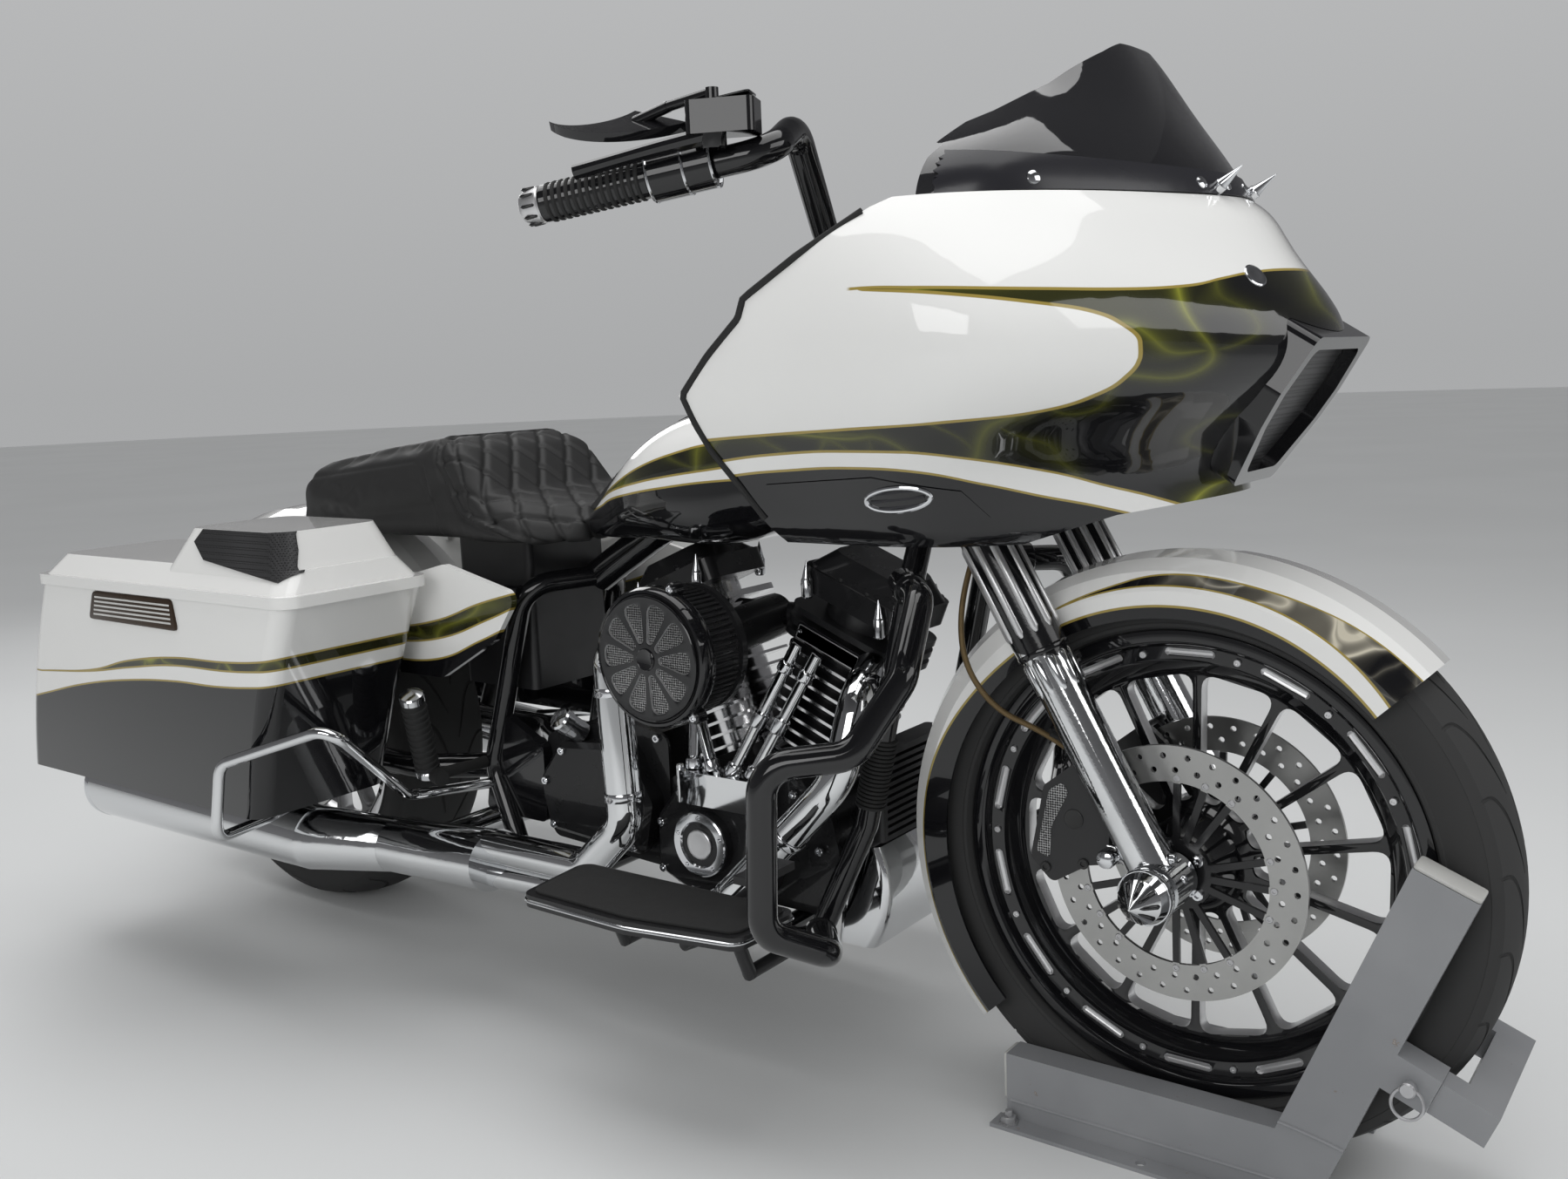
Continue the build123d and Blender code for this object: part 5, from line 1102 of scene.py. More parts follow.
def seat_leather():
    """Black leather: fine grain, sewn rows down each channel, and lighter where it is worn."""
    settings = bpy.context.scene.touring_seat
    material, tree, shader, where = new_material("seat_leather")
    grain = use_group(tree, "Surface Grain", Vector=where, Scale=850.0)
    pores = add_node(tree, "ShaderNodeTexVoronoi", Vector=where, Scale=620.0)
    values = {}
    for name in ("along", "across", "border", "side_seam"):
        node = tree.nodes.new("ShaderNodeAttribute")
        node.attribute_name = name
        values[name] = node.outputs["Fac"]
    pitch = settings.pitch
    slope = maths(tree, "MULTIPLY", values["along"], QUILT_SLOPE)
    rows, families = None, {}
    for sign in ("ADD", "SUBTRACT"):
        families[sign] = maths(tree, sign, slope, values["across"])
    for sign, other in (("ADD", "SUBTRACT"), ("SUBTRACT", "ADD")):
        line = maths(tree, "DIVIDE", families[sign], pitch)
        gap = maths(tree, "ABSOLUTE", maths(tree, "SUBTRACT", maths(tree, "FRACT", line), 0.5))
        gap = maths(tree, "MULTIPLY", maths(tree, "SUBTRACT", 0.5, gap), pitch)
        row = remap(tree, maths(tree, "ABSOLUTE", maths(tree, "SUBTRACT", gap, 0.0042)), 0.0011, 0.0005)
        dash = maths(tree, "FRACT", maths(tree, "DIVIDE", families[other], 0.0075))
        row = maths(tree, "MULTIPLY", row, remap(tree, dash, 0.30, 0.36))
        rows = row if rows is None else maths(tree, "MAXIMUM", rows, row)
    rows = maths(tree, "MULTIPLY", rows, remap(tree, values["border"], 0.008, 0.009))
    for gap, offset in ((values["border"], -0.0085), (values["border"], 0.0085), (values["side_seam"], 0.0)):
        row = remap(tree, maths(tree, "ABSOLUTE", maths(tree, "SUBTRACT", gap, offset)), 0.0011, 0.0005)
        rows = maths(tree, "MAXIMUM", rows, row)
    base = blend_colour(tree, grain.outputs["Patches"], (0.011, 0.011, 0.012), (0.017, 0.017, 0.018))
    tree.links.new(blend_colour(tree, rows, base, (0.05, 0.05, 0.052)), shader.inputs["Base Color"])
    tree.links.new(remap(tree, grain.outputs["Patches"], 0, 1, 0.36, 0.50), shader.inputs["Roughness"])
    shader.inputs["Sheen Weight"].default_value = 0.15
    height = maths(tree, "ADD", maths(tree, "MULTIPLY", pores.outputs["Distance"], 0.5),
                   maths(tree, "MULTIPLY", rows, 1.6))
    bump(tree, shader, height, 0.5, 0.0006)
    return material
# ---------------------------------------------------------------- wheels, tyres and brakes
SIDE_WALL = ((0.93, 0.06), (0.945, 0.12), (0.935, 0.15), (0.975, 0.32), (0.998, 0.52), (0.985, 0.70), (0.96, 0.80),
             (0.965, 0.815))   # shares of a tyre's half width and of its side wall's height
SHOULDER = 0.86                # share of the half width at which the tread begins
GROOVE = ((0.10, 0.0), (0.28, 0.075), (0.50, 0.12), (0.72, 0.135), (0.93, 0.13))     # shares across, sweep round
GROOVE_SWEEP = 0.693           # metres of sweep for one unit in the table
SPOKES = 14
BUTTON_RING = 0.113
AXLE = (0, 1, 0)


def on_ring(hub, radius, turn, across=0.0):
    """A place round a wheel's axle, by radius and angle, and sideways from its middle plane."""
    return hub + Vector((radius * math.cos(turn), across, radius * math.sin(turn)))


class TOURING_OT_tyres(bpy.types.Operator):
    """Tyres with stepped side walls and slanted tread grooves"""

    bl_idname = "touring.tyres"
    bl_label = "Tyres"

    def execute(self, context):
        wheels = context.scene.touring_wheels
        self.tyre("front_tyre", "front_wheel_set", FRONT_HUB, FRONT_RADIUS, half=0.060, bead=0.266, foot=0.279,
                  count=wheels.front_grooves)
        self.tyre("rear_tyre", "rear_wheel_set", REAR_HUB, REAR_RADIUS, half=0.090, bead=0.228, foot=0.241,
                  count=wheels.rear_grooves)
        return {"FINISHED"}

    def tyre(self, node, body, hub, radius, half, bead, foot, count):
        """One tyre: half its width, its bead and side wall foot as radii, and the grooves on each side."""
        rim_half = half * 0.74
        drop = 0.2 * half
        tall = radius - drop - foot
        wall = [(-half * wide, foot + tall * high) for wide, high in SIDE_WALL]
        crown = [(-half * share, radius - drop * (share / SHOULDER) ** 2) for share in (0.72, 0.55, 0.36, 0.18)]
        left = [(-rim_half - 0.005, foot), *wall, (-half * SHOULDER, radius - drop), *crown]
        profile = left + [(0, radius)] + [(-y, r) for y, r in reversed(left)]
        profile += [(rim_half - 0.0012, foot), (rim_half - 0.0012, bead), (0.0012 - rim_half, bead),
                    (0.0012 - rim_half, foot)]
        tyre = spun(hub, AXLE, profile, 150, loop=True)
        grooves = []
        for sign, lead in ((1, 0.0), (-1, math.pi / count)):
            path = [on_ring(hub, radius - drop * (share / SHOULDER) ** 2 + 0.0004, turn * GROOVE_SWEEP / radius,
                            sign * half * share) for share, turn in GROOVE]
            groove = pipe(path, 0.0026 * half / 0.06, sides=1, taper=(0.5, 1, 1, 1, 0.9))
            grooves += copies(groove, around(hub, AXLE, count, lead))
        carve(tyre, grooves)
        done(tyre, node + "_tread", body, "tyre_rubber", smooth=30)
        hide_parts(node)


class TOURING_OT_wheels(bpy.types.Operator):
    """Cut wheels: black faces, polished window walls and rim slots"""

    bl_idname = "touring.wheels"
    bl_label = "Wheels"

    def execute(self, context):
        self.wheel("front_wheel", "front_wheel_set", FRONT_HUB, rim_half=0.0444, flange=0.277, bead=0.266, reach=0.217,
                   web=0.010, hub_radius=0.044, hub_half=0.0725, spoke=0.010)
        self.wheel("rear_wheel", "rear_wheel_set", REAR_HUB, rim_half=0.0666, flange=0.239, bead=0.228, reach=0.180,
                   web=0.013, hub_radius=0.052, hub_half=0.092, spoke=0.012)
        return {"FINISHED"}

    def wheel(self, node, body, hub, rim_half, flange, bead, reach, web, hub_radius, hub_half, spoke):
        """One wheel: radii of its flange, bead, windows' reach and hub, and half widths of rim, web and hub."""
        half_side = [(rim_half - 0.0008, bead - 0.0002), (rim_half - 0.0008, flange - 0.0006),
                     (rim_half + 0.0004, flange),
                     (rim_half + 0.0036, flange - 0.0004), (rim_half + 0.0038, bead - 0.002),
                     (rim_half - 0.001, bead - 0.006),
                     (rim_half - 0.006, bead - 0.008), (rim_half - 0.009, bead - 0.0095),
                     (rim_half - 0.0115, bead - 0.025),
                     (rim_half - 0.017, bead - 0.029), (web + 0.010, reach + 0.010), (web + 0.0015, reach + 0.005),
                     (web, reach + 0.001), (web, hub_radius + 0.022), (web + 0.006, hub_radius + 0.010),
                     (hub_half - 0.012, hub_radius), (hub_half - 0.001, hub_radius), (hub_half, hub_radius - 0.001),
                     (hub_half, 0.0128)]
        profile = half_side + [(-y, r) for y, r in reversed(half_side)]
        wheel = spun(hub, AXLE, profile, 168, loop=True)
        half_step = math.pi / SPOKES
        root = hub_radius + 0.024
        outer = reach * math.sin(half_step) - spoke * 0.42
        inner = max(root * math.sin(half_step) - spoke * 0.42, 0.003)
        corners = [(root, -inner), (reach, -outer), (reach, outer), (root, inner)]
        outline = [hub + Vector((x, -0.2, z)) for x, _, z in
                   rounded([(x, 0, z) for x, z in corners], 0.020, 6)]
        window = prism(outline, (0, 0.4, 0))
        tools = copies(window, around(hub, AXLE, SPOKES))
        slot_reach = bead - 0.0175
        for side in (-1, 1):
            slot = spun((0, 0, -0.030), (0, 0, 1), [(0, 0), (0.0012, 0.0030), (0.0042, 0.0052), (0.0558, 0.0052),
                                                   (0.0588, 0.0030), (0.060, 0)], 12)
            place = hub + Vector((slot_reach, side * (rim_half - 0.0088), 0))
            tools += copies(slot, [turn @ Matrix.Translation(place) for turn in
                                   around(hub, AXLE, SPOKES, half_step)])
        soften(carve(wheel, tools), 0.0011)
        done(wheel, node + "_cut", body, "gloss_black", smooth=30)
        wheel.data.materials.append(bpy.data.materials["polished_aluminium"])
        low = hub_radius + 0.02
        for face in wheel.data.polygons:
            offset = face.center - hub
            radius = math.hypot(offset.x, offset.z)
            on_wall = abs(face.normal.y) < 0.86 and low < radius < reach + 0.006 and abs(offset.y) < web + 0.0005
            band_y = rim_half - 0.009 - (bead - 0.0095 - radius) * 0.161
            in_slot = abs(radius - slot_reach) < 0.0053 and abs(offset.y) < band_y - 0.0004
            lip = radius > bead - 0.006 and abs(offset.y) > rim_half + 0.001
            face.material_index = 1 if on_wall or in_slot or lip and node == "rear_wheel" else 0
        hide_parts(node)
        places = []
        for side in (-1, 1):
            for turn in around((0, 0, 0), AXLE, SPOKES):
                places.append((hub + turn @ Vector((slot_reach, side * (rim_half - 0.0102), 0)), (0, side, 0)))
        bolts(node + "_rim_bolts", body, places, 0.0042, 0.0032, "polished_aluminium")


class TOURING_OT_brakes(bpy.types.Operator):
    """Disc buttons, carrier bolts and calliper dress"""

    bl_idname = "touring.brakes"
    bl_label = "Brakes"

    def execute(self, context):
        fives = [math.radians(72 * index) for index in range(5)]
        tri = [five + math.radians(fork) for five in fives for fork in (-17, 0, 17)]
        buttons, places = ([(on_ring(FRONT_HUB, radius, turn, side * across),
                             (0, side, 0)) for side in (-1, 1) for turn in turns]
                           for radius, across, turns in ((BUTTON_RING, 0.0772, tri),
                                                         (0.034, 0.0773, [five + math.radians(36) for five in fives])))
        bolts("front_disc_buttons", "front_wheel_set", buttons, 0.0042, 0.0016, "disc_steel")
        bolts("front_disc_bolts", "front_wheel_set", places, 0.0068, 0.005)
        buttons = [(on_ring(REAR_HUB, BUTTON_RING, turn, -0.0968), (0, -1, 0)) for turn in tri]
        bolts("rear_disc_buttons", "rear_wheel_set", buttons, 0.0042, 0.0016, "disc_steel")
        pads = []
        for side in (-1, 1):
            strip = [at(x, side * 104, z) for x, z in ((-143, 436), (-126, 447), (-118, 436), (-140, 392), (-143, 352),
                                                       (-160, 358))]
            pads.append(prism(rounded(strip, 0.005, 3), (0, side * 0.0012, 0), 0.0004, 1))
        done(pads, "calliper_mesh", "fork", "bright_mesh")
        places = [(at(x, side * 104, z), (0, side, 0)) for side in (-1, 1)
                  for x, z in ((-92, 476), (-78, 458), (-148, 340), (-100, 352))]
        bolts("calliper_bolts", "fork", places, 0.0065, 0.003, "satin_black")
        blank = spun(at(-112, -104, 404), (0, -1, 0), [(0, 0.012), (0.001, 0.012), (0.0014, 0.0112), (0.001, 0.0095),
                                                       (0.001, 0)], 28)
        done(blank, "calliper_disc", "fork", "satin_black")
        return {"FINISHED"}
# ---------------------------------------------------------------- bodywork dress
def patch(node, outline, along):
    """A skin that lies on a rigid piece: its surface inside an outline seen along a direction."""
    along = Vector(along).normalized()
    middle_point = sum((Vector(p) for p in outline), Vector()) / len(outline)
    planes = []
    for first, last in zip(outline, [*outline[1:], outline[0]]):
        run = Vector(last) - Vector(first)
        normal = run.cross(along).normalized()
        if normal.dot(middle_point - Vector(first)) > 0:
            normal = -normal
        planes.append((Vector(first), normal))
    piece = cut_from(node, planes)
    keep_faces(piece, lambda place, normal: normal.dot(along) < -0.15)
    return piece


class TOURING_OT_bag_dress(bpy.types.Operator):
    """Speaker grilles, latch covers and edge lines of the saddlebags"""

    bl_idname = "touring.bag_dress"
    bl_label = "Saddlebag dress"

    def execute(self, context):
        for side, name in ((-1, "right"), (1, "left")):
            body = "lid_" + name
            outline = [Vector((x * MM, side * 0.470, z * MM)) for x, z in
                       ((-462, 724), (-446, 742), (-262, 742), (-236, 690), (-250, 678), (-430, 700))]
            grille = patch("bag_lid_" + name, outline, (0, -side, 0))
            thicken(grille, 0.0022, 0.0004)
            done(grille, "speaker_grille_" + name, body, "speaker_cloth", smooth=30)
            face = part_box("saddlebag_" + name)[0 if side < 0 else 1].y
            corners = [(-718, 600), (-700, 644), (-485, 644), (-479, 598)]
            foot = [Vector((x * MM, face - side * 0.006, z * MM)) for x, z in corners]
            plate = prism(rounded(foot, 0.008, 3), (0, side * 0.009, 0), 0.0015, 2)
            done(plate, "latch_cover_" + name, "chassis", "bronze")
            bars = []
            for index in range(5):
                y, z = face + side * 0.0024, (607 + 6.6 * index) * MM
                left, right = (-702 + 2 * index) * MM, -0.490
                bars.append(prism([(left, y, z), (right, y, z), (right, y, z + 0.0028), (left, y, z + 0.0028)],
                                  (0, side * 0.0010, 0), 0.0003, 1))
            done(bars, "latch_bars_" + name, "chassis", "pale_mark")
            seam = pipe([(x * MM, face - side * y, 0.6454) for x, y in ((-868, 0.020), (-700, 0.0016), (-500, 0.0016),
                                                                       (-300, 0.0016), (-232, 0.014))], 0.0012, 3)
            done(seam, "bag_seal_" + name, "chassis", "black_rubber")
        return {"FINISHED"}


class TOURING_OT_fairing_dress(bpy.types.Operator):
    """Screen strip, vents, lamp rings, badges, dash gauges and trim of the fairing"""

    bl_idname = "touring.fairing_dress"
    bl_label = "Fairing dress"

    def execute(self, context):
        self.screen_strip()
        self.rear_trim()
        self.vents()
        self.nose()
        self.dash_gauges()
        return {"FINISHED"}

    def screen_strip(self):
        """The dark strip over the foot of the screen with its button screws and two points."""
        strip = cut_from("windshield", [((0.87, 0, 1.126), (0.10, 0, 1)), ((0, 0, 1.1009), (0, 0, -1))])
        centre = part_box("windshield")[0].x
        keep_faces(strip, lambda place, normal: normal.dot(Vector((place.x - centre, place.y * 0.8,
                                                                   0))) > 0 and place.x > centre + 0.02)
        thicken(strip, 0.0022, 0.0004)
        done(strip, "screen_strip", "chassis", "gloss_plastic")
        places = []
        for across in (-0.272, -0.075, -0.030, 0.030, 0.075, 0.272):
            place, normal = hit("windshield", (1.3, across, 1.112), (-1, 0, 0))
            places.append((place + normal * 0.0020, normal))
        button = spun((0, 0, 0), (0, 0, 1), [(0, 0.0075), (0.0016, 0.0070), (0.0028, 0.0045), (0.0031, 0)], 20)
        done(copies(button, placed(places)), "screen_buttons", "chassis")
        points = []
        for side in (-1, 1):
            start = Vector((1.2, side * 0.052, 1.1105))
            place, normal = hit("windshield", start, (-1, 0, 0))
            points.append((place + Vector((0.004, 0, -0.002)), (0.80, side * 0.12, 0.58)))
        cone = spun((0, 0, 0), (0, 0, 1), [(-0.004, 0.0075), (0.006, 0.0075), (0.0075, 0.0062), (0.034, 0.0006),
                                           (0.0345, 0)], 20)
        done(copies(cone, placed(points)), "screen_points", "chassis")

    def rear_trim(self):
        """Rubber edge down the fairing's open rear, on both sides, and a blank badge on the tank below it."""
        line = ((-212, 1088), (-280, 1049), (-344, 1010), (-349, 990), (-390, 953), (-431, 912), (-424, 880),
                (-416, 850),
                (-396, 808), (-380, 772))
        trims, badges = [], []
        for side in (-1, 1):
            path = []
            for x, z in line:
                place, normal = hit("fairing", at(x + 3.5, side * 600, z), (0, -side, 0))
                path.append(place + Vector((-0.0035, side * 0.0004, 0)))
            trims.append(pipe(path, 0.0040, 3, order=2))
            place, normal = hit("fuel_tank", at(-510, side * 500, 808), (0, -side, 0))
            badges.append(spun(place - normal * 0.0028, normal, [(0, 0.0290), (0.0042, 0.0290), (0.0050, 0.0278),
                                                                 (0.0046, 0.0205),
                                                               (0.0056, 0.0196), (0.0060, 0.0175), (0.0060, 0)], 48))
        done(trims, "fairing_trim", "chassis", "black_rubber")
        done(badges, "tank_badges", "chassis")

    def vents(self):
        """Oval-rimmed side vents on a gloss black skin: the vent's black inset, with painted shade where its recess is
        not cut.
        """
        for side, name in ((-1, "right"), (1, "left")):
            outline = [(x, side * 0.5, z) for x, z in ((0.482, 0.812), (0.527, 0.784), (0.605, 0.777), (0.722, 0.776),
                                                       (0.706, 0.806), (0.622, 0.822))]
            # painted shade: a gloss black skin laid on the fairing stands for the black inset and for the shade inside
            # a recess that is not cut
            inset_and_shade = patch("fairing", outline, (0, -side, 0))
            keep_faces(inset_and_shade, lambda place, normal: place.y * side > 0.22)
            thicken(inset_and_shade, 0.0008, 0.0003)
            done(inset_and_shade, "vent_recess_" + name, "chassis", "gloss_black")
            places = []
            for index in range(36):
                turn = math.tau * index / 36
                x, z = 0.642 + 0.036 * math.cos(turn), 0.7985 + 0.0125 * math.sin(turn) + 0.004 * math.cos(turn)
                place, normal = hit("fairing", (x, side * 0.6, z), (0, -side, 0))
                places.append(place + normal * 0.0012)
            rim = self.loop(places, 0.0030)
            done(rim, "vent_rim_" + name, "chassis")
            slat_list = []
            for level in (0.7905, 0.7985, 0.8065):
                row = []
                for x in (0.612, 0.642, 0.672):
                    place, normal = hit("fairing", (x, side * 0.6, level + (x - 0.642) * 0.11), (0, -side, 0))
                    row.append(place + normal * 0.0012)
                slat_list.append(pipe(row, 0.0018, 3))
            done(slat_list, "vent_slats_" + name, "chassis", "black_plastic")

    def loop(self, places, radius):
        """A closed round bead through a ring of places."""
        deselect()
        bpy.ops.curve.primitive_nurbs_circle_add(location=(0, 0, 0))
        curve = bpy.context.object
        curve.data.splines.clear()
        spline = curve.data.splines.new("NURBS")
        spline.points.add(len(places) - 1)
        for point, place in zip(spline.points, places):
            point.co = (*place, 1)
        spline.order_u = 3
        spline.use_cyclic_u = True
        spline.resolution_u = 3
        curve.data.bevel_depth = radius
        curve.data.bevel_resolution = 3
        bpy.ops.object.convert(target="MESH")
        return bpy.context.object

    def nose(self):
        """The lamp rings and two plain studs above the nose frame."""
        rings = []
        for side in (-1, 1):
            foot = Vector((0.878, side * 0.049, 0.876))
            rings.append(spun(foot, (1, 0, 0), [(-0.010, 0.0335), (-0.010, 0.0365), (0.002, 0.0375), (0.005, 0.0365),
                                                (0.006, 0.0345),
                                                (0.003, 0.0335)], 48, loop=True))
        done(rings, "lamp_rings", "chassis")
        badge = []
        for side in (-1, 1):
            place, normal = hit("fairing", (1.4, side * 0.100, 1.012), (-1, 0, 0))
            badge.append(spun(place - normal * 0.0005, normal, [(0, 0.0140), (0.0014, 0.0136), (0.0020, 0.0122),
                                                                (0.0016, 0.0104),
                                                               (0.0022, 0.006), (0.0024, 0)], 32))
        done(badge, "nose_studs", "chassis")

    def dash_gauges(self):
        """Plain gauges with rims, ticks and needles on the dash."""
        rims, dials, needles, ticks = [], [], [], []
        for y, z, radius in ((-62, 1040, 46), (62, 1040, 46), (-170, 1044, 26), (170, 1044, 26)):
            foot = at(-156, y, z - 3)
            axis = Vector((-24, 0, -3)).normalized()
            r = radius * MM
            rims.append(spun(foot, axis, [(-0.004, r - 0.0002), (-0.004, r + 0.0026), (0.001, r + 0.0030),
                                          (0.003, r + 0.001),
                                          (0.002, r - 0.002), (0.0004, r - 0.002)], 48, loop=True))
            dials.append(spun(foot, axis, [(0.0002, r - 0.002), (0.0008, r - 0.0024), (0.0008, 0)], 48))
            for index in range(11):
                turn = math.radians(-40 + 26 * index)
                across = Vector((0, math.cos(turn), math.sin(turn)))
                a, b = (foot + axis * 0.001 + across * r * share for share in (0.78, 0.90))
                rise = Vector((0, 0, 0.0004))
                ticks.append(prism([a + rise, b + rise, b - rise, a - rise], axis * 0.0005))
            turn = math.radians(205)
            across = Vector((0, math.cos(turn), math.sin(turn)))
            side_way = Vector((0, -math.sin(turn), math.cos(turn)))
            base = foot + axis * 0.0018
            needles.append(prism([base - across * r * 0.12 + side_way * 0.0010, base + across * r * 0.7,
                                  base - across * r * 0.12
                                  - side_way * 0.0010], axis * 0.0008))
        done(rims, "gauge_rims", "chassis")
        done(dials, "gauge_dials", "chassis", "satin_black")
        done(ticks, "gauge_ticks", "chassis", "pale_mark")
        done(needles, "gauge_needles", "chassis", "red_lens")


class TOURING_OT_tank_dress(bpy.types.Operator):
    """Quilted strap on the tank's tail and filler caps"""

    bl_idname = "touring.tank_dress"
    bl_label = "Tank dress"

    def execute(self, context):
        caps = []
        for side in (-1, 1):
            foot = at(-560, side * 58, 887)
            caps.append(spun(foot, (0, 0, 1), [(0, 0.0265), (0.002, 0.0275), (0.007, 0.0275), (0.010, 0.0255),
                                               (0.0118, 0.020),
                                               (0.0124, 0.0)], 48))
        done(caps, "fuel_caps", "chassis")
        bib = cut_from("fuel_tank", [((0.112, 0, 0), (1, 0, -0.35)), ((0, 0.078, 0), (0, 1, 0)),
                                     ((0, -0.078, 0), (0, -1, 0)),
                                     ((0, 0, 0.742), (0, 0, -1))])
        keep_faces(bib, lambda place, normal: normal.z > 0.15)
        thicken(bib, 0.007, 0.0005)
        modify(bib, "SUBSURF", levels=1, render_levels=1)
        mesh = bib.data
        for name in ("along", "across", "border", "side_seam"):
            mesh.attributes.new(name, "FLOAT", "POINT")
        for index, vertex in enumerate(mesh.vertices):
            x, y, z = vertex.co
            edge = min(0.078 - abs(y), 0.112 + 0.35 * z - 0.29 - x + 0.02)
            for name, value in (("along", -x), ("across", y), ("border", max(edge, 0.010)), ("side_seam", 1.0)):
                mesh.attributes[name].data[index].value = value
        done(bib, "tank_strap", "chassis", "seat_leather", smooth=60)
        return {"FINISHED"}
# ---------------------------------------------------------------- floor chock
def beside(place, y):
    """A place moved sideways."""
    return place + Vector((0, y, 0))


class TOURING_OT_chock(bpy.types.Operator):
    """Caps, weld beads, pin with its ring and floor bolts of the chock"""

    bl_idname = "touring.chock"
    bl_label = "Floor chock"

    def execute(self, context):
        lean = math.radians(22.5)
        up, back = Vector((math.sin(lean), 0, math.cos(lean))), Vector((-math.cos(lean), 0, math.sin(lean)))
        foot = at(176, 0, 28)
        caps, welds, studs = [], [], []
        for side in (-1, 1):
            y0, y1 = side * 0.0668, side * 0.1032
            top = foot + up * 0.386
            far = top + back * 0.070
            corners = [beside(top, y0), beside(top, y1), beside(far, y1), beside(far, y0)]
            caps.append(prism(rounded(corners, 0.005, 3), up * 0.0045, 0.0016, 2))
            low, high = at(-205, 0, 28), at(-205, 0, 88)
            corners = [beside(low, y0), beside(low, y1), beside(high, y1), beside(high, y0)]
            caps.append(prism(rounded(corners, 0.004, 3), (-0.0040, 0, 0), 0.0014, 2))
            for x in (-196, 146):
                studs.append((at(x, side * 117, 5), (0, 0, 1)))
            seam_y = side * 0.1042
            start = foot + back * 0.070 + up * 0.0455
            for seam in ([at(x, 0, 28) for x in (-200, -60, 60, 149)],
                         [start, start.lerp(foot + up * 0.064, 0.5), foot + up * 0.060]):
                welds.append(pipe([beside(place, seam_y) for place in seam], 0.0022, 2))
        done(caps, "chock_caps", "fork", "pale_cap")
        done(welds, "chock_welds", "fork", "chock_enamel")
        nut = spun((0, 0, 0), (0, 0, 1), [(-0.001, 0.0125), (0.0018, 0.0125), (0.0022, 0.0098), (0.0090, 0.0098),
                                          (0.0098, 0.0085),
                                          (0.0098, 0.0050), (0.016, 0.0050), (0.017, 0.0040), (0.017, 0)], 6)
        done(copies(nut, placed(studs)), "chock_floor_bolts", "fork", "disc_steel")
        self.pin(foot, up)
        return {"FINISHED"}

    def pin(self, foot, up):
        """The lynch pin and its pull ring on the near sleeve."""
        ahead = Vector((up.z, 0, -up.x))
        place = foot + up * 0.172 + ahead * 0.024
        pin = spun(place + Vector((0, -0.104, 0)), (0, -1, 0), [(-0.004, 0), (-0.004, 0.0060), (0.006, 0.0060),
                                                                (0.008, 0.0085), (0.014, 0.0085),
                                                              (0.016, 0.0070), (0.016, 0)], 24)
        deselect()
        bpy.ops.mesh.primitive_torus_add(major_radius=0.016, minor_radius=0.0018, major_segments=40, minor_segments=10,
                                         location=place + Vector((0, -0.117, -0.015)),
                                         rotation=(math.radians(75), 0, 0))
        ring = bpy.context.object
        bpy.ops.object.transform_apply(location=True, rotation=True, scale=True)
        done(join([pin, ring]), "chock_pin", "fork", "disc_steel")
# ---------------------------------------------------------------- controls, boards and rear
BAR_END = at(-576, -440, 1125)
BAR_BEND = at(-342, -336, 1164)


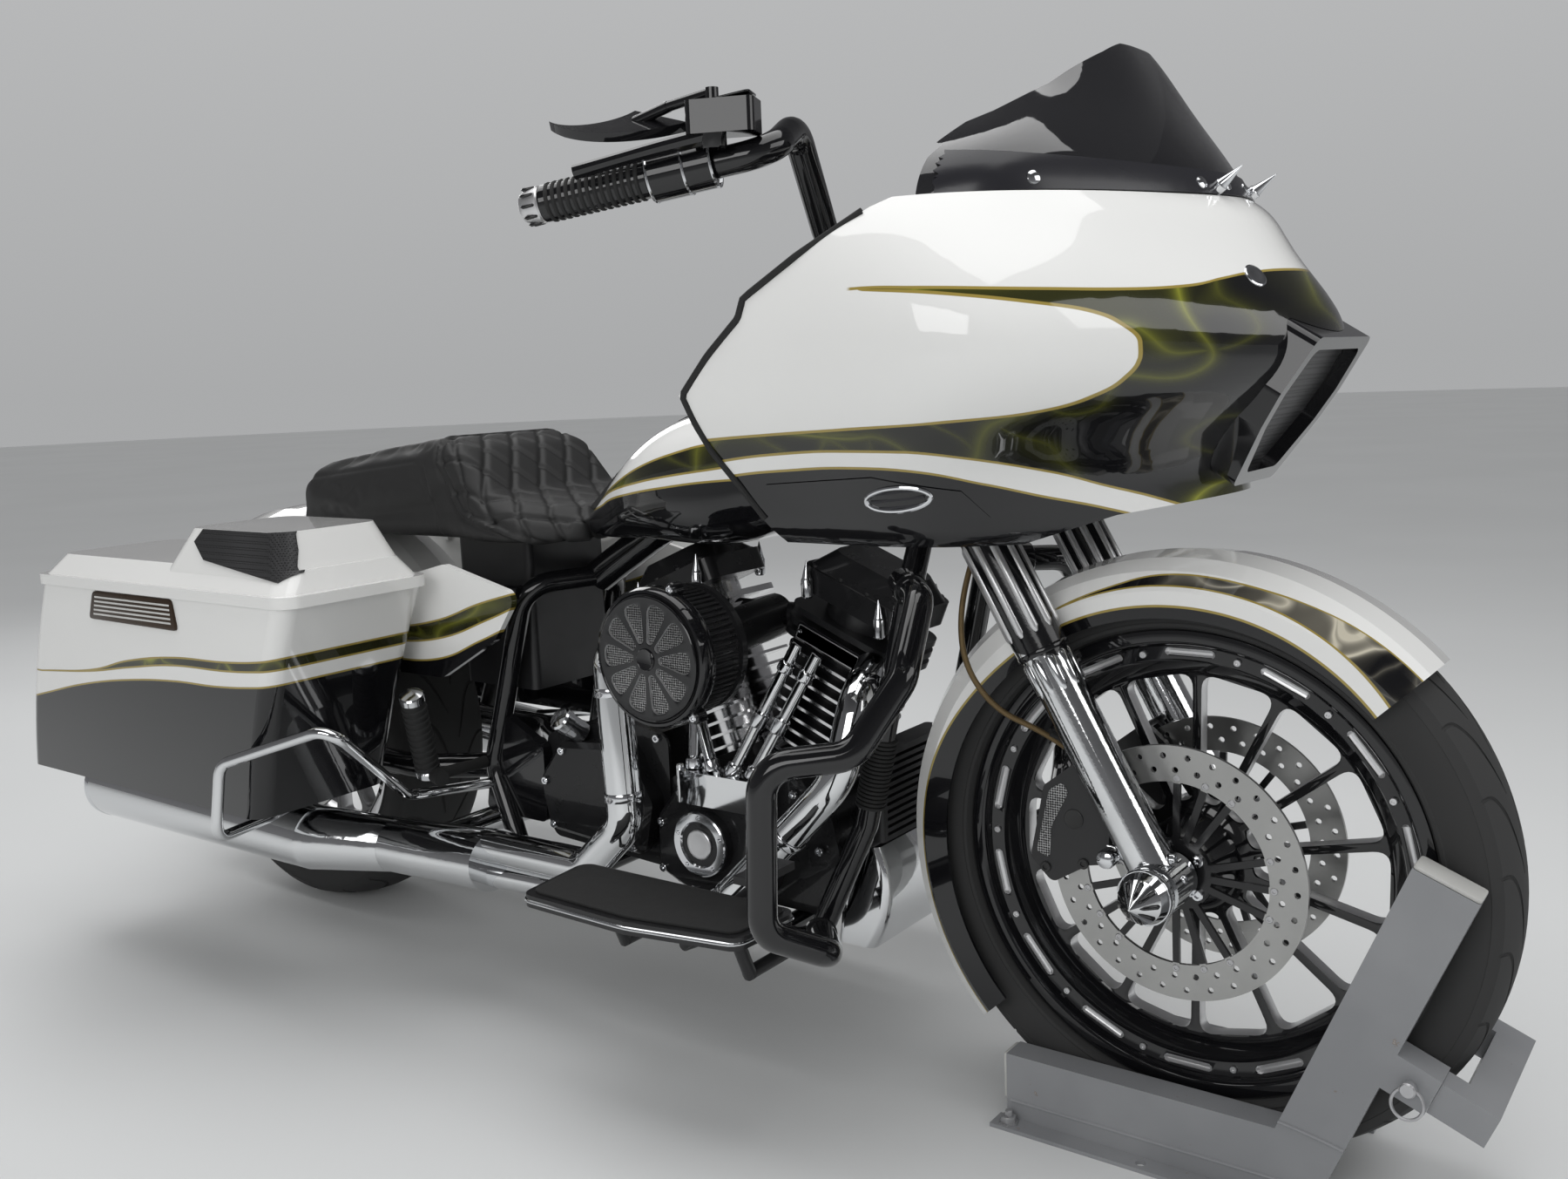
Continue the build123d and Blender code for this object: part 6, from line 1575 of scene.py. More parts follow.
class TOURING_OT_controls(bpy.types.Operator):
    """Ribbed grips with fluted ends, lever pivots, switches and mirror glass"""

    bl_idname = "touring.controls"
    bl_label = "Hand controls"

    def execute(self, context):
        along = (BAR_BEND - BAR_END).normalized()
        ribs = []
        for index in range(14):
            place = BAR_END + along * (0.006 + 0.008 * index)
            ribs.append(spun(place, along, [(0, 0.0195), (0.001, 0.0212), (0.0035, 0.0216), (0.0048, 0.0208),
                                            (0.0055, 0.0195)], 36,
                             loop=True))
        done(both_sides(ribs), "grip_ribs", "fork", "black_rubber")
        cap = spun(BAR_END - along * 0.024, -along, [(-0.022, 0.0192), (-0.020, 0.0205), (-0.004, 0.0180),
                                                     (0.001, 0.0150), (0.003, 0.011),
                                                     (0.0035, 0)], 36)
        flute = spun((0, 0, 0), (0, 0, 1), [(0, 0), (0.002, 0.0018), (0.014, 0.0022), (0.017, 0)], 8)
        out = along.orthogonal().normalized()
        flute.data.transform(placed([(BAR_END - along * 0.005 + out * 0.0198, -along)])[0])
        flutes = join(copies(flute, around(BAR_END, along, 10)))
        done(both_sides(cap), "grip_ends", "fork", "polished_aluminium")
        done(both_sides(flutes), "grip_end_flutes", "fork", "gloss_black", smooth=50)
        forward = Vector((0.88, -0.30, 0.36)).normalized()
        root = BAR_END + along * 0.172 + forward * 0.046 + Vector((0, 0, 0.012))
        tip = BAR_END + along * 0.006 + forward * 0.066
        blade = pipe([root + forward * 0.001, root.lerp(tip, 0.35) + forward * 0.004,
                      root.lerp(tip, 0.7) + forward * 0.003, tip], 0.0090, 3,
                     taper=(1.0, 0.95, 0.8, 0.9))
        pivot = spun(root + Vector((0, 0, -0.014)), (0, 0, 1), [(0, 0), (0, 0.0125), (0.002, 0.0138), (0.028, 0.0138),
                                                                (0.030, 0.012),
                                                               (0.0325, 0.006), (0.033, 0)], 28)
        done(both_sides([blade, pivot]), "lever_blades", "fork", "gloss_black")
        rings = []
        for start, radius in ((0.126, 0.0262), (0.166, 0.0262), (0.1965, 0.0252)):
            rings.append(spun(BAR_END + along * start, along, [(-0.0014, radius - 0.003), (-0.0014, radius),
                                                               (0, radius + 0.0008),
                                                               (0.0014, radius), (0.0014, radius - 0.003)], 36,
                              loop=True))
        done(both_sides(rings), "housing_rings", "fork")
        centre = BAR_END + along * 0.190 + forward * 0.034 + Vector((0, 0, 0.014 + 0.034))
        lid_plane = [centre + along * a + Vector((0, 0, 1)).cross(along).normalized() * b for a, b in
                     ((-0.033, -0.019), (0.033, -0.019), (0.033, 0.019), (-0.033, 0.019))]
        lid = prism(rounded(lid_plane, 0.006, 3), (0, 0, 0.0022), 0.0008, 2)
        done(both_sides(lid), "reservoir_lids", "fork", "gloss_black")
        screws = []
        for a in (-0.027, 0.027):
            place = centre + along * a + Vector((0, 0, 0.0022))
            screws += [(place * Vector((1, side, 1)), (0, 0, 1)) for side in (1, -1)]
        bolts("reservoir_screws", "fork", screws, 0.0030, 0.0016)
        switches = []
        for share in (0.135, 0.148, 0.159):
            place = BAR_END + along * share + Vector((-0.3, 0.1, 0.4)).normalized() * 0.0255
            switches.append(spun(place, (-0.5, 0.15, 0.75), [(-0.003, 0), (-0.003, 0.0052), (0.002, 0.0050),
                                                             (0.0032, 0.0038), (0.0034, 0)], 18))
        done(both_sides(switches), "switch_buttons", "fork", "black_plastic")
        glass = []
        across, normal = Vector((-0.93, -0.34, -0.05)).normalized(), Vector((0.20, -0.42, 0.88)).normalized()
        upward = normal.cross(across)
        middle_point = at(-500, -396, 1202)
        shape = [(-66, 10), (-30, 24), (0, 28), (36, 14), (70, -8), (20, 2), (-4, -22), (-30, -8)]
        for x, y in shape:
            glass.append(middle_point + across * x * MM + upward * y * MM - normal * 0.0052)
        pane = prism(glass, -normal * 0.0006)
        done(both_sides(pane), "mirror_glass", "fork", "mirror_glass")
        return {"FINISHED"}


class TOURING_OT_boards(bpy.types.Operator):
    """Footboard pads, peg ribs, guard clamps and rail sleeves"""

    bl_idname = "touring.boards"
    bl_label = "Footboards and guards"

    def execute(self, context):
        corners = [at(x, y, 288) for x, y in ((-410, -270), (-417, -364), (-560, -391), (-731, -387), (-742, -277))]
        pad = prism(rounded(corners, 0.016, 5), (0, 0, 0.0042), 0.0014, 2)
        done(both_sides(pad), "board_pads", "chassis", "board_rubber")
        edge_points = rounded([at(x, y, 280) for x, y in ((-401, -263), (-409, -371.5), (-560, -399.5), (-740, -395.5),
                                                          (-751, -268.5))], 0.018, 5)
        rim = pipe([*edge_points, edge_points[0]], 0.0028, 3, order=2)
        done(both_sides(rim), "board_edges", "chassis")
        ridges, ends = [], []
        peg_end = [(-0.012, 0.0172), (-0.010, 0.0190), (-0.001, 0.0190), (0.0015, 0.0170), (0.003, 0.010), (0.0032, 0)]
        for side in (-1, 1):
            low, high = at(-1109, side * 230, 352), at(-1078, side * 276, 486)
            run = (high - low).normalized()
            ends += [spun(high, run, peg_end, 32), spun(low, -run, peg_end, 32)]
            for index in range(11):
                ridges.append(spun(low + run * (0.014 + 0.0105 * index), run, [(0, 0.0168), (0.0012, 0.0186),
                                                                               (0.0040, 0.0190),
                                                                              (0.0055, 0.0186), (0.0068, 0.0168)], 28,
                                   loop=True))
        done(ridges, "peg_ribs", "chassis", "black_rubber")
        done(ends, "peg_ends", "chassis")
        clamps, screws = [], []
        for side in (-1, 1):
            for place, run in ((at(-300, side * 148, 670), at(-262, side * 190, 668) - at(-336, side * 108, 672)),
                               (at(-433, side * 172, 219), at(-446, side * 158, 212) - at(-420, side * 186, 226))):
                clamps.append(spun(place, run, [(-0.009, 0.0176), (-0.009, 0.0198), (-0.0075, 0.0212), (0.0075, 0.0212),
                                                (0.009, 0.0198),
                                                (0.009, 0.0176)], 36, loop=True))
                screws.append((place + Vector((0.0, 0, -0.0205)), (0, 0, -1)))
        done(clamps, "guard_clamps", "chassis", "gloss_black")
        bolts("guard_clamp_bolts", "chassis", screws, 0.0065, 0.006)
        sleeve = []
        for side in (-1, 1):
            top, foot = at(-331, side * 97, 664), at(-402, side * 104, 350)
            run = (foot - top).normalized()
            for index in range(17):
                sleeve.append(spun(top + run * (0.200 + 0.0056 * index), run, [(0, 0.0164), (0.001, 0.0196),
                                                                               (0.0030, 0.0202),
                                                                              (0.0046, 0.0196), (0.0056, 0.0164)], 28,
                                   loop=True))
        done(sleeve, "rail_sleeves", "chassis", "black_rubber")
        return {"FINISHED"}


class TOURING_OT_rear(bpy.types.Operator):
    """Lamp lens ribs and a blank plate with its screws"""

    bl_idname = "touring.rear"
    bl_label = "Rear dress"

    def execute(self, context):
        low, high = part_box("tail_light")
        ribs = []
        for index in range(6):
            z = low.z + 0.010 + (high.z - low.z - 0.020) * index / 5
            ribs.append(pipe([(low.x - 0.0004, -0.050, z), (low.x - 0.0010, 0, z), (low.x - 0.0004, 0.050, z)], 0.0013,
                             2))
        done(ribs, "lamp_ribs", "chassis", "red_lens")
        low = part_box("plate_holder")[0]
        corners = [(low.x - 0.0002, y, z) for y, z in ((-0.086, 0.372), (0.086, 0.372), (0.086, 0.468),
                                                       (-0.086, 0.468))]
        plate = prism(rounded(corners, 0.006, 3), (-0.0012, 0, 0), 0.0004, 1)
        done(plate, "blank_plate", "chassis", "plate_white")
        places = [((low.x - 0.0014, y, z), (-1, 0, 0)) for y in (-0.074, 0.074) for z in (0.382, 0.458)]
        bolts("plate_screws", "chassis", places, 0.0040, 0.0022)
        return {"FINISHED"}
# ---------------------------------------------------------------- engine
def on_cylinder(side, along, across, up):
    """A place in one cylinder's own frame, in millimetres; side is 1 for the front cylinder."""
    lean = CYLINDER_LEAN * side
    return at(CRANK[0] + along * math.cos(lean) + up * math.sin(lean), across,
              CRANK[1] - along * math.sin(lean) + up * math.cos(lean))


def shrunk(outline, share):
    """An outline drawn in toward its middle."""
    x_mid = sum(x for x, _ in outline) / len(outline)
    z_mid = sum(z for _, z in outline) / len(outline)
    return [(x_mid + (x - x_mid) * share, z_mid + (z - z_mid) * share) for x, z in outline]


CAM_OUTLINE = [(-738, 239), (-674, 213), (-556, 225), (-530, 287), (-558, 367), (-694, 372), (-738, 317)]
GEAR_OUTLINE = [(-960, 262), (-770, 250), (-752, 330), (-800, 412), (-930, 400), (-975, 340)]
PRIMARY_OUTLINE = [(-960, 250), (-900, 216), (-730, 214), (-560, 212), (-482, 268), (-482, 340), (-560, 398),
                   (-720, 402),
                   (-900, 384), (-960, 330)]
CLEANER = (-604, 584)


class TOURING_OT_engine(bpy.types.Operator):
    """Bolts, plates, collars and cover rings of the engine"""

    bl_idname = "touring.engine"
    bl_label = "Engine dress"

    def execute(self, context):
        self.heads()
        self.covers()
        self.pushrods()
        return {"FINISHED"}

    def heads(self):
        """Pointed nuts by the rocker covers and blank plates across the head fins."""
        places, plates, screws, cap_bolts = [], [], [], []
        for cylinder in (1, -1):
            for side in (-1, 1):
                for along in (-60, 60):
                    places.append((on_cylinder(cylinder, along, side * 73, 392), (0, 0, 1)))
                corner = [on_cylinder(cylinder, a, side * 71.2, c) for a, c in ((-56, 319), (56, 319), (56, 345),
                                                                                (-56, 345))]
                plates.append(prism(rounded(corner, 0.004, 3), (0, side * 0.0032, 0), 0.0008, 2))
                for along in (-49, 49):
                    screws.append((on_cylinder(cylinder, along, side * 74.3, 332), (0, side, 0)))
                for along in (-66, -22, 22, 66):
                    up = on_cylinder(cylinder, 0, 0, 400) - on_cylinder(cylinder, 0, 0, 300)
                    cap_bolts.append((on_cylinder(cylinder, along, side * 57, 417), up))
        nut = spun((0, 0, 0), (0, 0, 1), [(-0.014, 0), (-0.014, 0.0062), (-0.012, 0.0078), (0.010, 0.0078),
                                          (0.0115, 0.0068),
                                          (0.0135, 0.0062), (0.036, 0.0006), (0.0365, 0)], 20)
        done(copies(nut, placed(places)), "rocker_points", "chassis")
        done(plates, "head_plates", "chassis", "gloss_black")
        bolts("head_plate_screws", "chassis", screws, 0.0034, 0.0018)
        bolts("rocker_bolts", "chassis", cap_bolts, 0.0050, 0.0040, "satin_black")
        frames = []
        for cylinder in (1, -1):
            for side in (-1, 1):
                outer = [on_cylinder(cylinder, a, side * 74.4, c) for a, c in ((-53, 322), (53, 322), (53, 342),
                                                                               (-53, 342))]
                frame = prism(rounded(outer, 0.003, 3), (0, side * 0.0006, 0))
                edit(frame)
                pick(frame, lambda place, normal: normal.y * side > 0.9)
                bpy.ops.mesh.inset(thickness=0.0012, depth=0)
                bpy.ops.mesh.delete(type="FACE")
                bpy.ops.object.mode_set(mode="OBJECT")
                frames.append(frame)
        done(frames, "head_plate_edges", "chassis", "polished_aluminium")

    def covers(self):
        """Bolts round each cover and the ringed round covers."""
        places = [(at(x, -138, z), (0, -1, 0)) for x, z in shrunk(CAM_OUTLINE, 0.86)]
        places += [(at(x, -134, z), (0, -1, 0)) for x, z in shrunk(GEAR_OUTLINE, 0.84)]
        places += [(at(x, 168, z), (0, 1, 0)) for x, z in shrunk(PRIMARY_OUTLINE, 0.92)]
        places += [(at(x, -100, z), (0, -1, 0)) for x, z in ((-520, 372), (-480, 300), (-700, 380), (-950, 262),
                                                             (-760, 420))]
        bolts("cover_bolts", "chassis", places, 0.0062, 0.0052)
        rings, wells, faces, screws = [], [], [], []
        for x, z, y, side, radius in ((-644, 297, 152, -1, 0.0455), (-850, 305, 178, 1, 0.0555),
                                      (-570, 305, 176, 1, 0.0455)):
            foot, axis = at(x, side * y, z), (0, side, 0)
            inner = radius * 0.68
            rings.append(spun(foot, axis, [(-0.004, radius), (0.003, radius), (0.0045, radius - 0.002),
                                           (0.0045, inner + 0.002),
                                           (0.002, inner), (-0.004, inner)], 56, loop=True))
            wells.append(spun(foot, axis, [(0.0008, inner), (0.0014, inner), (0.0014, radius * 0.46),
                                           (0.0008, radius * 0.46)], 48,
                              loop=True))
            faces.append(spun(foot, axis, [(0, radius * 0.46), (0.0036, radius * 0.46), (0.0046, radius * 0.43),
                                           (0.0040, radius * 0.38), (0.0044, radius * 0.30), (0.0044, 0)], 48))
            for index in range(5):
                turn = math.radians(72 * index + 18)
                screws.append((foot + Vector((radius * 0.84 * math.cos(turn), side * 0.0044,
                                              radius * 0.84 * math.sin(turn))), axis))
        done(rings, "cover_rings", "chassis")
        done(wells, "cover_wells", "chassis", "engine_black")
        done(faces, "cover_faces", "chassis", "polished_aluminium")
        bolts("cover_ring_screws", "chassis", screws, 0.0030, 0.0016)
        cap = spun(at(-905, -134, 432), (-0.15, -0.75, 0.62), [(-0.030, 0.017), (0, 0.017), (0.002, 0.0185),
                                                               (0.016, 0.0185),
                                                               (0.019, 0.016), (0.0205, 0.010), (0.021, 0)], 24)
        done(cap, "oil_filler_cap", "chassis")

    def pushrods(self):
        """Collars on the pushrod tubes and bolts on the tappet blocks."""
        collars, caps = [], []
        for side in (1, -1):
            for offset in (-17, 17):
                foot = at(-620 + side * 34 + offset, -126, 395)
                head = on_cylinder(side, offset * side - 22 * side, -88, 320)
                run = (head - foot).normalized()
                for share, radius, tall in ((0.0, 0.0125, 0.014), (0.38, 0.0112, 0.020), (0.80, 0.0115, 0.012)):
                    place = foot.lerp(head, share)
                    collars.append(spun(place, run, [(-0.001, 0.0084), (-0.001, radius - 0.001), (0.001, radius),
                                                     (tall - 0.001, radius),
                                                     (tall, radius - 0.0015), (tall + 0.003, 0.0086)], 24))
        for along in (-66, 66, 0):
            for across in (-138, -114):
                caps.append((at(-620 + along, across, 395), (0, 0, 1)))
        done(collars, "pushrod_collars", "chassis")
        bolts("tappet_bolts", "chassis", caps, 0.0058, 0.006)


class TOURING_OT_air_cleaner(bpy.types.Operator):
    """Ten-spoke face over bright mesh, bolted ring and pleated drum"""

    bl_idname = "touring.air_cleaner"
    bl_label = "Air cleaner"

    def execute(self, context):
        centre = at(CLEANER[0], -280.4, CLEANER[1])
        axis = Vector((0, -1, 0))
        face = spun(centre, axis, [(0, 0), (0, 0.0800), (0.0042, 0.0800), (0.0052, 0.0785), (0.0048, 0.074),
                                   (0.0056, 0.030),
                                   (0.0066, 0.019), (0.0066, 0)], 80)
        half_step = math.pi / 10
        outer, inner = 0.066 * math.sin(half_step) - 0.0034, 0.023 * math.sin(half_step) - 0.0030
        corners = [(0.021, -inner), (0.071, -outer), (0.071, outer), (0.021, inner)]
        window = prism([centre + Vector((x, 0.010, z)) for x, _, z in rounded([(x, 0, z) for x, z in corners], 0.016,
                                                                              6)],
                       (0, -0.03, 0))
        soften(carve(face, copies(window, around(centre, axis, 10))), 0.0013)
        done(face, "cleaner_face", "chassis", "gloss_black", smooth=30)
        face.data.materials.append(bpy.data.materials["polished_aluminium"])
        for facet in face.data.polygons:
            reach = math.hypot(facet.center.x - centre.x, facet.center.z - centre.z)
            facet.material_index = 1 if facet.normal.y > -0.93 and 0.017 < reach < 0.0745 else 0
        screen = spun(centre, axis, [(0.0002, 0.0), (0.0002, 0.073), (0.0012, 0.073), (0.0016, 0.070), (0.0016, 0)], 48)
        done(screen, "cleaner_mesh", "chassis", "bright_mesh")
        cap = spun(centre, axis, [(0.0066, 0.0145), (0.0078, 0.0145), (0.0086, 0.0135), (0.0078, 0.0122), (0.0074, 0)],
                   32)
        done(cap, "cleaner_cap", "chassis", "gloss_black")
        rim = spun(at(CLEANER[0], -268, CLEANER[1]), axis, [(-0.0100, 0.0868), (-0.0100, 0.0895), (-0.008, 0.0905),
                                                            (0.006, 0.0905),
                                                          (0.013, 0.0870), (0.0140, 0.0835), (0.0128, 0.0818),
                                                            (0.0100, 0.0818)], 80)
        done(rim, "cleaner_rim", "chassis", "gloss_black")
        lugs, places = [], []
        for turn in (70, 190, 310):
            out = Vector((math.cos(math.radians(turn)), 0, math.sin(math.radians(turn))))
            foot = at(CLEANER[0], -258, CLEANER[1]) + out * 0.0935
            lugs.append(spun(foot, axis, [(-0.004, 0), (-0.004, 0.0088), (0.010, 0.0088), (0.0115, 0.0075),
                                          (0.0115, 0)], 24))
            places.append((foot + axis * 0.0115, axis))
        done(lugs, "cleaner_lugs", "chassis", "gloss_black")
        bolts("cleaner_bolts", "chassis", places, 0.0055, 0.004)
        pleat = spun(at(CLEANER[0] + 80.5, -200, CLEANER[1]), axis, [(0, 0), (0.001, 0.0018), (0.004, 0.0026),
                                                                     (0.052, 0.0026),
                                                                   (0.055, 0.0018), (0.056, 0)], 8)
        pleats = copies(pleat, around(at(CLEANER[0], -200, CLEANER[1]), axis, 64))
        done(pleats, "cleaner_pleats", "chassis", "engine_black", 50)
        return {"FINISHED"}


class TOURING_OT_exhaust(bpy.types.Operator):
    """Clamps on the pipes and rolled silencer mouths"""

    bl_idname = "touring.exhaust"
    bl_label = "Exhaust dress"

    def execute(self, context):
        bands, screws, mouths, throats = [], [], [], []
        front_run = at(-585, -196, 226) - at(-392, -176, 430)
        rear_run = at(-722, -214, 330) - at(-742, -206, 560)
        for place, run, radius in ((at(-470, -184.5, 347), front_run, 0.0232), (at(-560, -193.5, 251), front_run,
                                                                                0.0232),
                                   (at(-725.4, -212.6, 370), rear_run, 0.0252), (at(-738, -207.6, 514), rear_run,
                                                                                 0.0252)):
            bands.append(spun(place, run, [(-0.006, radius), (-0.006, radius + 0.0012), (-0.005, radius + 0.0018),
                                           (0.005, radius + 0.0018), (0.006, radius + 0.0012), (0.006, radius)], 40,
                              loop=True))
            screws.append((place + Vector((0, -radius - 0.001, 0)), (0, -1, 0)))
        done(bands, "pipe_clamps", "chassis")
        bolts("pipe_clamp_screws", "chassis", screws, 0.0040, 0.0040, "disc_steel")
        for side in (-1, 1):
            mid, end = at(-1300, side * 300, 240), at(-1848, side * 322, 262)
            along = (end - mid).normalized()
            mouths.append(spun(end, along, [(-0.004, 0.0568), (-0.0005, 0.0566), (0.0006, 0.0580), (0.0008, 0.0600),
                                            (-0.0008, 0.0622),
                                            (-0.010, 0.0626), (-0.012, 0.0614)], 64))
            throats.append(spun(end, along, [(-0.058, 0), (-0.058, 0.018), (-0.050, 0.020), (-0.050, 0.030),
                                             (-0.056, 0.034),
                                             (-0.056, 0.0555)], 48))
        done(mouths, "silencer_mouths", "chassis")
        done(throats, "silencer_throats", "chassis", "satin_black")
        return {"FINISHED"}
# ---------------------------------------------------------------- front end
FORK_LEAN = math.radians(29.25)
HOSE_DIAMETER = 0.007


def leg_at(z, y):
    """A place on a fork leg's axis at a height, in millimetres."""
    return at(-(z - 350) * math.tan(FORK_LEAN), y, z)


class TOURING_OT_hose(bpy.types.Operator):
    """Braided brake hose from the lower yoke to the calliper"""

    bl_idname = "touring.hose"
    bl_label = "Brake hose"

    def execute(self, context):
        route = [at(-224, -98, 752), at(-236, -118, 700), at(-232, -152, 640), at(-222, -158, 585), at(-190, -146, 535),
                 at(-140, -118, 508), at(-120, -96, 484)]
        hose = nurbs(route, HOSE_DIAMETER / 2, 12, 4)
        hose.name = hose.data.name = "brake_hose_line"
        hose.data.materials.append(bpy.data.materials["braided_hose"])
        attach(hose, "fork")
        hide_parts("brake_hose")
        return {"FINISHED"}


class TOURING_OT_fork(bpy.types.Operator):
    """Polished flutes on the covers, clamps and fluted axle caps"""

    bl_idname = "touring.fork"
    bl_label = "Fork"

    def execute(self, context):
        up = (leg_at(700, 0) - leg_at(600, 0)).normalized()
        flutes, arches, collars, screws = [], [], [], []
        for side in (-1, 1):
            y = side * 117
            low = leg_at(622, y)
            flute = spun(low, up, [(0, 0), (0.002, 0.0030), (0.008, 0.0052), (0.122, 0.0052), (0.128, 0.0030),
                                   (0.130, 0)], 12)
            out = up.cross(Vector((0, 1, 0))).normalized()
            flute.data.transform(Matrix.Translation(out * 0.0286))
            flutes += copies(flute, around(low, up, 10, 0.3))
            foot = leg_at(556, y)
            arch = spun(foot, up, [(0, 0), (0.003, 0.0042), (0.012, 0.0072), (0.045, 0.0076), (0.051, 0.0040),
                                   (0.0530, 0)], 14)
            arch.data.transform(Matrix.Translation(out * 0.0232))
            arches += copies(arch, around(foot, up, 10, 0.3))
            ring = leg_at(604, y)
            collars.append(spun(ring, up, [(-0.004, 0.0284), (-0.004, 0.0308), (-0.002, 0.0316), (0.002, 0.0316),
                                           (0.004, 0.0306),
                                           (0.004, 0.0284)], 40, loop=True))
            top = leg_at(744, y)
            collars.append(spun(top, up, [(-0.005, 0.0300), (-0.005, 0.0318), (0.001, 0.0318), (0.003, 0.0306),
                                          (0.003, 0.0244)], 40))
            for z in (362, 384):
                place = leg_at(z, y) + Vector((0.031, side * 0.004, 0))
                screws.append((place, (1, 0, 0.1)))
        done(flutes, "fork_flutes", "fork", "polished_aluminium", smooth=50)
        done(arches, "fork_arches", "fork", smooth=50)
        done(collars, "fork_collars", "fork", "gloss_black")
        bolts("fork_pinch_bolts", "fork", screws, 0.0055, 0.006)
        self.axle_caps()
        self.mounts()
        return {"FINISHED"}

    def axle_caps(self):
        """Dark flutes round each pointed axle cap."""
        darts, rings = [], []
        for side in (-1, 1):
            face = at(0, side * 146.3, 350)
            axis = Vector((0, side, 0))
            dart = spun((0, 0, 0), (0, 0, 1), [(0, 0), (0.004, 0.0032), (0.020, 0.0026), (0.030, 0)], 10)
            lean = Vector((-0.66, side * 0.75, 0)).normalized()
            start = face + axis * 0.0335 + Vector((0.0246, 0, 0))
            dart.data.transform(placed([(start, lean)])[0])
            darts += copies(dart, around(face, axis, 9))
            rings.append(spun(face + axis * 0.010, axis, [(0, 0.0296), (0, 0.0312), (0.002, 0.0318), (0.010, 0.0318),
                                                          (0.012, 0.0308),
                                                          (0.012, 0.0296)], 44, loop=True))
        done(darts, "axle_cap_flutes", "fork", "gloss_black", smooth=50)
        done(rings, "axle_cap_rings", "fork")

    def mounts(self):
        """Round buttons over the fender and calliper bolts."""
        places = []
        for side in (-1, 1):
            places.append((at(-151, side * 119, 622), (0, side, 0)))
        for side in (-1, 1):
            for x, z in ((-52, 441), (-62, 371)):
                places.append((at(x, side * 117, z), (0, side, 0)))
        caps = copies(spun((0, 0, 0), (0, 0, 1), [(-0.004, 0.0108), (0.010, 0.0112), (0.014, 0.0098), (0.0165, 0.006),
                                                  (0.017, 0)], 24),
                      placed(places))
        done(caps, "fork_mount_caps", "fork")
        grip = pipe([at(-118, -97, 484), at(-124, -99, 492), at(-132, -104, 500), at(-139, -112, 506)], 0.0058, 4)
        done(grip, "hose_end", "fork", "black_rubber")
# ---------------------------------------------------------------- stage
CAMERA_PLACE = Vector((1.4312, -1.5936, 0.9370))
CAMERA_AZIMUTH = math.radians(36.63)
CAMERA_ELEVATION = math.radians(8.76)
CAMERA_ROLL = math.radians(-2.23)


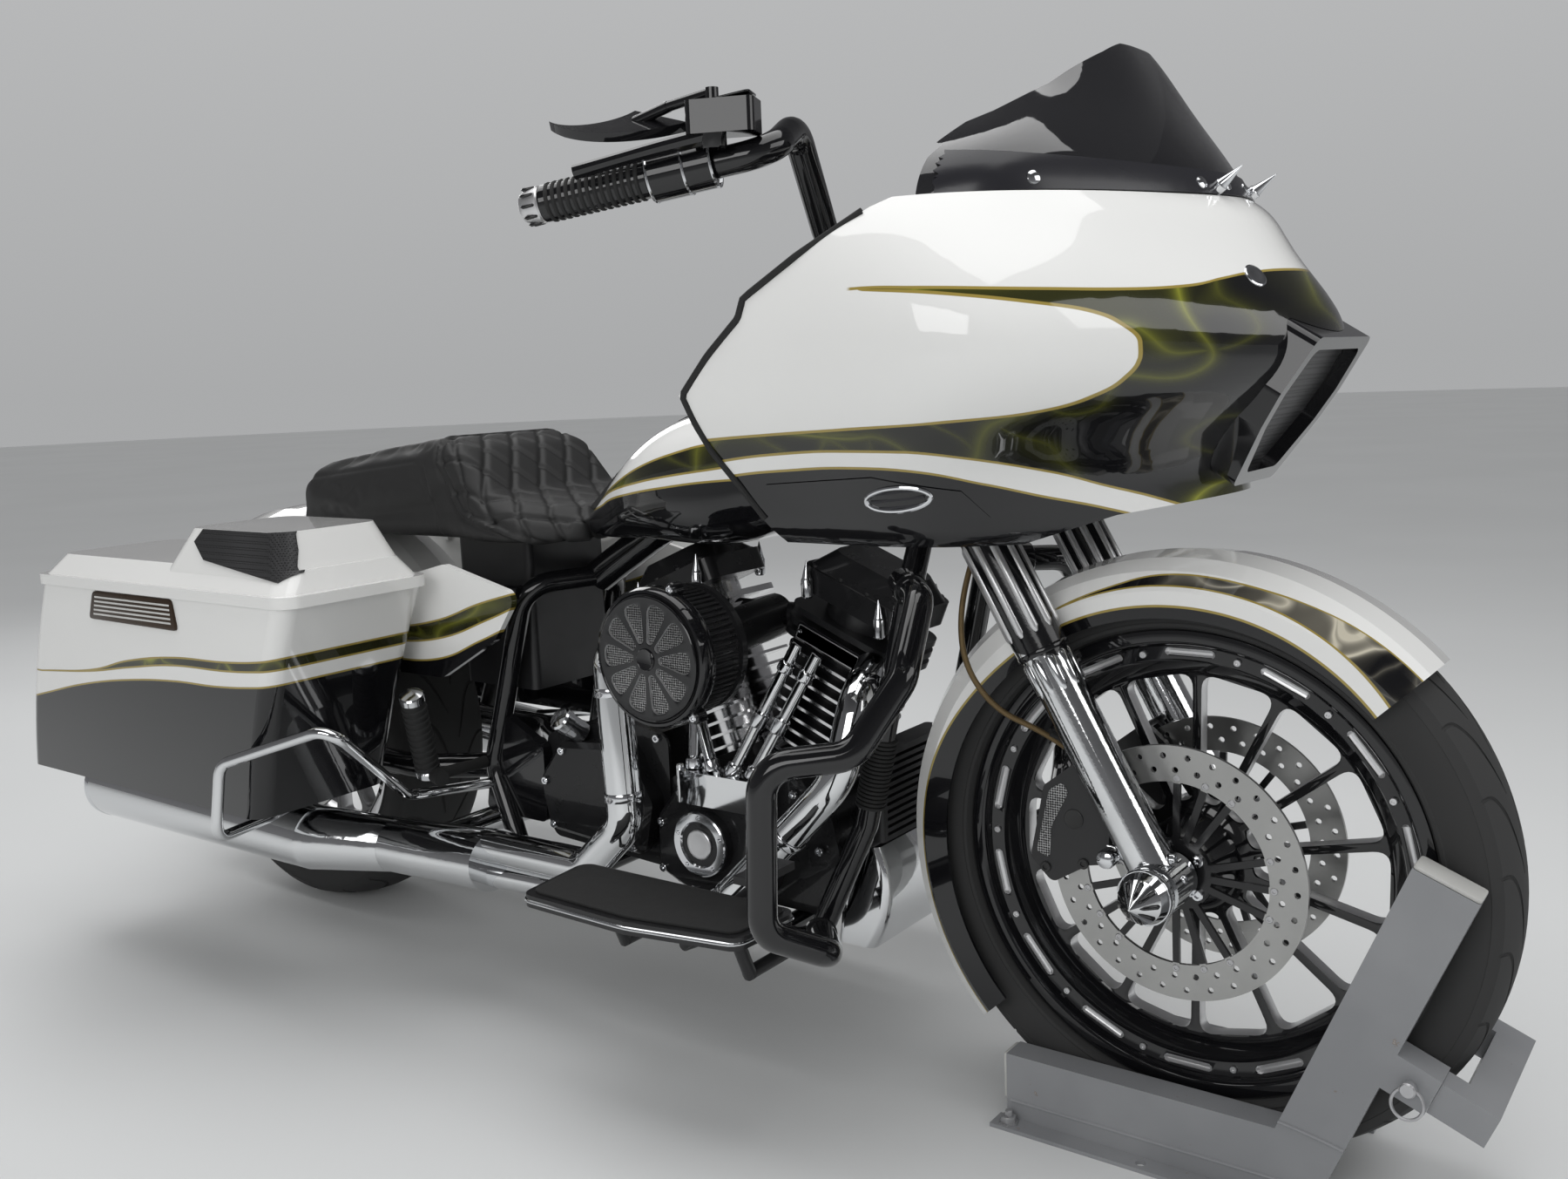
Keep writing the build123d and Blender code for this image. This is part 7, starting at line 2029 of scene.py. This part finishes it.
class TOURING_OT_stage(bpy.types.Operator):
    """Floor, soft lamps, world and camera"""

    bl_idname = "touring.stage"
    bl_label = "Stage"

    def execute(self, context):
        settings = context.scene.touring_stage
        deselect()
        bpy.ops.mesh.primitive_circle_add(vertices=96, radius=30, fill_type="NGON", location=(0, 0, 0))
        floor = context.object
        floor.name = "floor"
        material, tree, shader, where = new_material("floor")
        noise = use_group(tree, "Surface Grain", Vector=where, Scale=18.0)
        tone = tuple(settings.floor)
        tree.links.new(blend_colour(tree, noise.outputs["Patches"], tuple(c * 0.97 for c in tone), tone),
                       shader.inputs["Base Color"])
        shader.inputs["Roughness"].default_value = 0.75
        floor.data.materials.append(material)
        lamps = (("overhead", (0.1, -0.2, 3.4), (0, 0, 0), 4.5, 2.2, settings.key),
                 ("side", (1.2, -3.6, 2.0), (62, 0, 12), 2.6, 1.4, settings.key * 0.55),
                 ("front", (3.6, 0.6, 2.2), (0, 62, 0), 1.4, 2.4, settings.key * 0.35),
                 ("rear", (-3.2, 1.8, 2.4), (-40, -50, 0), 2.0, 1.4, settings.key * 0.35))
        for name, place, turn, size, depth, power in lamps:
            data = bpy.data.lights.new(name, "AREA")
            data.shape = "RECTANGLE"
            data.size, data.size_y, data.energy = size, depth, power
            lamp = bpy.data.objects.new(name, data)
            lamp.location = place
            lamp.rotation_euler = [math.radians(a) for a in turn]
            context.scene.collection.objects.link(lamp)
        self.make_world(context.scene)
        self.make_camera(context.scene, settings.lens)
        context.scene.view_settings.view_transform = "Standard"
        return {"FINISHED"}

    def make_world(self, scene):
        """A pale studio that darkens above eye level and brightens overhead."""
        world = bpy.data.worlds.new("studio")
        scene.world = world
        world.use_nodes = True
        tree = world.node_tree
        coords = tree.nodes.new("ShaderNodeTexCoord")
        split = add_node(tree, "ShaderNodeSeparateXYZ")
        tree.links.new(coords.outputs["Generated"], split.inputs[0])
        rays = tree.nodes.new("ShaderNodeLightPath")
        ramp = tree.nodes.new("ShaderNodeValToRGB")
        ramp.color_ramp.elements[0].position = 0.0
        ramp.color_ramp.elements[0].color = (0.70, 0.71, 0.715, 1)
        for place, tone in ((0.10, 0.66), (0.35, 0.50), (0.7, 0.42)):
            element = ramp.color_ramp.elements.new(place)
            element.color = (tone, tone * 1.005, tone * 1.01, 1)
        ramp.color_ramp.elements[-1].color = (0.55, 0.55, 0.56, 1)
        tree.links.new(split.outputs["Z"], ramp.inputs[0])
        seen = blend_colour(tree, remap(tree, split.outputs["Z"], 0.0, 0.5), (0.40, 0.405, 0.41), (0.56, 0.565, 0.57))
        mirrored = blend_colour(tree, rays.outputs["Is Glossy Ray"], ramp.outputs[0],
                                blend_colour(tree, remap(tree, split.outputs["Z"], 0.0, 0.8), (0.16, 0.16, 0.165),
                                             (0.05, 0.05, 0.052)))
        tree.links.new(blend_colour(tree, rays.outputs["Is Camera Ray"], mirrored, seen),
                       tree.nodes["Background"].inputs[0])

    def make_camera(self, scene, lens):
        """The viewing place, with its slight roll."""
        data = bpy.data.cameras.new("camera")
        data.lens = lens
        data.sensor_width = 36
        camera = bpy.data.objects.new("camera", data)
        scene.collection.objects.link(camera)
        back = Vector((math.sin(CAMERA_AZIMUTH) * math.cos(CAMERA_ELEVATION),
                       -math.cos(CAMERA_AZIMUTH) * math.cos(CAMERA_ELEVATION), math.sin(CAMERA_ELEVATION)))
        right = Vector((math.cos(CAMERA_AZIMUTH), math.sin(CAMERA_AZIMUTH), 0))
        up = back.cross(right)
        across = right * math.cos(CAMERA_ROLL) + up * math.sin(CAMERA_ROLL)
        upright = up * math.cos(CAMERA_ROLL) - right * math.sin(CAMERA_ROLL)
        turn = Matrix((across, upright, back)).transposed().to_4x4()
        camera.matrix_world = Matrix.Translation(CAMERA_PLACE) @ turn
        scene.camera = camera


class TOURING_PT_panel(bpy.types.Panel):
    """The steps, in order"""

    bl_label = "Touring motorcycle"
    bl_idname = "TOURING_PT_panel"
    bl_space_type = "VIEW_3D"
    bl_region_type = "UI"
    bl_category = "Touring"

    def draw(self, context):
        for step in STEPS:
            self.layout.operator(step.bl_idname)
        for group in SETTINGS:
            settings = getattr(context.scene, group)
            for name in settings.bl_rna.properties.keys():
                if name not in ("rna_type", "name"):
                    self.layout.prop(settings, name)


SETTINGS = {"touring_paint": PaintSettings, "touring_wheels": WheelSettings, "touring_seat": SeatSettings,
            "touring_stage": StageSettings}
STEPS = (TOURING_OT_stage, TOURING_OT_finishes, TOURING_OT_hose, TOURING_OT_tyres, TOURING_OT_wheels, TOURING_OT_brakes,
         TOURING_OT_fork, TOURING_OT_engine, TOURING_OT_air_cleaner, TOURING_OT_exhaust, TOURING_OT_bag_dress,
         TOURING_OT_fairing_dress, TOURING_OT_tank_dress, TOURING_OT_controls, TOURING_OT_boards, TOURING_OT_rear,
         TOURING_OT_chock, TOURING_OT_seat)
CLASSES = (*SETTINGS.values(), *STEPS, TOURING_PT_panel)


def register():
    for made in CLASSES:
        bpy.utils.register_class(made)
    for name, settings in SETTINGS.items():
        setattr(bpy.types.Scene, name, PointerProperty(type=settings))


def unregister():
    for name in SETTINGS:
        delattr(bpy.types.Scene, name)
    for made in reversed(CLASSES):
        bpy.utils.unregister_class(made)


def main():
    """Make everything."""
    register()
    build_groups()
    for step in STEPS:
        group, name = step.bl_idname.split(".")
        getattr(getattr(bpy.ops, group), name)()


if __name__ == "__main__":
    main()
